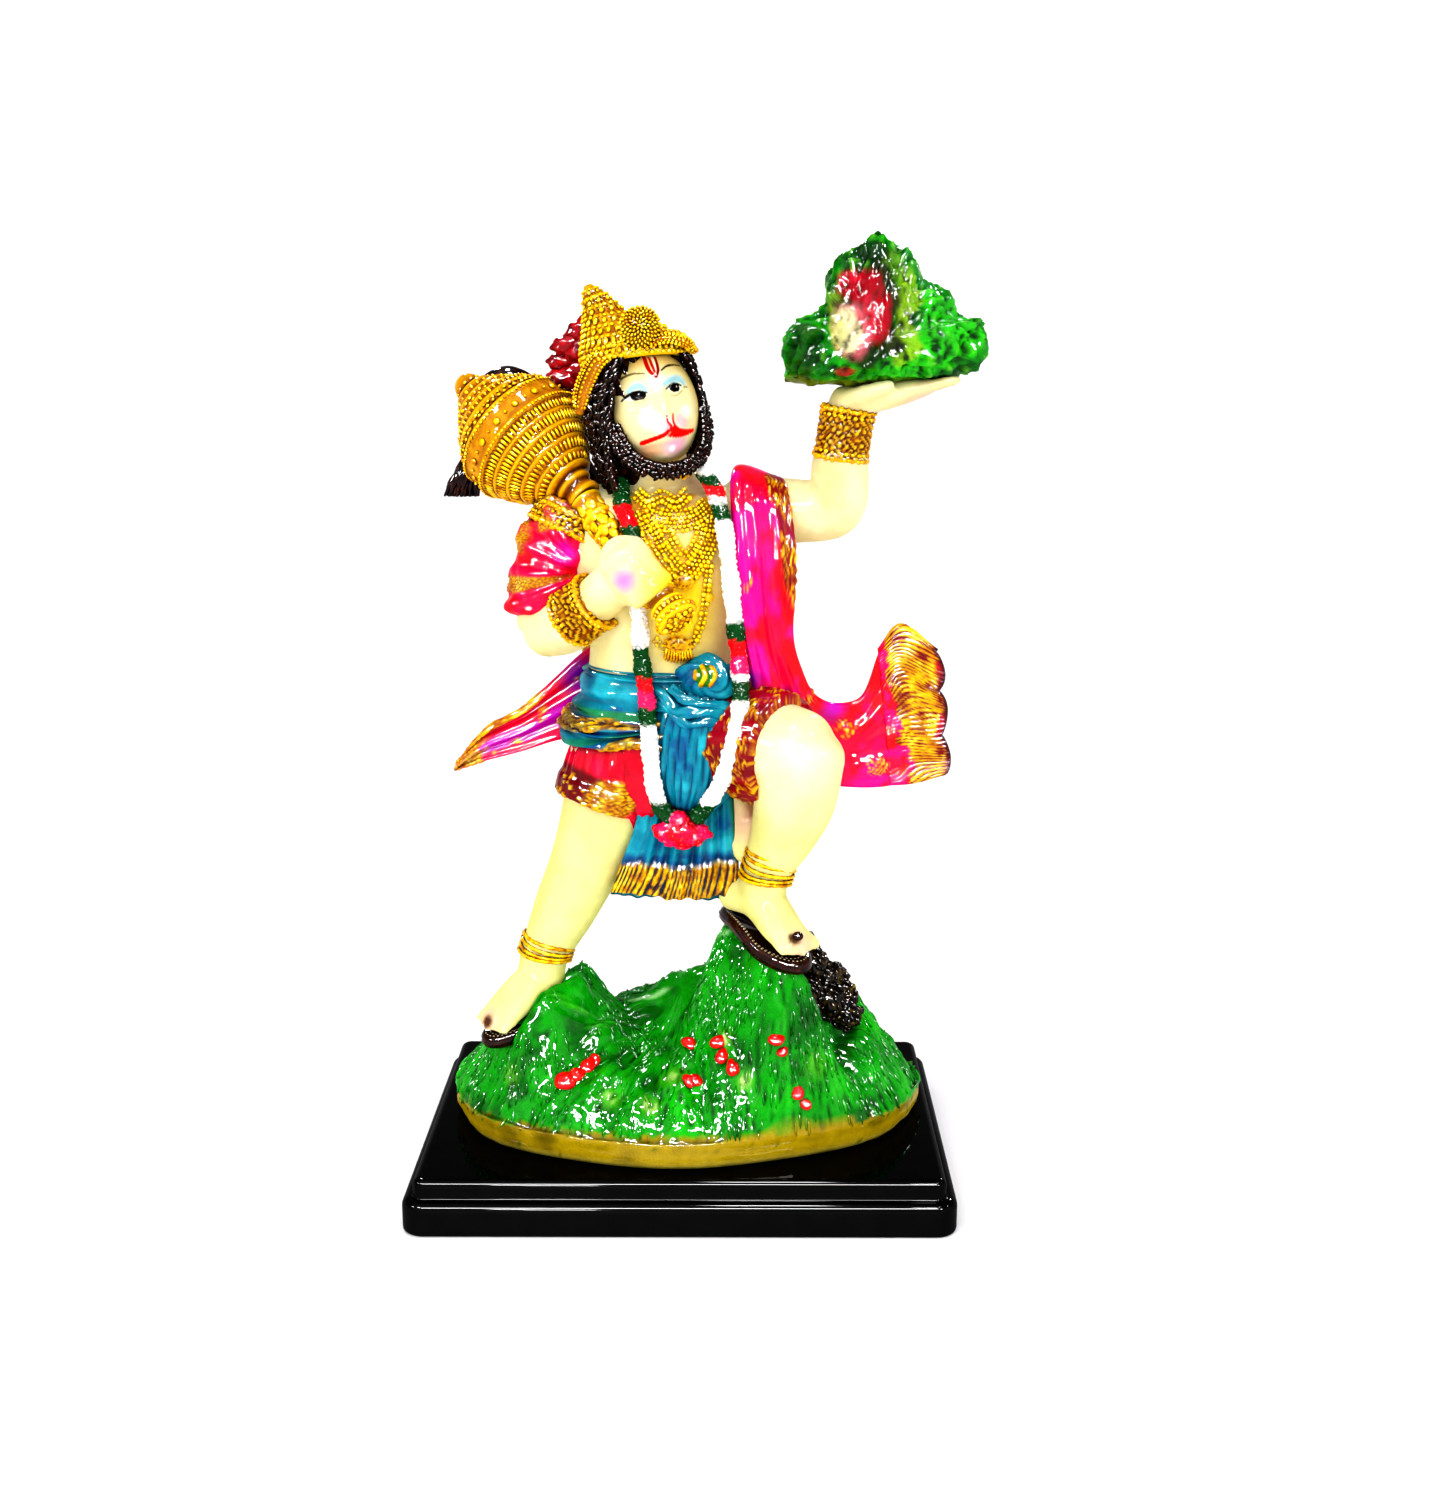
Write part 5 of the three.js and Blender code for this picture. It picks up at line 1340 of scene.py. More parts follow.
def bare_foot(stations, spread):
    """A foot with five toes, the big toe first, spread by their gaps in mm."""
    heel, tip, forward, sideways, up = foot_frame(stations)
    forms = [loft(stations, 40, 30, across=sideways, caps=5)]
    for toe in range(-2, 3):
        length = 2.9 - 0.25 * abs(toe) + 0.5 * (toe == -2)
        size = 1.25 if toe == -2 else 0.95
        root = tip + sideways * toe * spread * 0.9 - forward * (1.2 + 0.3 * abs(toe) * spread)
        end = root + forward * length + sideways * toe * 0.12 - up * 0.3
        forms.append(loft([(*root, size, size), (*(root + end) / 2 + up * 0.15, size, size),
                           (*end, size * 0.95, size * 0.8)], 16, 8, across=sideways, caps=4, reach=0.9))
    return forms


def fingers_round_shaft():
    """The four fingers that close round the mace's shaft."""
    forms = []
    for finger in range(4):
        along = -4.2 + 2.6 * finger
        x, z = FIST[0] - 0.66 * along, FIST[2] + 0.75 * along
        bones = [(x - 1.6, -16.2, z - 1.6, 1.55), (x + 0.8, -17.1, z + 0.4, 1.6),
                 (x + 3.0, -15.6, z + 2.0, 1.5), (x + 3.2, -12.0, z + 2.2, 1.4)]
        forms.append(loft(bones, 18, 14, across=(0, 1, 0), caps=4, reach=0.8))
    return forms


def open_fingers():
    """The four fingers that lie open under the hill."""
    forms = []
    for finger in range(4):
        y = -6.9 + 2.5 * finger
        far = 5.6 - 0.9 * abs(finger - 1.6)
        bones = [(42, y, 138, 1.25, 1.2), (44 + far * 0.5, y, 139, 1.15, 1.1),
                 (44 + far, y - 0.3, 139.5, 0.8, 0.8)]
        forms.append(loft(bones, 16, 12, across=(0, 1, 0), caps=4, reach=0.8))
    return forms


# %% The body in clay
limbs = [
    loft(TORSO, 72, 70, relief=chest_furrow, caps=3),
    loft([(-11, 0, 69, 10.5, 10.5), (-14.3, -1.4, 59, 8.6, 8.8), LEFT_KNEE, (-22.4, -3.2, 41, 5.9, 6.3),
          LEFT_ANKLE, (-26.8, -4.8, 28, 4.4, 4.4)], 48, 60),
    loft([(4, -1, 72.4, 10, 10.5), (12, -8, 75, 9, 9.4), RIGHT_KNEE], 56, 30, across=(0, 0, 1), reach=0.7),
    loft([RIGHT_KNEE, (20.6, -14.8, 66, 7.5, 7.6), (18.8, -13.2, 59.5, 6.2, 6.4),
          RIGHT_ANKLE, (15, -12, 46.5, 4.2, 4.4)], 48, 50, reach=0.7),
    loft([(7, -3, 70, 5.5, 4.5), (10, -6.4, 62, 4.2, 3.6), (12.4, -8.6, 54, 3, 3)], 40, 30,
         relief=rippled((0.1, 5, 0))),
    *bare_foot(LEFT_FOOT, 1.9), *bare_foot(RIGHT_FOOT, 1.9),
    loft([(11, 2.5, 115.5, 7.5, 7), (20, 1.5, 115.8, 6, 5.9), (27.4, -1, 116.4, 5.0, 5.2),
          (28.6, -2, 118.8, 4.9, 5.2), (28.6, -2.6, 124, 4.9, 5.2), (29.4, -3, 130.5, 4.3, 4.2),
          (30.5, -3, 135.5, 4, 4)], 44, 60, across=(0, 1, 0)),
    loft([(28.4, -3, 135.6, 4.2, 2.6), (33.5, -3, 136.4, 5.6, 2.9), (40, -3, 137.6, 5.4, 2.3),
          (44, -3, 138.5, 4.8, 1.6)], 44, 30, across=(0, 1, 0)),
    *open_fingers(),
    loft([(30, -6.4, 136.2, 1.9, 1.8), (33.4, -8.6, 137.6, 1.6, 1.5), (36.6, -9.4, 138.6, 1.3, 1.2)],
         20, 14, across=(0, 1, 0), reach=0.8),
    loft([(-14, 2.5, 114, 7.4, 7), (-19.6, 2, 112, 6.6, 6.6), (-23.4, 0, 103, 5.7, 5.7),
          (-25, -1.8, 95, 5.2, 5.2)], 44, 40, across=(0, 1, 0)),
    loft([(-24.8, -1.8, 94.6, 5.2, 5.2), (-20, -6, 96.4, 5.2, 5.2), (-15, -9.8, 101, 4.3, 4.3),
          (-11, -12, 105, 4.1, 4.1)], 44, 40, across=(0, 1, 0)),
    lump(FIST, (5.3, 5, 6.6), (0, -25, 0), 44),
    *fingers_round_shaft(),
]

skin_form = fused(limbs, 0.7, 4)
on_skin = skin_form["points"]
print(len(limbs), "forms melted into one skin of", len(on_skin), "points")


# %% Where the necklaces lie
def on_chest(x, z, lift=0.5):
    """A place on the front of the torso, a little above the melted skin."""
    rows = np.array(TORSO)
    cx, cy, wide, deep = (np.interp(z, rows[:, 2], rows[:, k]) for k in (0, 1, 3, 4))
    y = cy - deep * math.sqrt(max(1 - ((x - cx) / wide) ** 2, 0.02))
    near = on_skin[(np.abs(on_skin[:, 0] - x) < 0.8) & (np.abs(on_skin[:, 2] - z) < 0.8)][:, 1]
    near = near[np.abs(near - y) < 2.8]
    return (x, (near.min() if len(near) else y) - lift, z)


COLLAR = [(-7.8, 119.9), (-5.6, 118.5), (-3.1, 119.3), (-0.6, 118.3), (1.7, 120.0)]
YOKE = [(-7.4, 117.4), (-4.3, 116.0), (-0.8, 115.5), (2.7, 116.1), (5.4, 118.0)]
V_NECKLACE = [(-6.6, 116.9), (-4.6, 112.7), (-2.3, 108.9), (1.0, 105.8), (3.8, 108.6), (5.8, 112.5),
              (6.6, 116.7)]
INNER_CHAIN = [(-2.6, 115.2), (-1.0, 111.8), (1.2, 109.4), (3.0, 111.8), (4.0, 115.2)]
LONG_CHAIN = [(5.8, 107.6), (5.4, 104.6), (5.0, 101.1), (4.2, 96.6), (2.5, 93.2), (0.8, 91.8)]
LEFT_CHAIN = [(-4.6, 94.6), (-2.8, 92.6), (-0.8, 91.5), (0.8, 91.8)]


def near_line(points, line, reach):
    """A soft mask round a line of (x, z) places on the chest."""
    places = line_through([on_chest(x, z) for x, z in line], np.linspace(0, 1, 40))
    return spots_on(points, [(place, reach) for place in places], 0.4)


# %% The skin and its blushes
skin_noise = crumble(on_skin, 7.0, 111)
blush = spots_on(on_skin, [
    ((-36, -14, 23), 5.0), ((21.5, -20.5, 40), 5.5), ((-8, -16, 107), 5.0), ((43, -5, 136), 7.0),
    ((12, -9, 60), 7.0), ((-14, -6, 62), 6.0), ((4, -3, 122), 4.0)], 0.9)
green_stray = np.maximum(spot_on(on_skin, (-25, -3, 27), 7.0, 0.9),
                         0.8 * spot_on(on_skin, (31, -3, 139), 6.0, 0.9))
umber_stray = spots_on(on_skin, [((-36.4, -14.6, 23.2), 1.9), ((20.5, -21.0, 41.6), 1.5)], 0.5)
skin_ways = normals_of(on_skin, skin_form["faces"])
# Sides of the limbs and the places that face down are painted darker: painted shade.
flank_shade = smoothstep(np.abs(skin_ways[:, 0]), 0.5, 0.98)
under = smoothstep(-skin_ways[:, 2], 0.2, 0.9)
chest = np.exp(-((on_skin[:, 0] - 0.2) / 6.0) ** 2 - ((on_skin[:, 2] - 101) / 9.5) ** 2)
chest = chest * smoothstep(-on_skin[:, 1], 5.0, 8.0)
bib = np.maximum.reduce([near_line(on_skin, line, reach) for line, reach in [
    (COLLAR, 1.9), (YOKE, 2.6), (V_NECKLACE, 2.5), (INNER_CHAIN, 1.3)]])
gold_breath = spots_on(on_skin, [
    ((16.5, -12.6, 54), 6.4), ((-25, -4.4, 35.5), 6.0), ((14.5, -17.5, 70.5), 3.6),
    ((29.7, -3, 130), 7.0), ((-15, -9.8, 101), 7.5), ((-3, -8, 118), 9.0)], 0.9)
# A paler patch on top of the raised knee: a painted highlight.
knee_highlight = smoothstep(on_skin[:, 2], 64, 76) * spot_on(on_skin, (22, -22, 75), 9, 0.9)
legs = 1 - smoothstep(on_skin[:, 2], 58, 72)
skin_form["marks"]["paint"] = painted_over(
    "#EDE2AE",
    (0.5 * smoothstep(skin_noise, 0.1, 1.0), "#F4EFCC"),
    (0.4 * smoothstep(-skin_noise, 0.2, 1.0), "#DCCF84"), (0.75 * legs, "#EAE694"),
    (0.15 * flank_shade, "#DCCC74"), (0.3 * under, "#CCB060"), (0.4 * legs * flank_shade, "#C4C058"),
    (0.75 * blush, "#EBBCA8"), (0.5 * knee_highlight, "#F6F0D2"),
    (0.95 * spot_on(on_skin, (-9.2, -18.0, 105.8), 3.4, 0.9), "#D08CD8"),
    (0.75 * green_stray, "#A9C83C"),
    (np.clip(1.3 * chest, 0, 0.95), "#FFDC1A"), (0.5 * gold_breath, "#F0CC3C"),
    (0.9 * bib, "#D8980A"), (0.9 * bib * smoothstep(crumble(on_skin, 1.6, 121), 0.0, 0.5), "#FFD410"),
    (0.95 * umber_stray, "#4A2008"),
)
piece("skin", [skin_form], "skin", hollow=(1.4, 0.45))

# %% [markdown]
# ## The face
# The face is the monkey muzzle that every figure of Hanuman has, so it is modelled from the
# traditional type: two round puffs, a short nose, level brows. The head is a round grid, fine
# in front and coarse under the hair, pushed out and in by soft humps. Its make-up was painted
# with a brush of one or two hairs, so strokes are colour on the fine grid and not relief.

# %% The head's own frame
HEAD_PLACE = np.array([-5.3, -0.8, 134.4])
HEAD_TURN = turned_by((0, -10.5, 0)) @ turned_by((0, 0, 20))
HEAD_HALF = (8.4, 9.8, 10.8)


def in_head(points):
    """Places in the head's own frame, where -Y is the way it faces, as figure places."""
    return np.asarray(points, float) @ HEAD_TURN.T + HEAD_PLACE


def hump(x, z, cx, cz, wide, high):
    """A soft hump, 1 at its middle."""
    return np.exp(-(((x - cx) / wide) ** 2) - ((z - cz) / high) ** 2)


def dome(x, z, cx, cz, wide, high):
    """Half a ball, 1 at its middle and 0 past its rim."""
    return np.sqrt(np.maximum(0, 1 - ((x - cx) / wide) ** 2 - ((z - cz) / high) ** 2))


# Each hump: its height, then the middle across and up, and half its width and height. They
# are the muzzle, chin, bridge, tip of the nose and the groove under it.
MIDDLE_HUMPS = [(2.9, 0, -4.8, 4.6, 3.2), (1.7, 0, -9.0, 2.8, 1.5), (0.9, 0, 0.4, 1.2, 2.8),
                (0.8, 0, -2.0, 1.6, 1.0), (-0.45, 0, -3.6, 0.4, 1.8)]
# These stand on each side: puff, fold under it, brow, eye socket and cheek.
SIDE_HUMPS = [(1.0, 2.5, -3.4, 2.1, 1.8), (-0.5, 2.4, -6.3, 2.6, 0.6), (0.6, 3.4, 5.2, 2.8, 1.0),
              (-1.3, 3.4, 2.9, 2.3, 1.5), (0.5, 5.2, -0.6, 2.2, 2.0)]
EYEBALL = (3.4, 2.9, 2.0, 1.15)


def face_relief(x, z):
    """How far the face stands out from a plain oval, in mm."""
    x = x + 0.75 - 0.06 * z
    out = sum(height * hump(x, z, *shape) for height, *shape in MIDDLE_HUMPS)
    for side in (-1, 1):
        out += sum(height * hump(side * x, z, *shape) for height, *shape in SIDE_HUMPS)
        out += 0.75 * dome(side * x, z, *EYEBALL)
    return out


# %% The head's grid
front_turns = np.radians(np.linspace(-70, 70, 201))
back_turns = np.radians(np.linspace(72, 288, 46)[1:-1])
head_turns = np.concatenate([front_turns, back_turns])[None]
head_tilts = np.radians(np.linspace(-78, 80, 160))[:, None]
head_x = HEAD_HALF[0] * np.cos(head_tilts) * np.sin(head_turns)
head_y = -HEAD_HALF[1] * np.cos(head_tilts) * np.cos(head_turns)
head_z = HEAD_HALF[2] * np.sin(head_tilts) + 0 * head_turns
head_y = head_y - face_relief(head_x, head_z) * np.clip((-head_y - 1) / 3, 0, 1)
head_form = skin_over(np.stack([head_x, head_y, head_z], -1))
on_face = head_form["points"].copy()
head_form["points"] = in_head(on_face)
print("head:", len(on_face), "points")

# %% [markdown]
# ## Painting the face
# A stroke is a line with a width, and a filled shape is an outline. Both are given in the
# head's frame as it is seen from in front, and the paint goes on in the order of the real
# painting: blush, eyelids, eye white, iris, lashes, brows, the red mark and the lips. With them
# go painted shade towards the rim of the face, painted highlights on the puffs and the chin,
# and a white dot of painted highlight in each eye.

# %% Brush strokes on the face
face_x, face_z = on_face[:, 0], on_face[:, 2]
is_front = on_face[:, 1] < 0


def stroke(line, width, soft=0.10):
    """A brush stroke along [x, z] points, with a width in mm or one width a point."""
    shares = np.linspace(0, 1, 40)
    path = line_through([(x, z, 0) for x, z in line], shares)[:, :2]
    widths = np.interp(shares, np.linspace(0, 1, np.size(width)), np.atleast_1d(width))
    mask = np.zeros(len(on_face))
    for (x, z), wide in zip(path, widths):
        away = np.hypot(face_x - x, face_z - z)
        mask = np.maximum(mask, 1 - smoothstep(away, wide / 2 - soft / 2, wide / 2 + soft))
    return mask * is_front


def filled(outline):
    """The inside of a closed outline of [x, z] points."""
    inside = np.zeros(len(on_face), bool)
    for (ax, az), (bx, bz) in zip(outline, outline[1:] + outline[:1]):
        crosses = (az > face_z) != (bz > face_z)
        at = ax + (face_z - az) / (bz - az if bz != az else 1e-9) * (bx - ax)
        inside ^= crosses & (face_x < at)
    return inside * 1.0 * is_front


def glow_at(x, z, wide, high=None):
    """A soft breath of colour, used for blushes and for painted highlights."""
    away = np.hypot((face_x - x) / wide, (face_z - z) / (high or wide))
    return (1 - smoothstep(away, 0.2, 1.0)) * is_front


# %% Eyes, brows and lips
INK, EYE_WHITE, BRUSH_RED, EYELID_BLUE = "#0A0604", "#FDFDF6", "#F8120C", "#93CFE2"
LEFT_EYE = [(-6.5, 2.38), (-5.9, 2.9), (-5.24, 3.29), (-4.5, 3.46), (-3.84, 3.44), (-3.2, 3.3),
            (-2.65, 3.06), (-2.9, 2.5), (-3.42, 2.05), (-4.1, 1.95), (-4.9, 2.1), (-5.8, 2.35)]
RIGHT_EYE = [(0.91, 3.12), (1.3, 3.4), (1.8, 3.54), (2.4, 3.6), (3.0, 3.51), (3.77, 3.06),
             (3.6, 2.5), (3.21, 2.22), (2.6, 2.1), (2.0, 2.25), (1.4, 2.7)]
LIPS = [(-0.65, -4.04), (-0.3, -3.5), (0.0, -3.25), (0.3, -3.5), (0.68, -3.89), (1.5, -4.2),
        (2.38, -4.41), (3.6, -4.6), (4.75, -4.8), (4.75, -5.05), (3.38, -5.3), (1.45, -5.36),
        (-0.11, -5.15), (-1.23, -4.66)]
# Each soft breath of colour: strength, place across and up, reach and colour. Two numbers
# for a reach are its width and its height. The pinks and the peach are blush; the two pale
# breaths on the puffs and the white one on the chin are painted highlights.
BLUSHES_AND_HIGHLIGHTS = [
    (0.85, -1.8, -3.0, 2.6, "#FFBCCC"), (0.8, 1.6, -2.7, 2.2, "#FFBCCC"),
    (0.85, 0.4, -6.8, 4.2, 2.6, "#F8B4D0"), (0.75, -3.7, -6.9, 3.0, 2.0, "#F8B488"),
    (0.9, -3.4, -1.5, 2.4, "#F8F4E4"), (0.9, 3.4, -1.4, 1.8, "#F8F4E4"),
    (0.85, -0.2, -7.2, 0.9, "#FFFFFF"), (0.8, -0.7, 5.0, 2.6, 3.0, "#F8F2D8"),
]
# The face is painted darker towards its rim, where it turns away: painted shade.
face_edge_shade = smoothstep(np.hypot((face_x + 0.6) / 7.6, (face_z + 0.6) / 9.8), 0.72, 1.05)
face_paint = painted_over(
    "#ECE0AE",
    (0.85 * face_edge_shade, "#D0BA6C"),
    *((strength * glow_at(*shape), code) for strength, *shape, code in BLUSHES_AND_HIGHLIGHTS),
    (0.8 * stroke([(-5.3, 3.7), (-4.6, 4.25), (-3.9, 4.4), (-3.2, 4.1), (-2.7, 3.5)],
                  (0.5, 1.1, 0.6), 0.5), EYELID_BLUE),
    (0.8 * stroke([(0.6, 3.9), (1.5, 4.3), (2.9, 4.4), (4.2, 4.0), (4.8, 3.3)],
                  (0.6, 1.2, 0.6), 0.5), EYELID_BLUE),
    (filled(LEFT_EYE), EYE_WHITE), (filled(RIGHT_EYE), EYE_WHITE),
    (filled(LEFT_EYE) * stroke([(-4.5, 2.8), (-3.6, 2.82)], 1.5), INK),
    (filled(RIGHT_EYE) * stroke([(2.1, 2.95), (2.8, 2.92)], 1.4), INK),
    # A white dot in each pupil: a painted highlight.
    (0.9 * stroke([(-3.95, 3.02), (-3.9, 3.0)], 0.16, 0.08), "#F4F4F4"),
    (0.9 * stroke([(2.9, 3.12), (2.95, 3.1)], 0.15, 0.08), "#F4F4F4"),
    (stroke([(-6.55, 2.36), (-5.8, 2.92), (-5.0, 3.32), (-3.84, 3.46), (-2.6, 3.06)],
            (0.2, 0.46, 0.46, 0.2)), INK),
    (stroke([(0.75, 3.02), (1.8, 3.52), (3.0, 3.54), (3.9, 3.08)], (0.2, 0.4, 0.26)), INK),
    (0.8 * stroke([(4.45, 2.72), (5.25, 2.58)], 0.16), "#2A2210"),
    (0.55 * stroke([(-4.8, 1.75), (-3.9, 1.6), (-3.0, 1.9)], 0.16), "#8C8430"),
    (0.6 * stroke([(1.4, 1.75), (2.6, 1.65), (3.8, 2.2)], 0.18), "#8C8430"),
    (0.9 * stroke([(-6.45, 5.25), (-5.58, 6.14), (-3.97, 6.57), (-2.2, 6.3)], (0.14, 0.3, 0.16)), "#3A3208"),
    (stroke([(0.82, 6.3), (2.07, 6.78), (3.31, 6.81), (5.14, 6.41)], (0.2, 0.32, 0.16)), "#1A1404"),
    (stroke([(0.3, 8.6), (0.1, 7.4), (-0.05, 6.5)], 0.4), "#FFF8EC"),
    (stroke([(-1.03, 8.9), (-1.23, 7.7), (-1.16, 6.44), (-0.61, 5.51)], (0.6, 0.7, 0.5)), "#BE0E12"),
    (stroke([(-0.3, 8.7), (-0.38, 7.5), (-0.42, 6.3)], (0.3, 0.5, 0.4)), "#C8141A"),
    (stroke([(0.75, 8.6), (0.55, 7.36), (0.26, 6.41), (-0.49, 5.43)], (0.4, 0.5, 0.4)), "#960A10"),
    (stroke([(-0.84, -1.22), (-1.1, -2.22), (-0.6, -3.2), (-0.8, -3.85)], (0.2, 0.34, 0.4)), "#E81822"),
    (stroke([(0.48, -1.22), (-0.1, -2.28), (0.09, -3.4)], (0.2, 0.34, 0.4)), "#E81822"),
    (stroke([(-4.9, -5.28), (-3.66, -4.87), (-2.01, -4.41), (-1.2, -3.9)], (0.85, 0.75, 0.6)), BRUSH_RED),
    (filled(LIPS), BRUSH_RED), (stroke(LIPS + LIPS[:1], 0.34), BRUSH_RED),
    (0.7 * stroke([(-1.5, -4.9), (-0.85, -4.2)], 0.14), "#FFA890"),
    (0.5 * stroke([(-5.07, 0.08), (-5.0, 0.05)], 0.26), "#B8A070"),
)
head_form["marks"] = {"paint": face_paint}
piece("face", [head_form], "face")

# %% [markdown]
# ## Hair and beard
# Curls were cut into the master with a loop tool. Under the curls lies one solid mass, and
# over it go twisted strands. Geometry Nodes sweep a small star along each line of points and
# turn it on the way, so that its points become the grooves between hairs. The same tree makes
# the curls of the beard, which stand out all along the jaw, and the threads of the tassels.

# %% The twisted strand tree
strand_tree, given = new_tree("twisted_strands", [
    ("Steps", "NodeSocketInt"), ("Lobes", "NodeSocketInt"), ("Groove", "NodeSocketFloat"),
    ("Twist", "NodeSocketFloat"), ("Paint", "NodeSocketMaterial"),
])
strand_line = node(strand_tree, "GeometryNodeMeshToCurve", {"Mesh": given["Geometry"]}).outputs[0]
strand_bent = node(strand_tree, "GeometryNodeCurveSplineType", {"Curve": strand_line},
                   spline_type="CATMULL_ROM").outputs[0]
strand_even = node(strand_tree, "GeometryNodeResampleCurve", {
    "Curve": strand_bent, "Count": given["Steps"]}).outputs[0]
strand_along = node(strand_tree, "GeometryNodeSplineParameter").outputs["Factor"]
strand_tilt = node(strand_tree, "ShaderNodeMath", {0: strand_along, 1: given["Twist"]},
                   operation="MULTIPLY").outputs[0]
strand_twisted = node(strand_tree, "GeometryNodeSetCurveTilt", {
    "Curve": strand_even, "Tilt": strand_tilt}).outputs[0]
strand_star = node(strand_tree, "GeometryNodeCurveStar", {
    "Points": given["Lobes"], "Inner Radius": given["Groove"], "Outer Radius": 1.0,
}).outputs[0]
strand_thick = node(strand_tree, "GeometryNodeInputNamedAttribute", {"Name": "thickness"},
                    data_type="FLOAT").outputs["Attribute"]
strand_skin = node(strand_tree, "GeometryNodeCurveToMesh", {
    "Curve": strand_twisted, "Profile Curve": strand_star, "Scale": strand_thick, "Fill Caps": True,
}).outputs[0]
close_tree(strand_tree, strand_skin, given["Paint"])


def strands(name, lines, paint, steps=14, lobes=3, groove=0.72, twist=7.0):
    """Twisted strands. A line is (points, half-thickness in mm at each point)."""
    points, thick, edges = [], [], []
    for line, width in lines:
        start = len(points)
        points += list(line)
        thick += list(np.broadcast_to(width, len(line)))
        edges += [(start + k, start + k + 1) for k in range(len(line) - 1)]
    mesh = bpy.data.meshes.new(name)
    mesh.from_pydata(metres(points).tolist(), edges, [])
    store(mesh, "thickness", np.array(thick) * MM)
    return placed(grown(name, strand_tree, mesh, {
        "Steps": steps, "Lobes": lobes, "Groove": groove, "Twist": twist, "Paint": PAINTS[paint],
    }))


# %% The mass of hair and its locks
hair_mass = [
    (*in_head((-2.0, 4, -17)), 6, 4), (*in_head((-1.8, 3.8, -12)), 7.8, 6.2),
    (*in_head((-1.4, 2.8, -5)), 8.6, 8.1), (*in_head((-1.0, 2, 3)), 8.9, 8.9),
    (*in_head((-0.8, 2.3, 8)), 8.0, 7.6),
]


def hair_waves(turn, along):
    """Broad waves round the mass of hair, with finer ones over them."""
    broad = 0.035 * np.cos(19 * turn + 3.5 * np.sin(7 * along))
    return 1 + broad + 0.015 * np.cos(47 * turn + 20 * along)


hair_heart = loft(hair_mass, 84, 70, relief=hair_waves)
JAW_LINE = [(-8.7, -2.4, -1.5), (-8.2, -3.8, -4.6), (-6.6, -5.4, -8.2), (-3, -7.6, -10.6),
            (2, -7.9, -10.8), (6.2, -5.6, -8.6), (8.0, -3.6, -5.0), (8.5, -2.4, -1.6)]
jaw_heart = loft([(*in_head(q), 0.9, 1.1) for q in JAW_LINE], 22, 70, across=(0, 0, 1),
                 relief=rippled((0.1, 3, 60)))
piece("hair_mass", [hair_heart, jaw_heart], "hair", hollow=(0.8, 0.2))

# %% Locks of hair
LOCKS_AROUND = 40
luck = np.random.default_rng(7)
hair_lines = []
for rank, top in enumerate(np.arange(9.4, -15.0, -1.5)):
    radius = np.interp(top, [-18, -12, -5, 3, 9.5], [6.2, 7.9, 8.9, 9.3, 8.0])
    for k in range(LOCKS_AROUND):
        place_round = (k + 0.5 * (rank % 2) + luck.uniform(-0.25, 0.25)) / LOCKS_AROUND
        swing = math.radians(-34 + 248 * place_round)
        if top < -9 and math.cos(swing) > 0.35 or top > 7 and math.sin(swing) < -0.3:
            continue
        curl, length = luck.uniform(0.3, 1.0), luck.uniform(1.9, 3.2)
        shares = np.linspace(0, 1, 5)
        turn = swing + curl * 0.12 * np.sin(4.5 * shares + luck.uniform(0, 6))
        reach = radius + 0.2 + 0.7 * np.sin(np.pi * shares) + luck.uniform(-0.2, 0.25)
        heights = top - length * shares
        lean = np.interp(heights, [-18, 0, 8], [3.9, 2.2, 1.0])
        line = np.stack([-1.1 + reach * np.cos(turn), lean + 0.9 * reach * np.sin(turn), heights], -1)
        hair_lines.append((in_head(line), (0.25, 0.5, 0.56, 0.42, 0.15)))

# Curls along the hairline, from the crown's brim down each side of the face.
HAIRLINES = [
    [(-4.8, -5.4, 10.4), (-5.9, -5.8, 8.6), (-7.2, -5.5, 6.4), (-8.2, -4.6, 3.0), (-8.8, -4.2, -2),
     (-8.5, -4.4, -6)],
    [(-5.8, -4.6, 9.6), (-8.0, -4.2, 6.2), (-9.2, -3.4, 1.5), (-9.8, -3.0, -4), (-9.7, -3.0, -10),
     (-9.0, -2, -16)],
    [(4.2, -5.2, 10.8), (5.4, -5.3, 9.2), (6.7, -5.1, 7.2), (7.6, -4.4, 4.2), (8.1, -3.9, 0),
     (7.9, -4.0, -5)],
    [(4.6, -4.2, 10.8), (5.9, -4.1, 9.2), (7.2, -3.6, 6.4), (8.2, -2.8, 2.0), (8.3, -2.6, -3),
     (8.0, -2.4, -9)],
]
for hairline in HAIRLINES:
    for place, way in zip(*along_line(hairline, 0.62)):
        out = unit(place * (1, 0.8, 0) + np.array([0, -3.0, 0]))
        wide = np.cross(way, out) * luck.uniform(-1.0, 1.0)
        curl = [place - 0.5 * out, place + 0.6 * out + 0.5 * wide, place + 0.7 * out + 1.0 * way + wide,
                place + 0.1 * out + 1.8 * way + 0.5 * wide]
        hair_lines.append((in_head(curl), (0.28, 0.48, 0.45, 0.15)))
strands("hair_locks", hair_lines, "hair", steps=7, lobes=3, groove=0.7, twist=5.0)

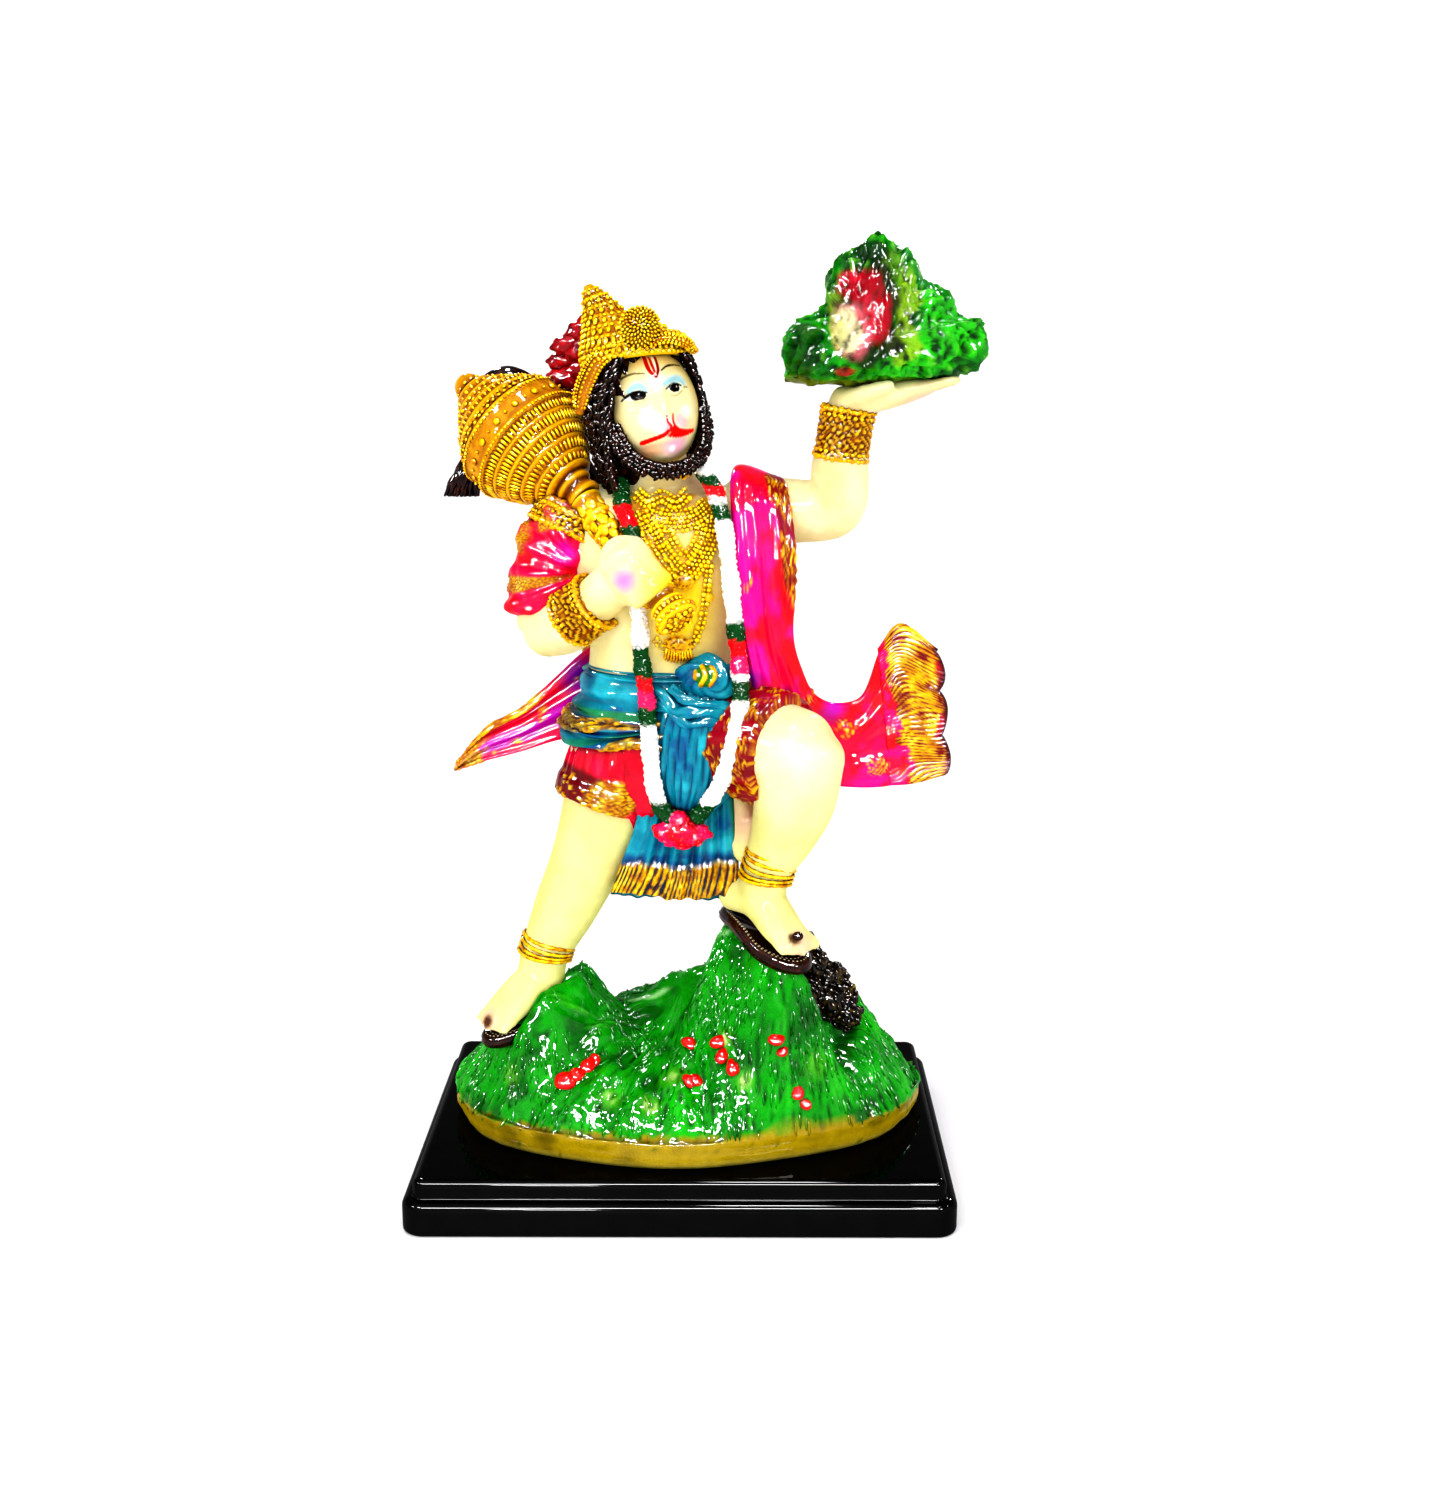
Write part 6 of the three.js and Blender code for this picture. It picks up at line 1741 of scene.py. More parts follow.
# %% The beard's curls
jaw_places = line_through(JAW_LINE, np.linspace(0.01, 0.99, 66))
jaw_ways = unit(np.gradient(jaw_places, axis=0))
face_centre = np.array([-0.6, -3.0, -1.5])
beard_lines = []
for row in range(4):
    for place, way in zip(jaw_places[row % 2:], jaw_ways[row % 2:]):
        away = unit((place - face_centre) * (1, 0.3, 1))
        forward = np.array([0, -1, 0.1])
        root = place + forward * (1.5 - 0.5 * row) + away * (0.6 * row - 1.2)
        sway = way * luck.uniform(-1.0, 1.0)
        tip = root + away * luck.uniform(0.7, 1.3) + forward * luck.uniform(0.0, 0.6) + sway
        middle = (root + tip) / 2 + forward * 0.6
        beard_lines.append((in_head([root, middle, tip]), (0.4, 0.56, 0.2)))
strands("beard_curls", beard_lines, "hair", steps=7, lobes=3, groove=0.75, twist=3.0)

# %% [markdown]
# ## The crown
# The crown is cast gold work. It leans back to one side while its brim stays level, so its
# rings are not turned on one axis: each has its own middle, radius and tilt. The body is the
# brown ground of the casting, and the stud tree sets the bright beads and leaves on it.

# %% The crown's body
# Each ring: height over the brim, middle across, middle back, radius and tilt.
CROWN_RINGS = np.array([
    (-0.6, -7.7, -0.2, 9.4, 0.12), (0.8, -7.8, -0.1, 9.6, 0.12), (2.2, -8.2, 0.1, 9.2, 0.12),
    (3.4, -8.9, 0.3, 8.2, 0.12), (4.6, -10.3, 0.6, 6.7, 0.13), (5.8, -12.0, 1.0, 4.9, 0.15),
    (7.0, -13.2, 1.5, 3.7, 0.2), (8.4, -14.1, 2.0, 2.8, 0.3), (9.6, -14.8, 2.4, 2.1, 0.4),
    (10.8, -15.5, 2.7, 1.55, 0.4), (11.8, -16.1, 2.9, 1.0, 0.4), (12.5, -16.4, 3.0, 0.5, 0.4),
])
CROWN_FOOT = 143.2
CROWN_TIERS = [(0.0, 0.35), (1.5, 0.3), (3.3, 0.32), (5.1, 0.3), (6.9, 0.3), (8.6, 0.28), (10.2, 0.5),
               (11.6, 0.3)]


def on_crown(height, turn, grow=0.0):
    """Places on the crown and the way out from it."""
    height, turn = np.broadcast_arrays(np.asarray(height, float), turn)
    cx, cy, radius, tilt = (np.interp(height, CROWN_RINGS[:, 0], column) for column in CROWN_RINGS.T[1:])
    radius = radius + grow
    dx, dy = radius * np.cos(turn), 0.94 * radius * np.sin(turn)
    places = np.stack([cx + dx, cy + dy, CROWN_FOOT + height + tilt * dx - 0.13 * dy], -1)
    return places, unit(np.stack([np.cos(turn), np.sin(turn), 0.35 + 0 * turn], -1))


crown_heights = np.linspace(-0.6, 12.5, 74)[:, None]
crown_turns = turns_round(100)[None]
tier_swell = sum(size * np.exp(-(((crown_heights - middle) / 0.42) ** 2)) for middle, size in CROWN_TIERS)
tier_swell = tier_swell + 0.14 * np.cos(22 * crown_turns) * np.cos(3.5 * crown_heights)
crown_places, _ = on_crown(crown_heights, crown_turns, tier_swell)
crown_body = skin_over(crown_places)
print("crown:", len(crown_heights), "rings")


# %% The crown's beads and leaves
def crown_row(height, count, size, lengthwise=False, grow=0.25):
    """A row of studs round the crown, lying round it or lengthwise up its slope."""
    turn = np.arange(count) / count * 2 * np.pi
    places, outs = on_crown(height, turn, grow)
    level = np.stack([-np.sin(turn), np.cos(turn), 0 * turn], -1)
    return places, outs, np.cross(outs, level) if lengthwise else level, size


# Each row: height, how many, the size of each, and for leaves that they stand lengthwise or
# for beads how far out they sit.
CROWN_ROWS = [
    (-0.3, 56, (0.44, 0.4, 0.42)),
    (0.6, 52, (0.6, 0.42, 0.42), True), (1.5, 60, (0.34, 0.3, 0.34), False, 0.4),
    (2.4, 40, (0.8, 0.42, 0.42), True), (3.3, 48, (0.4, 0.38, 0.4), False, 0.4),
    (4.25, 30, (0.75, 0.42, 0.42), True), (5.1, 34, (0.38, 0.36, 0.38), False, 0.4),
    (6.0, 18, (0.7, 0.42, 0.4), True), (6.9, 20, (0.4, 0.36, 0.38), False, 0.4),
    (7.75, 12, (0.6, 0.42, 0.4), True), (8.6, 15, (0.36, 0.34, 0.36), False, 0.4),
    (9.4, 9, (0.5, 0.36, 0.36), True), (10.2, 12, (0.34, 0.32, 0.34), False, 0.45),
    (11.0, 7, (0.4, 0.32, 0.3), True), (11.6, 8, (0.3, 0.28, 0.3), False, 0.3),
]
studs("crown_beads", [crown_row(*row) for row in CROWN_ROWS], "leaf", roundness=1, unevenness=0.14)

# %% The rosette on its brow
ROSETTE_PLACE, ROSETTE_FACES = (-6.6, -8.3, 148.5), (-6.2, -15.3, 149.6)
rosette_frame = axis_of(ROSETTE_PLACE, ROSETTE_FACES)
rosette_body = turned([(0, -3), (3.2, -3), (3.5, -0.6), (3.2, 0.9), (2.1, 1.9), (0, 2.3)],
                      ROSETTE_PLACE, ROSETTE_FACES, sides=50, step=0.35)
GRAINS = 110


def seeds_in(count, radius):
    """Turns and distances that fill a disc evenly, as the seeds of a sunflower do."""
    ranks = np.arange(count)
    return ranks * GOLDEN_ANGLE, radius * np.sqrt((ranks + 0.5) / count)


grain_turn, grain_radius = seeds_in(GRAINS, 3.45)
grain_height = 2.5 - 0.17 * grain_radius**2 + 0.04 * grain_radius
grain_places, grain_outs = around(rosette_frame, grain_turn, grain_height, grain_radius)
grain_ways = unit(grain_outs * 0.6 * (grain_radius / 3.0)[:, None] + rosette_frame[1])
rosette_rows = [(grain_places, grain_ways, grain_outs, (0.36, 0.22, 0.6)),
                ring_row(rosette_frame, -0.4, 3.5, 30, (0.5, 0.3, 0.4), lengthwise=True)]
studs("rosette_grains", rosette_rows, "leaf", roundness=2, seed=5)

# %% The band over brow and ear
BAND_LINE = [
    (2.6, -3.4, 144.6), (1.4, -6.0, 145.9), (-2.0, -8.0, 146.7), (-5.2, -8.6, 146.0), (-8.6, -8.4, 145.2),
    (-11.6, -7.6, 144.4), (-14.2, -6.4, 142.6), (-16.0, -5.2, 139.6), (-17.2, -4.2, 136.4),
    (-17.6, -3.4, 133.8),
]
BAND_HALF = (0.6, 0.8, 0.8, 0.9, 1.0, 1.2, 1.5, 1.6, 1.4, 0.8)
BAND_FACES = (-0.25, -1, 0.1)
brow_band = loft([(*place, wide, 0.8) for place, wide in zip(BAND_LINE, BAND_HALF)], 26, 90,
                 across=(0, 0.2, 1), caps=4)
band_shares = np.linspace(0, 1, 60)
band_fine = line_through(BAND_LINE, band_shares)
band_ways = unit(np.gradient(band_fine, axis=0))
band_widths = np.interp(band_shares, np.linspace(0, 1, len(BAND_HALF)), BAND_HALF)
band_front = unit(np.cross(band_ways, np.cross(BAND_FACES, band_ways)))
band_side = np.cross(band_ways, band_front)
# Each row of beads: its place across the band, the size of its beads and their spacing.
BAND_ROWS = [(-0.95, 0.42, 0.75), (0.95, 0.42, 0.75), (0.62, 0.3, 0.62), (-0.5, 0.3, 0.7), (0.1, 0.34, 0.9)]
band_rows = []
for offset, size, spacing in BAND_ROWS:
    edge_line = band_fine + band_side * (offset * band_widths)[:, None]
    edge_line = edge_line + band_front * (0.85 - 0.35 * abs(offset))
    places, ways = along_line(edge_line[::3], spacing)
    band_rows.append((places, BAND_FACES, ways, (size, 0.85 * size, 0.9 * size)))
studs("band_beads", band_rows, "gold", roundness=1, seed=8)


# %% Gold, old gold and brown on one form
def gilded(one, reach=1.5, depth=0.3, bright="#FFD21A", ground="#BC780A", deep="#6A3002"):
    """Gold on the crests of a form, old gold between them and brown in the hollows."""
    low, crest = hollows(one, reach, depth), hollows(one, reach, -depth)
    mottle = smoothstep(crumble(one["points"], 1.3, 401), -0.1, 0.7)
    colour = painted_over(ground, (crest, bright), (0.5 * mottle, bright), (low, deep))
    one["marks"] = {"paint": colour}
    return one


piece("crown", [gilded(crown_body, 1.2, 0.2), gilded(rosette_body, ground="#D89808"),
                gilded(brow_band, bright="#C88410", ground="#7A3C06")], "gilded", hollow=(0.7, 0.14))

# %% [markdown]
# ## The plume
# Behind the crown stands a red plume. It was modelled as a stack of wavy tongues, each
# overlapping the one below, so it is made from bent lumps with a rough skin.

# %% The plume
# Each tongue: its middle across and up, half its length and height, and its lean in degrees.
PLUME_TONGUES = [
    (-17.6, 148.2, 3.4, 2.0, -40), (-20.2, 145.6, 3.6, 1.9, -30), (-21.0, 142.4, 3.6, 1.8, -12),
    (-21.2, 139.2, 3.4, 1.9, 5), (-20.8, 136.0, 3.4, 1.8, 20), (-19.6, 133.0, 3.4, 1.9, 34),
    (-17.6, 144.6, 3.8, 2.4, -30), (-18.2, 140.6, 4.0, 2.4, -8), (-17.8, 136.6, 4.0, 2.4, 14),
    (-16.6, 147.0, 3.0, 2.2, -50),
]
plume_forms = []
for number, (x, z, long, high, lean) in enumerate(PLUME_TONGUES):
    plume_forms.append(lump((x, 5.6 + 0.7 * (number % 3), z), (long, 1.7, high), (0, lean, 0), 40,
                            lambda a, b, c: 1 + 0.13 * rough(6 * a + number, 4 * b, 8 * c)
                            + 0.07 * np.sin(9 * a + 5 * c + number)))
piece("plume", plume_forms, "plume", hollow=(0.8, 0.2))

# %% [markdown]
# ## The mace
# The mace is a gadā, a ball on a short shaft, drawn out here to an egg. On a lathe its rings
# would be turned, and then a jeweller would set studs, reeds and granules between them. The
# script does the same: one turned body whose rings stand proud, and rows from the stud tree
# in the bands between, each with its own count and size.

# %% The mace's body
POMMEL, MACE_NECK, MACE_TIP = (-0.6, -17.6, 99.6), (-19.6, -0.6, 120.8), (-40.6, 12, 138.6)
MACE_PROFILE = [
    (0, -4), (3.2, -4), (3.4, -3.2), (3.0, -2.4), (3.0, -1.4), (3.8, -0.8), (3.6, 0.1), (4.6, 0.5),
    (5.3, 0.9), (5.0, 1.3), (6.1, 2.2), (6.6, 2.55), (6.4, 2.9), (7.7, 4.2), (8.3, 4.55), (8.1, 4.9),
    (9.1, 6.3), (9.7, 6.65), (9.5, 7.0), (10.3, 8.6), (10.8, 8.95), (10.6, 9.3), (11.2, 10.9),
    (12.1, 11.3), (11.6, 11.9), (11.6, 14.4), (11.6, 15.2), (11.9, 15.8), (11.2, 16.6), (10.6, 17.0),
    (10.4, 18.0), (10.1, 18.6), (10.0, 19.1), (9.0, 19.8), (8.6, 20.6), (8.5, 21.2), (7.6, 21.8),
    (6.6, 23.2), (6.7, 23.8), (5.4, 24.4), (4.2, 26.2), (4.2, 26.8), (2.8, 27.2), (2.7, 28.4),
    (2.3, 29.6), (1.4, 30.6), (0, 31),
]
mace_frame = axis_of(MACE_NECK, MACE_TIP)
mace_body = turned(MACE_PROFILE, MACE_NECK, MACE_TIP, sides=100, step=0.36, rounds=1)


def granules(low, high, low_radius, high_radius, rows, count, size, seed):
    """A band filled with granules, a little out of line as if set by hand."""
    made = []
    shift = np.random.default_rng(seed)
    for row in range(rows):
        share = (row + 0.5) / rows
        height = low + (high - low) * share
        radius = low_radius + (high_radius - low_radius) * share
        turn = (np.arange(count) + 0.5 * (row % 2) + shift.uniform(-0.2, 0.2, count)) / count * 2 * np.pi
        places, outs = around(mace_frame, turn, height + shift.uniform(-0.12, 0.12, count), radius)
        made.append((places, outs, np.cross(mace_frame[1], outs), size))
    return made


# Reeds between the rings: height, radius, how many, length, thickness and slope.
MACE_REEDS = [
    (1.75, 5.6, 34, 0.95, 0.42, 1.2), (3.55, 7.1, 50, 1.15, 0.44, 1.0), (5.6, 8.7, 64, 1.15, 0.44, 0.7),
    (7.8, 9.98, 76, 1.2, 0.44, 0.5), (10.1, 10.98, 84, 1.15, 0.46, 0.38),
]
mace_rows = [
    *(ring_row(mace_frame, height, radius, count, (long, 0.34, high), lengthwise=True, slope=slope)
      for height, radius, count, long, high, slope in MACE_REEDS),
    ring_row(mace_frame, 11.3, 12.0, 90, (0.34, 0.3, 0.3)),
    ring_row(mace_frame, 13.4, 11.75, 16, (0.7, 0.7, 0.5)),
    ring_row(mace_frame, 13.4, 11.75, 16, (0.3, 0.3, 0.5), 0.5),
    ring_row(mace_frame, 15.6, 11.9, 84, (0.34, 0.32, 0.32)),
    *granules(16.7, 18.4, 11.0, 10.45, 2, 52, (0.46, 0.34, 0.4), 13),
    ring_row(mace_frame, 20.2, 8.95, 52, (0.7, 0.28, 0.36), lengthwise=True),
    *granules(21.6, 23.2, 7.7, 6.8, 2, 34, (0.4, 0.36, 0.38), 14),
    ring_row(mace_frame, 25.3, 4.85, 22, (0.6, 0.34, 0.34), lengthwise=True),
    ring_row(mace_frame, 28.0, 2.8, 12, (0.4, 0.36, 0.34)),
]
studs("mace_studs", mace_rows, "gold", roundness=1, unevenness=0.12, seed=2)

# %% The shaft with its leaves and rings, and the studded pommel
GRIP_LENGTH = 29.0
SHAFT_PROFILE = [
    (0, -1.6), (3.2, -1.4), (3.9, -0.8), (4.0, 0.2), (3.5, 0.9), (3.1, 1.2), (3.1, 1.9), (3.4, 2.2),
    (3.3, 2.7), (2.5, 3.0), (2.3, 4.2), (2.9, 4.7), (3.2, 5.2), (2.9, 5.7), (2.3, 6.1), (2.3, 14),
    (2.4, 20), (3.0, 20.4), (3.1, 21.0), (2.5, 21.4), (2.4, 23), (3.1, 23.8), (3.3, 24.4), (2.8, 25),
    (2.7, 27.6), (3.3, GRIP_LENGTH), (0, GRIP_LENGTH),
]
shaft_frame = axis_of(POMMEL, MACE_NECK)
shaft_body = turned(SHAFT_PROFILE, POMMEL, MACE_NECK, sides=60, step=0.3, rounds=1)
shaft_rows = [
    ring_row(shaft_frame, -0.3, 3.95, 22, (0.5, 0.44, 0.4)),
    ring_row(shaft_frame, 1.55, 3.15, 22, (0.5, 0.3, 0.26), lengthwise=True),
    ring_row(shaft_frame, 5.2, 3.15, 20, (0.4, 0.38, 0.34)),
]
for row, height in enumerate(np.arange(13.0, 28.0, 1.9)):
    shaft_rows.append(ring_row(shaft_frame, height, 2.55, 7, (1.5, 1.0, 0.5), 0.5 * (row % 2), True))
pommel_turn, pommel_radius = seeds_in(26, 3.2)
pommel_places, _ = around(shaft_frame, pommel_turn, -1.5, pommel_radius)
shaft_rows.append((pommel_places, -shaft_frame[1], shaft_frame[2], (0.5, 0.5, 0.4)))
studs("shaft_leaves", shaft_rows, "gold", roundness=2, unevenness=0.12, seed=6)
mace_gold = gilded(mace_body, 1.3, 0.16, "#F4B60E", "#B06C08")
piece("mace", [mace_gold, gilded(shaft_body, 1.4, 0.3)], "gilded", hollow=(0.8, 0.14))

# %% [markdown]
# ## The tail
# The tail comes up behind the back, arches over the mace and drops to a tuft. It is a limb
# with fine grooves along it, and the tuft is a bundle of strands.

# %% The tail and its tuft
TAIL_ROUTE = [
    (-3, 14, 71, 2.1), (-3.4, 18.2, 82, 2.1), (-7, 17.6, 100, 2.1), (-14, 16.4, 114, 2.1),
    (-22.6, 16.4, 128, 2.1), (-27.4, 16.6, 136, 2.1), (-32, 15.6, 139.0, 2.1),
    (-35.6, 14.8, 137.6, 2.1), (-37.4, 13, 131, 2.0), (-38.6, 11.4, 124.4, 2.2), (-41.6, 10.4, 119.6, 0.9),
]
TUFT_HAIRS = 40
tail_body = loft(TAIL_ROUTE, 40, 140, relief=rippled((0.05, 9, 25), (0.03, 17, -40)))
piece("tail", [tail_body], "hair", hollow=(0.6, 0.12))
tuft_lines = []
for k in range(TUFT_HAIRS):
    swing, spread = k * 2.4, 0.35 + 0.65 * (k / TUFT_HAIRS)
    sx, sy = spread * math.cos(swing), spread * math.sin(swing)
    tuft_lines.append(([(-38.4 + 1.2 * sx, 11.8 + 1.5 * sy, 127), (-39.0 + 1.9 * sx, 10.8 + 2.0 * sy, 123.4),
                        (-40.4 + 2.6 * sx, 10.2 + 1.7 * sy, 120.0), (-41.0 + 3.4 * sx, 10 + sy, 117.6)],
                       (0.6, 0.85, 0.75, 0.2)))
strands("tail_tuft", tuft_lines, "hair", steps=14, lobes=4, groove=0.72, twist=5.0)

# %% [markdown]
# ## The waist cloths
# A teal sash is wound round the hips, tucked up into a pleated pouch in front, and an apron
# hangs below it with a gold fringe. Cloth that was carved in clay has no thickness of its own
# to simulate, so each cloth is a lofted or hung form whose folds are waves across it. Gold
# borders stand a little proud: their relief goes on after the form is made, along its
# normals, and the same pattern tells the paint where to be gold.

# %% Raised patterns
def raised(one, height):
    """Pushes the points out along their normals, by a height in mm at each."""
    one["points"] = one["points"] + normals_of(one["points"], one["faces"]) * np.reshape(height, (-1, 1))
    return one


def filigree(points, pitch, seed=0):
    """Scrolls of wire work, from 0 to 1, about `pitch` mm apart."""
    a = points * 2 * np.pi / pitch
    wander = 1.6 * lattice(points, 1.3 * pitch, 700 + seed)
    curls = np.sin(a[:, 0] + wander + 1.2 * np.sin(0.7 * a[:, 2])) * np.sin(
        a[:, 2] - wander + 1.2 * np.sin(0.8 * a[:, 0]) + 0.5 * a[:, 1])
    return smoothstep(np.abs(curls), 0.25, 0.75)


def band(value, low, high, soft):
    """1 between two values and 0 outside, with soft ends."""
    return smoothstep(value, low - soft, low) * (1 - smoothstep(value, high, high + soft))


def cloth_colour(one, *layers):
    """Stores a cloth's colours: its ground, then each (mask, colour) over it."""
    one["marks"]["paint"] = painted_over(*layers)


def gold_work(one, gold, height):
    """Lets gold painted on a cloth stand proud of it, and marks it for the paint."""
    one["marks"]["gilt"] = gold
    raised(one, height * gold)


def share_along(cloth):
    """How far across and how far along a hung cloth each of its points lies."""
    return cloth["marks"]["share"], cloth["marks"]["along"]


TEAL, TEAL_LIGHT, TEAL_DEEP = "#0A8CA2", "#36C4D4", "#0A3C88"

# %% The wound sash
belt = loft([(-4.8, 0.4, 69.8, 18.2, 13.8), (-3.8, 0.4, 74, 18.6, 13.8), (-3.2, 0.2, 80, 16.8, 12.8),
             (-3.3, 0, 86.5, 14.9, 11.8), (-3.3, 0, 88, 14, 11)], 140, 80, caps=3, reach=0.1,
            relief=lambda turn, along: 1 + 0.032 * np.cos(38 * along + 1.8 * np.cos(turn + 0.5))
            + 0.01 * np.cos(57 * along - 3.0 * np.cos(turn + 0.9)))
bx, by, bz = belt["points"].T.copy()
# In front the lower edge climbs from the left hip to the pouch.
climb = 0.36 * np.clip(bx + 21.7, 0, 15) * smoothstep(80 - bz, 0, 9) * smoothstep(-by, -2, 3)
belt["points"][:, 2] += climb
belt_gold = np.maximum(band(bz + 0.4 * np.sin(0.6 * bx), 76.8, 79.3, 0.3),
                       band(bz + 0.3 * np.sin(0.7 * bx), 68.0, 72.0, 0.3))
belt_lines = filigree(belt["points"], 1.5, 1)
raised(belt, belt_gold * (0.3 + 0.34 * belt_lines))
belt_noise = crumble(belt["points"], 5.0, 201)
belt_dark = spot_on(belt["points"], (-21, -6, 80), 6.5, 0.9)
cloth_colour(
    belt, TEAL, (0.7 * smoothstep(belt_noise, 0.1, 0.9), TEAL_LIGHT),
    (0.8 * smoothstep(-belt_noise, 0.2, 0.8), TEAL_DEEP),
    (0.9 * spot_on(belt["points"], (-19, -6, 87), 5.0, 0.8), "#1A1466"),
    (0.75 * band(bz, 79.8, 80.8, 0.5), "#2E9A3A"), (0.7 * band(bz, 73.4, 74.4, 0.6), "#1E8A4A"),
    (0.85 * belt_dark, "#042A24"), (0.9 * belt_gold, "#4A2A04"),
)
belt["marks"]["gilt"] = belt_gold * (0.25 + 0.75 * belt_lines) * (1 - 0.75 * belt_dark)
print("belt:", len(belt["points"]), "points")


# %% The pouch, the swirl round its button, and the rolls across its top
def pleats(turn, along):
    """Pleats that run down the pouch and sway."""
    return (1 + 0.055 * np.cos(26 * turn + 2.2 * np.sin(5 * along))
            + 0.03 * np.cos(43 * turn - 3 * np.sin(6 * along)))


def swirled(x, y, z):
    """Folds that wind into the middle of the swirl, strongest at its front."""
    turn, away = np.arctan2(z, x), np.hypot(x, z)
    folds = 0.07 * np.cos(5 * turn - 16 * away) + 0.035 * np.cos(9 * turn - 29 * away)
    return 1 + (1 - 0.6 * y * y) * folds


pouch = loft([(4.0, -9.5, 85, 5.4, 3.0), (3.6, -11, 81.4, 7.0, 4.0), (3.0, -11.6, 76, 7.8, 4.3),
              (2.6, -11.0, 69.4, 7.5, 4.1), (1.8, -10.0, 64.4, 5.2, 3.2)], 160, 48, relief=pleats)
swirl = lump((5.2, -11.0, 86.8), (5.7, 3.4, 4.6), (0, 20, 0), 100, swirled)
# Each roll: its line, its half-thickness and how fast its folds wind.
ROLLS = [
    ([(-5.2, -11.0, 85.2), (-3.0, -12.6, 84.6), (-0.6, -14.4, 82.0), (2.4, -15.4, 82.2),
      (5.6, -15.2, 82.0), (9.6, -12.4, 80.6)], 1.15, 9.0),
    ([(-5.0, -11.4, 82.6), (-2.0, -13.6, 82.4), (1.4, -15.0, 79.8), (4.8, -15.2, 80.4),
      (9.2, -12.6, 78.6)], 1.0, -8.0),
    ([(-1.4, -13.0, 85.8), (0.4, -14.4, 84.4), (3.2, -15.4, 83.6), (7.6, -14.2, 82.8),
      (10.2, -12.0, 82.6)], 0.9, 8.0),
]
rolls = [loft([(*place, thick, thick) for place in line], 30, 48, across=(0, 0, 1), caps=3,
              relief=rippled((0.16, 3, 2.2 * twist), (0.05, 7, -twist))) for line, thick, twist in ROLLS]
button = turned([(0, -2), (1.9, -2), (2.15, -0.2), (1.9, 0.6), (1.1, 1.1), (0, 1.2)],
                (4.6, -13.9, 88.3), (4.2, -17, 89.3), sides=60, step=0.25)
button_stripes = np.sin(3.4 * button["points"][:, 0] + 1.5 * np.sin(1.4 * button["points"][:, 2]))
raised(button, 0.2 * button_stripes)
button["marks"]["gilt"] = smoothstep(button_stripes, -0.3, 0.3)
print("rolls:", len(rolls))

# %% The apron and its gold fringe
PANEL_ROWS = [
    [(-7.4, -8.5, 66), (9.6, -8.5, 67)], [(-8.6, -9.5, 59), (10, -9.5, 60.5)],
    [(-11, -9.4, 52.5), (10.6, -9.4, 53)], [(-13.2, -8.6, 46.0), (10.8, -8.6, 45.0)],
]


def fringe_band(share, along):
    """Where the gold fringe lies across the apron's foot."""
    return band(along + 0.02 * np.sin(9 * share), 0.70, 0.955, 0.03)


def apron_rays(share, along):
    """The threads of the apron's fringe."""
    return np.abs(np.sin(80 * share + 2.0 * np.sin(7 * along) + 3.0 * np.sin(11 * share)))


apron = drape(
    PANEL_ROWS, folds=9, depth=0.45, thick=2.8, points=160, steps=56,
    lift=lambda share, along: 0.45 * np.cos(2 * np.pi * 4 * share + 1.0) + 0.4 * fringe_band(share, along),
    emboss=lambda share, along: fringe_band(share, along) * (0.3 + 0.4 * apron_rays(share, along)))
apron_share, apron_along = share_along(apron)
apron_noise = crumble(apron["points"], 4.0, 211)
apron_fringe = fringe_band(apron_share, apron_along)
cloth_colour(
    apron, TEAL, (0.6 * smoothstep(apron_noise, 0.1, 0.9), TEAL_LIGHT),
    (0.75 * smoothstep(-apron_noise, 0.2, 0.9), TEAL_DEEP),
    (0.7 * band(apron_along, 0.60, 0.70, 0.03) * (apron_noise > -0.1), TEAL_DEEP),
    (0.9 * smoothstep(apron_along, 0.965, 0.985), "#04343C"),
    (0.8 * smoothstep(apron_share, 0.93, 0.98), "#0E6A30"), (0.95 * apron_fringe, "#4A2404"),
)
fringe_threads = apron_rays(apron_share, apron_along) + 0.5 * crumble(apron["points"], 1.6, 215)
worn = np.clip(0.95 + 0.4 * apron_noise, 0, 1)
apron["marks"]["gilt"] = apron_fringe * smoothstep(fringe_threads, 0.3, 0.8) * worn
for one in (pouch, swirl, *rolls):
    noise = crumble(one["points"], 4.0, 221)
    cloth_colour(one, TEAL, (0.6 * smoothstep(noise, 0.0, 0.8), TEAL_LIGHT),
                 (0.6 * smoothstep(-noise, 0.2, 0.9), TEAL_DEEP))
cloth_colour(button, "#2E7A10", (0 * button_stripes, TEAL))
piece("waist_sash", [belt, pouch, swirl, *rolls, button], "teal", hollow=(1.0, 0.2))
piece("apron", [apron], "teal", hollow=(0.9, 0.22))

# %% [markdown]
# ## The shorts
# Crimson breeches show under the sash. Each leg ends in a wide hem, with scrolls of gold on
# the right one and on the left one's front, and a plain seat joins the two behind.

# %% The two legs of the shorts and the seat
def leg_of_shorts(stations, across, gathers):
    """One leg, gathered at the waist, with a thick hem."""
    return loft(stations, 110, 60, across=across, caps=2, reach=0.06,
                relief=lambda turn, along: 1 + 0.03 * np.cos(gathers * turn + along) * (1.1 - along)
                + 0.012 * np.cos(3 * gathers * turn + 9 * along) + 0.05 * smoothstep(along, 0.66, 0.78))


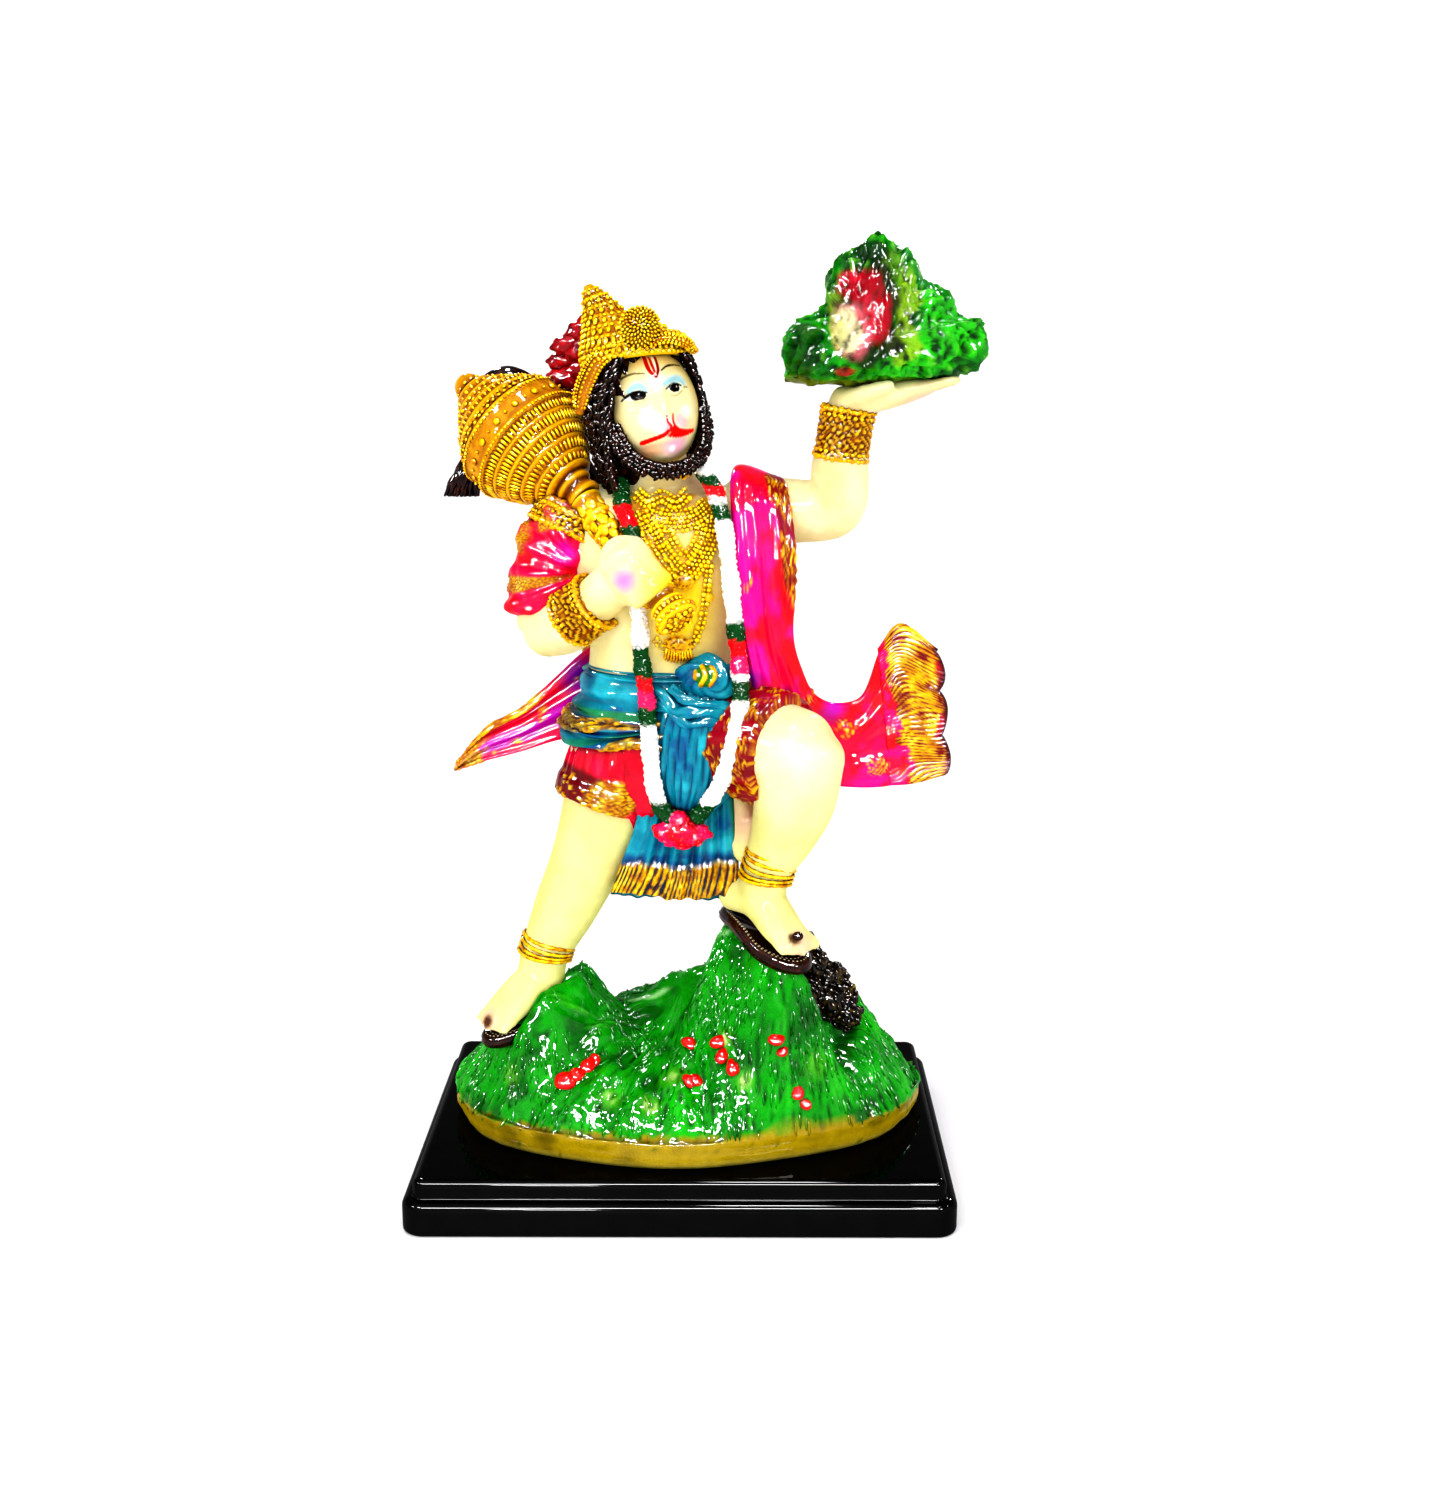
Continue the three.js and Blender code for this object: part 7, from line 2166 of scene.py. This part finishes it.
left_short = leg_of_shorts([(-10.6, 0.2, 71.6, 9.0, 11.0), (-12.3, -0.6, 67.4, 9.7, 10.9),
                            (-14.2, -1.2, 61.6, 9.5, 10.4)], (1, 0, 0), 8)
right_short = leg_of_shorts([(4, -1, 73, 11, 12), (10, -6.4, 75.0, 10.6, 10.8),
                             (18.4, -13.4, 74.6, 9.7, 9.7)], (0, 0, 1), 8)
seat = loft([(-4.6, 0.9, 58, 11.4, 9.4), (-4.6, 0.9, 62.4, 14.4, 11.6), (-3.8, 0.7, 69, 17.2, 13.0),
             (-3.4, 0.6, 75, 17.2, 12.4)], 96, 36, caps=3, reach=0.2,
            relief=rippled((0.012, 13, 6)))
for one, seed in ((left_short, 231), (right_short, 232), (seat, 233)):
    wires = filigree(one["points"], 1.5, seed)
    noise = crumble(one["points"], 5.0, seed + 5)
    if one is left_short:
        hem = smoothstep(one["marks"]["along"], 0.52, 0.6)
        scroll = spot_on(one["points"] * (1, 0.3, 1.3), (-12.6, -3.9, 84.2), 5.6, 0.35)
        specks = hem * spot_on(one["points"] * (1, 0.3, 1), (-20.0, -2.4, 65.2), 4.6, 0.5) * smoothstep(
            lattice(one["points"], 0.8, 7), 0.25, 0.5)
        gold_here = np.maximum(scroll * (0.35 + 0.65 * wires), specks)
        umber = np.maximum(hem * smoothstep(-one["points"][:, 0], 10, 15), 0.9 * scroll)
    elif one is right_short:
        hem = smoothstep(one["marks"]["along"], 0.4, 0.55)
        gold_here = hem * wires * smoothstep(crumble(one["points"], 1.6, seed), -0.15, 0.25)
        umber = 0.2 + 0.5 * hem
    else:
        gold_here = umber = np.zeros(len(wires))
    gold_work(one, gold_here, 0.36)
    cloth_colour(
        one, "#DC0430", (0.7 * smoothstep(noise, 0.1, 0.8), "#FF1050"),
        (0.7 * smoothstep(-noise, 0.1, 0.7), "#9A0018"), (0.9 * umber, "#5E0408"),
    )
piece("shorts", [left_short, right_short, seat], "crimson", hollow=(1.0, 0.2))

# %% [markdown]
# ## The scarf
# One long scarf goes round the back and over both arms. In front of the right shoulder it
# falls in long folds and swings out behind the hip to a stiff gold fringe; its other end
# flies out on the left. The candy pink runs to violet and red in stripes along the folds.

# %% The front fall
FRONT_ROWS = [
    [(10.6, 6, 117), (19.5, 5, 115)], [(9.6, 1.6, 123), (18.8, 1.4, 121)],
    [(9, -6.4, 121.5), (19.6, -5, 118)], [(9.4, -10, 113), (20.6, -7, 111)],
    [(10, -11.2, 103), (20.6, -8, 103)], [(11.4, -11.4, 94), (20.4, -8, 94)],
    [(13.4, -10, 84), (22, -5.6, 88)], [(16.6, -5, 73), (24.6, -1.4, 82.5)],
    [(22.6, 1, 65.6), (29, 3, 79.8)], [(31, 4.4, 63.2), (33.6, 5, 80.6)],
    [(38.4, 5.4, 63), (37, 6, 89.2)], [(42.4, 5.4, 64), (39.4, 6, 93)],
]


def long_folds(share, along):
    """Long folds that start below the shoulder."""
    folds = (0.36 * np.cos(17 * share + 2.2 * along) + 0.2 * np.cos(31 * share + 3 * np.sin(7 * along))
             + 0.05 * np.cos(70 * share + 9 * along))
    return smoothstep(along, 0.1, 0.34) * folds


front_fall = drape(FRONT_ROWS, folds=0.5, depth=0.5, points=60, steps=144, lift=long_folds)
fall_share, fall_along = share_along(front_fall)
fall_front = smoothstep(front_fall["marks"]["front"], -0.5, 0.5)
fall_noise = crumble(front_fall["points"], 5.0, 241)
stripe = fall_share + 0.1 * np.sin(7 * fall_along + 1) + 0.12 * fall_noise
fall_wires = filigree(front_fall["points"], 1.5, 9)
print("front fall:", len(fall_share), "points")

# %% Gold and colours on the front fall
MOTIFS = [((14.2, -9, 99), 2.2), ((17.2, -8, 93.6), 2.2), ((22.8, -1.4, 82.5), 2.4), ((30.8, 2.4, 75), 2.4),
          ((36.9, 3.4, 67.4), 2.6), ((12.2, -11, 104), 1.5), ((27.0, 0, 68.0), 1.8)]
# Each splash of colour: strength, place, reach, softness and colour.
SPLASHES = [(0.9, (11.6, -10, 86.5), 4.6, 0.8, "#3414A8"), (0.8, (18.0, -5, 83.0), 4.6, 0.9, "#C012D8"),
            (0.75, (28.0, 2, 79.0), 4.2, 0.9, "#C012D8"), (0.8, (30.0, 4, 66.0), 5.0, 0.9, "#F20A14")]
motifs = spots_on(front_fall["points"], MOTIFS, 0.3)
trim_starts = 0.56 + 0.9 * np.clip(fall_along - 0.14, 0, 0.3)
trim_ends = smoothstep(fall_along + 0.25 * (1 - fall_share), 0.38, 0.42)
shoulder_trim = smoothstep(fall_share + 0.06 * fall_noise - trim_starts, 0, 0.06) * (
    1 - trim_ends) * smoothstep(fall_along, 0.07, 0.11)
fall_gold = np.maximum(motifs * smoothstep(fall_wires, 0.3, 0.7),
                       shoulder_trim * fall_wires * smoothstep(fall_noise, -0.6, 0.0))
raised(front_fall, 0.4 * fall_gold * fall_front)
cloth_colour(
    front_fall, "#F00648",
    (0.8 * band(stripe, -0.2, 0.16, 0.1), "#E00CA8"), (0.9 * smoothstep(stripe, 0.52, 0.72), "#E8061A"),
    (0.8 * smoothstep(fall_noise, 0.1, 0.6), "#EA0618"), (0.8 * smoothstep(-fall_noise, 0.2, 0.7), "#F60890"),
    *((strength * spot_on(front_fall["points"], *spot), code) for strength, *spot, code in SPLASHES),
    (0.8 * shoulder_trim, "#6A1006"),
)
front_fall["marks"]["gilt"] = fall_gold

# %% The stiff gold fringe at its end
FRINGE_ROWS = [
    [(39.4, 5.4, 63.2), (36.6, 6, 89.6)], [(43.6, 5.2, 63.6), (40.6, 6, 94.4)],
    [(50.6, 5, 65.4), (48.4, 5.6, 89.6)],
]


def fringe_rays(share, along):
    """Stiff threads that fan out to the free edge."""
    return np.abs(np.sin(112 * share + 9 * along * (share - 0.6) + 3.0 * np.sin(13 * share + 5 * along)))


fringe = drape(
    FRINGE_ROWS, folds=3, depth=0.5, points=180, steps=34,
    lift=lambda share, along: 0.5 * np.cos(2 * np.pi * 4 * share + 1.5 * np.sin(6 * share)) * along,
    emboss=lambda share, along: 0.34 * fringe_rays(share, along))
fringe_share, fringe_along = share_along(fringe)
# The free edge is cut in three wide scallops.
scallop = np.abs(np.sin(np.pi * (3 * fringe_share + 0.1 * np.sin(9 * fringe_share)))) ** 0.6
fringe["points"][:, 0] += smoothstep(fringe_along, 0.6, 1.0) * (1.5 * scallop - 0.9)
fringe_noise = crumble(fringe["points"], 1.8, 261)
inner_line = 0.46 - 0.4 * fringe_share + 0.06 * np.sin(14 * fringe_share) + 0.16 * fringe_noise
fringe_end = smoothstep(fringe_along, inner_line, inner_line + 0.05)
bright_rays = smoothstep(fringe_rays(fringe_share, fringe_along) + 0.7 * fringe_noise, 0.35, 0.75)
fringe["marks"]["gilt"] = fringe_end * bright_rays * (
    1 - smoothstep(fringe_along + 0.06 * fringe_noise, 0.9, 0.95))
cloth_colour(fringe, "#EA0618", (0.9 * fringe_end, "#6A1004"),
             (0.8 * smoothstep(fringe_noise, -0.1, 0.5) * (1 - fringe_end), "#F60890"),
             (0.8 * fringe_end * smoothstep(fringe_noise, 0.2, 0.7), "#C81018"),
             (0.9 * smoothstep(fringe_along, 0.93, 0.98), "#2A0804"))
print("fringe:", len(fringe_share), "points")

# %% The left end
LEFT_END_ROWS = [
    [(-10, 9, 92), (-10, 10, 74)], [(-17.4, 7.6, 89.6), (-17.6, 7.6, 72)],
    [(-24, 6.4, 84), (-23, 6.4, 72)], [(-30, 5.4, 78.6), (-31, 5.4, 69.8)],
    [(-37, 5, 74.6), (-38, 5, 68)], [(-43, 5, 67.8), (-43.2, 5, 66.4)],
]
left_end = drape(LEFT_END_ROWS, folds=2, depth=0.7, points=54, steps=76,
                 lift=lambda share, along: 0.3 * np.cos(30 * share + 4 * along))
end_share, end_along = share_along(left_end)
end_noise = crumble(left_end["points"], 4.0, 271)
end_wires = filigree(left_end["points"], 1.7, 3)
end_trim = np.maximum(band(end_share, -0.1, 0.12, 0.05) * smoothstep(end_along, 0.45, 0.55),
                      smoothstep(end_along + 0.1 * end_noise, 0.8, 0.86))
end_gold = np.maximum(end_trim * (0.45 + 0.55 * end_wires),
                      smoothstep(lattice(left_end["points"], 2.4, 281), 0.5, 0.66) * end_wires)
gold_work(left_end, end_gold, 0.3)
cloth_colour(
    left_end, "#EE0858", (0.8 * band(end_share + 0.1 * end_noise, 0.5, 0.75, 0.1), "#C010D0"),
    (0.8 * band(end_share + 0.1 * end_noise, 0.1, 0.32, 0.1), "#E00C2E"),
    (0.8 * spot_on(left_end["points"], (-19, 7, 84), 6, 0.8), "#5A12B4"), (0.8 * end_trim, "#7A1208"),
)
print("left end:", len(end_share), "points")

# %% The cape on the back
BACK_ROWS = [
    [(18.5, 4, 120), (-22, 4, 118)], [(18.5, 10.4, 113), (-24, 9.4, 111)],
    [(17, 12, 102), (-21, 11, 101)], [(15, 12, 92), (-19, 11.6, 91)],
    [(16, 15.4, 82), (-20, 15.4, 82)], [(17, 16.4, 72), (-19, 16.4, 71)],
]
back_cape = drape(BACK_ROWS, folds=5, depth=0.3, thick=3, points=84, steps=60,
                  lift=lambda share, along: smoothstep(along, 0.05, 0.4) * (
                      0.4 * np.cos(31 * share) + 0.3 * np.cos(46 * share + 5 * np.sin(4 * along))))
cape_share, cape_along = share_along(back_cape)
cape_noise = crumble(back_cape["points"], 7.0, 291)
cape_wires = filigree(back_cape["points"], 2.2, 5)
cape_sides = np.maximum(band(cape_share, -1, 0.04, 0.02), band(cape_share, 0.96, 2, 0.02))
cape_trim = np.maximum(smoothstep(cape_along, 0.9, 0.93), cape_sides)
cape_gold = np.maximum(cape_trim * (0.4 + 0.6 * cape_wires),
                       smoothstep(lattice(back_cape["points"], 4.0, 301), 0.56, 0.7) * cape_wires)
gold_work(back_cape, cape_gold, 0.3)
cape_stripes = np.sin(16 * cape_share + cape_noise)
cloth_colour(
    back_cape, "#F00A7C", (0.7 * smoothstep(cape_stripes, 0.4, 0.9), "#C012C8"),
    (0.7 * smoothstep(-cape_stripes, 0.5, 0.9), "#E60E2A"), (0.8 * cape_trim, "#7A1208"),
)
print("cape:", len(cape_share), "points")

# %% The sleeve
sleeve = loft([(-18.5, 1.6, 115.6, 6.4, 7), (-21.6, 1, 110.6, 7, 7.2), (-24.2, -0.2, 104, 6.6, 7),
               (-25.2, -1.4, 97.4, 6, 6.2)], 110, 100, across=(0, 1, 0), caps=3, reach=0.2,
              relief=rippled((0.06, 3, 12), (0.035, 6, -21), (0.015, 15, 34)))
# The cloth is pulled to the wrist, so its folds fan out from there.
from_wrist = sleeve["points"] - (-16.6, 0, 105.4)
fan = np.arctan2(from_wrist[:, 2], -from_wrist[:, 0])
fan_reach = smoothstep(np.hypot(from_wrist[:, 0], from_wrist[:, 2]), 1.5, 7)
fan_reach = fan_reach * smoothstep(-from_wrist[:, 1], -3, 2)
raised(sleeve, fan_reach * (0.42 * np.cos(13 * fan + 0.6 * np.sin(5 * fan)) + 0.14 * np.cos(31 * fan)))
sleeve_noise = crumble(sleeve["points"], 4.0, 311)
slant = sleeve["points"][:, 2] - 0.42 * (sleeve["points"][:, 0] + 24) + 0.5 * sleeve_noise
sleeve_wires = filigree(sleeve["points"], 1.4, 6)
sleeve_trim = np.maximum.reduce([
    smoothstep(slant, 112.6, 113.4) * smoothstep(sleeve_noise, -0.5, 0.1),
    band(fan, -0.24, -0.08, 0.05) * fan_reach,
    1 - smoothstep(slant, 96.4, 97.2), 0.9 * spot_on(sleeve["points"], (-28.6, -3, 110.6), 3.0, 0.5)])
sleeve_gold = sleeve_trim * (0.3 + 0.7 * sleeve_wires)
gold_work(sleeve, sleeve_gold, 0.35)
cloth_colour(
    sleeve, "#EE0650", (0.85 * smoothstep(sleeve_noise, 0.0, 0.6), "#E0061A"),
    (0.7 * smoothstep(-sleeve_noise, 0.3, 0.8), "#B00424"), (0.8 * sleeve_trim, "#6A1006"),
    (0.8 * spot_on(sleeve["points"], (-20.5, -6.4, 109), 3.4, 0.8), "#F01AC0"),
)
piece("scarf_front", [front_fall, fringe], "cloth", hollow=(1.2, 0.3))
piece("scarf_back", [back_cape, left_end, sleeve], "cloth", hollow=(1.2, 0.3))

# %% [markdown]
# ## The flower garland
# A garland is a string threaded through flowers. A soft core follows a line of points, and
# the tree dots petals over the core with a fixed seed. Each strand changes from white
# jasmine to green leaves and red roses, so the core takes its colours from a list of
# stretches along the line, and each petal takes the colour under it.

# %% The garland tree
garland_tree, given = new_tree("garland", [
    ("Petals", "NodeSocketFloat"), ("Petal", "NodeSocketVector"), ("Seed", "NodeSocketInt"),
    ("Paint", "NodeSocketMaterial"),
])
petal_spin = node(garland_tree, "FunctionNodeRandomValue", {
    0: (-1.0, -1.0, -1.0), 1: (1.0, 1.0, 1.0), "Seed": given["Seed"],
}, data_type="FLOAT_VECTOR").outputs[0]
scattered(garland_tree, given, given["Petals"], lambda out: petal_spin, given["Petal"], 0.7, 1.25)
print("garland tree:", len(garland_tree.nodes), "nodes")

# %% Strands and their stretches of colour
WHITE, LEAF, ROSE, PINK = "#FBFBF6", "#06501E", "#EE0E1E", "#F62A74"
LEFT_STRAND = [
    (-10.6, -4.5, 121.4), (-9.9, -8.6, 117.4), (-8.4, -11, 113.6), (-7.4, -12, 105.5),
    (-7.1, -12, 98.4), (-6.8, -12.2, 91.6), (-6, -13.6, 85), (-5.4, -14.4, 77),
    (-4.8, -14.4, 69), (-3.2, -13.4, 63.4), (-1.8, -13, 61.8),
]
RIGHT_STRAND = [
    (4.4, -5, 123.6), (6.4, -8.6, 120), (8, -11, 114), (9, -12, 106), (9.8, -12.4, 98),
    (10.6, -13.0, 91), (10.9, -15.6, 85.4), (10.4, -17.4, 81), (9.6, -18.6, 77.0), (8.6, -18.6, 73.6),
    (7.4, -17.4, 69.6), (5.0, -14.8, 65.0), (3.0, -13.4, 62.2),
]
LEFT_STRETCHES = [(200, LEAF), (118.1, ROSE), (114.5, LEAF), (111.8, WHITE),
                  (93.2, LEAF), (88.0, ROSE), (85.6, PINK), (82.6, LEAF), (79.6, WHITE), (65.0, LEAF)]
RIGHT_STRETCHES = [(200, WHITE), (123.0, LEAF), (121.4, ROSE), (119.6, WHITE), (118.4, LEAF),
                   (115.6, WHITE), (97.6, LEAF), (94.6, ROSE), (91.8, PINK), (88.8, WHITE),
                   (87.6, LEAF), (84.4, WHITE), (65.2, LEAF)]
garland_forms = []
for line, stretches in ((LEFT_STRAND, LEFT_STRETCHES), (RIGHT_STRAND, RIGHT_STRETCHES)):
    core = loft([(*place, 1.42, 1.42) for place in line], 18, 150,
                relief=rippled((0.08, 0, 70), (0.04, 5, 90)))
    heights = core["points"][:, 2]
    colour = np.tile(linear(WHITE), (len(heights), 1))
    for (top, code), (low, _) in zip(stretches, stretches[1:] + [(0, WHITE)]):
        colour[(heights <= top) & (heights > low)] = linear(code)
    core["marks"] = {"paint": colour}
    garland_forms.append(core)

# %% The rose at its foot, and the petals
bloom_heart = lump((0.2, -13.4, 59.0), (5.2, 2.5, 2.8), (0, 4, 0), 60,
                   lambda x, y, z: 1 + 0.06 * (1 - y * y) * np.cos(9 * np.arctan2(z, x))
                   + 0.05 * rough(9 * x, 9 * y, 9 * z) - 0.3 * np.clip(-z, 0, 1) * np.abs(x))
bloom_top = lump((-0.4, -13.6, 61.8), (2.0, 1.8, 1.4), sides=30)
for one in (bloom_heart, bloom_top):
    mix = smoothstep(lattice(one["points"], 1.6, 331), -0.2, 0.5)
    # Pale specks on the rose stand for glints: painted highlights.
    painted_glint = smoothstep(lattice(one["points"], 0.7, 332), 0.55, 0.75)
    one["marks"] = {"paint": painted_over("#E60A26", (mix, "#F8206A"), (painted_glint, "#FFC8D8"))}
garland = piece("garland_core", [*garland_forms, bloom_heart, bloom_top], "petals")
placed(grown("garland_petals", garland_tree, garland.data.copy(), {
    "Petals": 1.2 / MM**2, "Petal": (0.55 * MM, 0.4 * MM, 0.26 * MM), "Seed": 12,
    "Paint": PAINTS["petals"],
}))

# %% [markdown]
# ## Jewellery
# Collar, necklaces, bangles and anklets are all beads on a line or rings round a limb. The
# stud tree sets the beads and studs, on lines that lie close over the chest and arms, and the
# strand tree sweeps the wires round the ankles.

# %% Necklaces on the chest
def bead_line(line, spacing, size, lift=0.4, offsets=(0.0,)):
    """Rows of beads along a line over the chest, given as (x, z) points."""
    rows = []
    fine = line_through([(x, 0, z) for x, z in line], np.linspace(0, 1, 120))
    ways = unit(np.gradient(fine, axis=0))
    across = np.stack([ways[:, 2], 0 * ways[:, 0], -ways[:, 0]], -1)
    for offset in offsets:
        path = fine + across * offset
        places, along = along_line([on_chest(x, z, lift) for x, _, z in path[::4]], spacing)
        middle = np.interp(places[:, 2], np.array(TORSO)[:, 2], np.array(TORSO)[:, 0])
        outs = unit(np.stack([(places[:, 0] - middle) / 12, -np.ones(len(places)), 0.3 + 0 * middle], -1))
        rows.append((places, outs, along, size))
    return rows


chest_rows = [
    *bead_line(COLLAR, 0.85, (0.46, 0.44, 0.46), 0.5, (-0.85, 0.0, 0.85)),
    *bead_line(YOKE, 0.8, (0.38, 0.36, 0.38), 0.3, (-1.4, -0.7, 0.0, 0.7, 1.4, 2.1)),
    *bead_line(V_NECKLACE, 0.85, (0.44, 0.42, 0.44), 0.4, (-1.4, -0.7, 0.0, 0.7, 1.4)),
    *bead_line(INNER_CHAIN, 0.8, (0.36, 0.36, 0.38), 0.3, (-0.4, 0.4)),
    *bead_line(LONG_CHAIN, 0.85, (0.44, 0.5, 0.42), 0.4, (0.0, 0.8)),
    *bead_line(LEFT_CHAIN, 0.85, (0.42, 0.42, 0.42), 0.4, (-0.4, 0.4)),
]
studs("chest_beads", chest_rows, "leaf", roundness=1, unevenness=0.42, seed=9)

# %% The pendant, its tassels and the clasps
def petalled(count, ring_count, depth):
    """Petals round a lump of gold, with rings between its middle and its rim."""
    return lambda x, y, z: (1 + depth * np.cos(count * np.arctan2(z, x))
                            - depth * np.cos(ring_count * np.hypot(x, z)))


PENDANT_PLACE = on_chest(-0.2, 93.4, 0.8)
pendant = lump(PENDANT_PLACE, (2.6, 1.1, 1.7), (0, 8, 0), 36, petalled(9, 14, 0.1))
drop = lump(on_chest(1.0, 104.6, 0.5), (1.8, 0.9, 1.5), sides=32, bulge=petalled(8, 12, 0.08))
clasp = lump((0.6, -6.6, 123.4), (1.6, 0.8, 1.1), (0, -12, 0), 26, lambda x, y, z: 1 + 0.12 * np.cos(7 * x))
chain_knob = lump(on_chest(5.2, 101.6, 0.5), (0.9, 0.7, 0.9), sides=20)
tassel_lines = []
for dx in np.linspace(-2.0, 2.0, 10):
    drops = [(dx, -0.4, -0.6), (1.15 * dx, -0.5, -1.9 - 0.3 * math.cos(dx)),
             (1.25 * dx, -0.1, -3.2 + 0.12 * dx * dx)]
    tassel_lines.append(([np.array(PENDANT_PLACE) + drop_by for drop_by in drops], (0.34, 0.38, 0.2)))
strands("pendant_tassels", tassel_lines, "gold", steps=8, lobes=3, groove=0.75, twist=4.0)

# %% Bangles and armlet
def limb_ring(start, towards, radius, width, rows):
    """A cuff round a limb: a turned band with raised edges and rows of studs between."""
    half = width / 2
    profile = [(0, -half), (radius, -half), (radius + 0.6, -half + 0.2), (radius + 0.6, -half + 0.8),
               (radius + 0.3, -half + 1.1), (radius + 0.3, half - 1.1), (radius + 0.6, half - 0.8),
               (radius + 0.6, half - 0.2), (radius, half), (0, half)]
    frame_of = axis_of(start, towards)
    middle = (half - 1.5) if rows > 1 else 0
    heights = np.linspace(-middle, middle, rows)
    count = int(2 * np.pi * radius / 1.1)
    studs_of = [ring_row(frame_of, height, radius + 0.4, count, (0.46, 0.42, 0.36), 0.5 * (k % 2))
                for k, height in enumerate(heights)]
    edge_beads = [ring_row(frame_of, height, radius + 0.6, int(1.4 * count), (0.34, 0.3, 0.26))
                  for height in (-half + 0.5, half - 0.5)]
    cuff = turned(profile, start, towards, sides=96, step=0.36, rounds=1)
    return raised(cuff, 0.34 * filigree(cuff["points"], 2.2, rows)), studs_of + edge_beads


cuffs, cuff_rows = [], []
# Each cuff: its middle, a place further along the limb, its radius, width and rows of studs.
CUFFS = [
    ((29.3, -2.9, 130.0), (30, -3, 134.6), 4.35, 9.4, 2),
    ((-17.2, -8.4, 99.2), (-12.6, -11.2, 102.8), 4.9, 7.4, 2),
    ((-20.0, 1.4, 113.2), (-21.6, 0.8, 110), 7.2, 4.2, 2),
]
for start, towards, radius, width, rows in CUFFS:
    middle = np.array(start)
    cuff, more = limb_ring(middle, towards, radius, width, rows)
    cuffs.append(cuff)
    cuff_rows += more
studs("cuff_studs", cuff_rows, "gold", roundness=1, unevenness=0.12, seed=10)

# %% Anklets
def wire_ring(place, towards, radius, sway, thick=0.42):
    """One loose wire round an ankle."""
    frame_of = axis_of(place, towards)
    turns = np.linspace(0, 2 * np.pi, 25)
    height = sway * np.sin(turns + 1.7 * sway) + 0.25 * np.sin(2 * turns)
    places, _ = around(frame_of, turns, height, radius + 0.15 * np.cos(3 * turns))
    return list(places), thick


anklet_lines = []
for place, towards, radius, heights in [
    ((-25.6, -4.4, 34), (-24.6, -4.2, 37), 4.95, (-1.5, -0.6, 0.3, 1.2)),
    ((16, -12.6, 52.4), (17, -12.8, 56), 4.75, (-2.2, -1.2, 0.0, 1.2, 2.2)),
]:
    axis = axis_of(place, towards)[1]
    for k, height in enumerate(heights):
        middle = np.array(place) + axis * height
        anklet_lines.append(wire_ring(middle, middle + axis, radius, 0.5 - 0.35 * k))
strands("anklet_wires", anklet_lines, "gold", steps=48, lobes=4, groove=0.8, twist=30.0)
jewels = [gilded(one, 1.2, 0.2, "#F8C014", "#A85E08") for one in (pendant, drop, clasp, chain_knob, *cuffs)]
piece("jewellery", jewels, "gilded", hollow=(0.8, 0.14))

# %% [markdown]
# ## Sandals
# Each foot stands on a leather sole with a welt stitched all round it in pale thread. The
# stitches are studs set along the edge of the sole.

# %% Soles and stitches
# How far each layer of the sole shrinks inwards, and its height.
SOLE_PROFILE = [(0.8, 0), (0.3, 0), (0.06, 0.15), (0, 0.5), (0, 0.95), (-0.03, 1.15), (0, 1.4),
                (0, 1.9), (0.06, 2.25), (0.12, 2.3), (0.2, 2.15), (0.9, 2.1)]
SOLE_HEIGHT = 2.4


def sole(stations, half_widths, thick):
    """A sole under a foot, round in heel and toe and thick at the rim, and its stitches."""
    heel, tip, forward, sideways, up = foot_frame(stations)
    marks = turns_round(72)
    shares = 0.5 - 0.5 * np.cos(marks)
    halves = np.interp(shares, np.linspace(0, 1, len(half_widths)), half_widths)
    drops = np.interp(shares, np.linspace(0, 1, 4), [station[4] + 0.1 for station in stations])
    line = line_through([station[:3] for station in stations], shares)
    past_ends = 2.9 * smoothstep(shares, 0.5, 1) - 1.4 * (1 - smoothstep(shares, 0, 0.4))
    line = line + forward * past_ends[:, None]
    outline = line + sideways * (halves * np.sin(marks))[:, None] - up * drops[:, None]
    layers = []
    for shrink, height in SOLE_PROFILE:
        inwards = (outline.mean(0) - outline) * shrink
        layers.append(outline + inwards + up * (height - SOLE_HEIGHT) * thick / SOLE_HEIGHT)
    rings = np.array(layers)
    rows = []
    for layer, inward in ((9, 0.0), (10, 0.02)):
        closed = rings[layer] + (rings[layer].mean(0) - rings[layer]) * inward
        places, ways = along_line(closed, 0.8, True)
        rows.append((places, up, ways, (0.24, 0.12, 0.14)))
    return skin_over(rings), rows


# For each foot, half the sole's width at even steps from heel to toe.
SOLES = ((LEFT_FOOT, (3.2, 3.4, 3.8, 4.4, 4.6, 4.2)), (RIGHT_FOOT, (4.2, 4.6, 5.2, 5.6, 5.4, 4.8)))
soles, stitch_rows = [], []
for stations, half_widths in SOLES:
    one, more = sole(stations, half_widths, 2.8)
    soles.append(one)
    stitch_rows += more
piece("sandals", soles, "leather", hollow=(0.8, 0.2))
studs("sandal_stitches", stitch_rows, "thread", roundness=1, unevenness=0.1, seed=13)
toe_loop = lump((21.2, -21.2, 42.2), (1.0, 0.9, 0.8), (20, 0, 0), 22)
piece("toe_ring", [toe_loop], "leather")

# %% Sizes
print("triangles in all:", sum(made_triangles.values()))
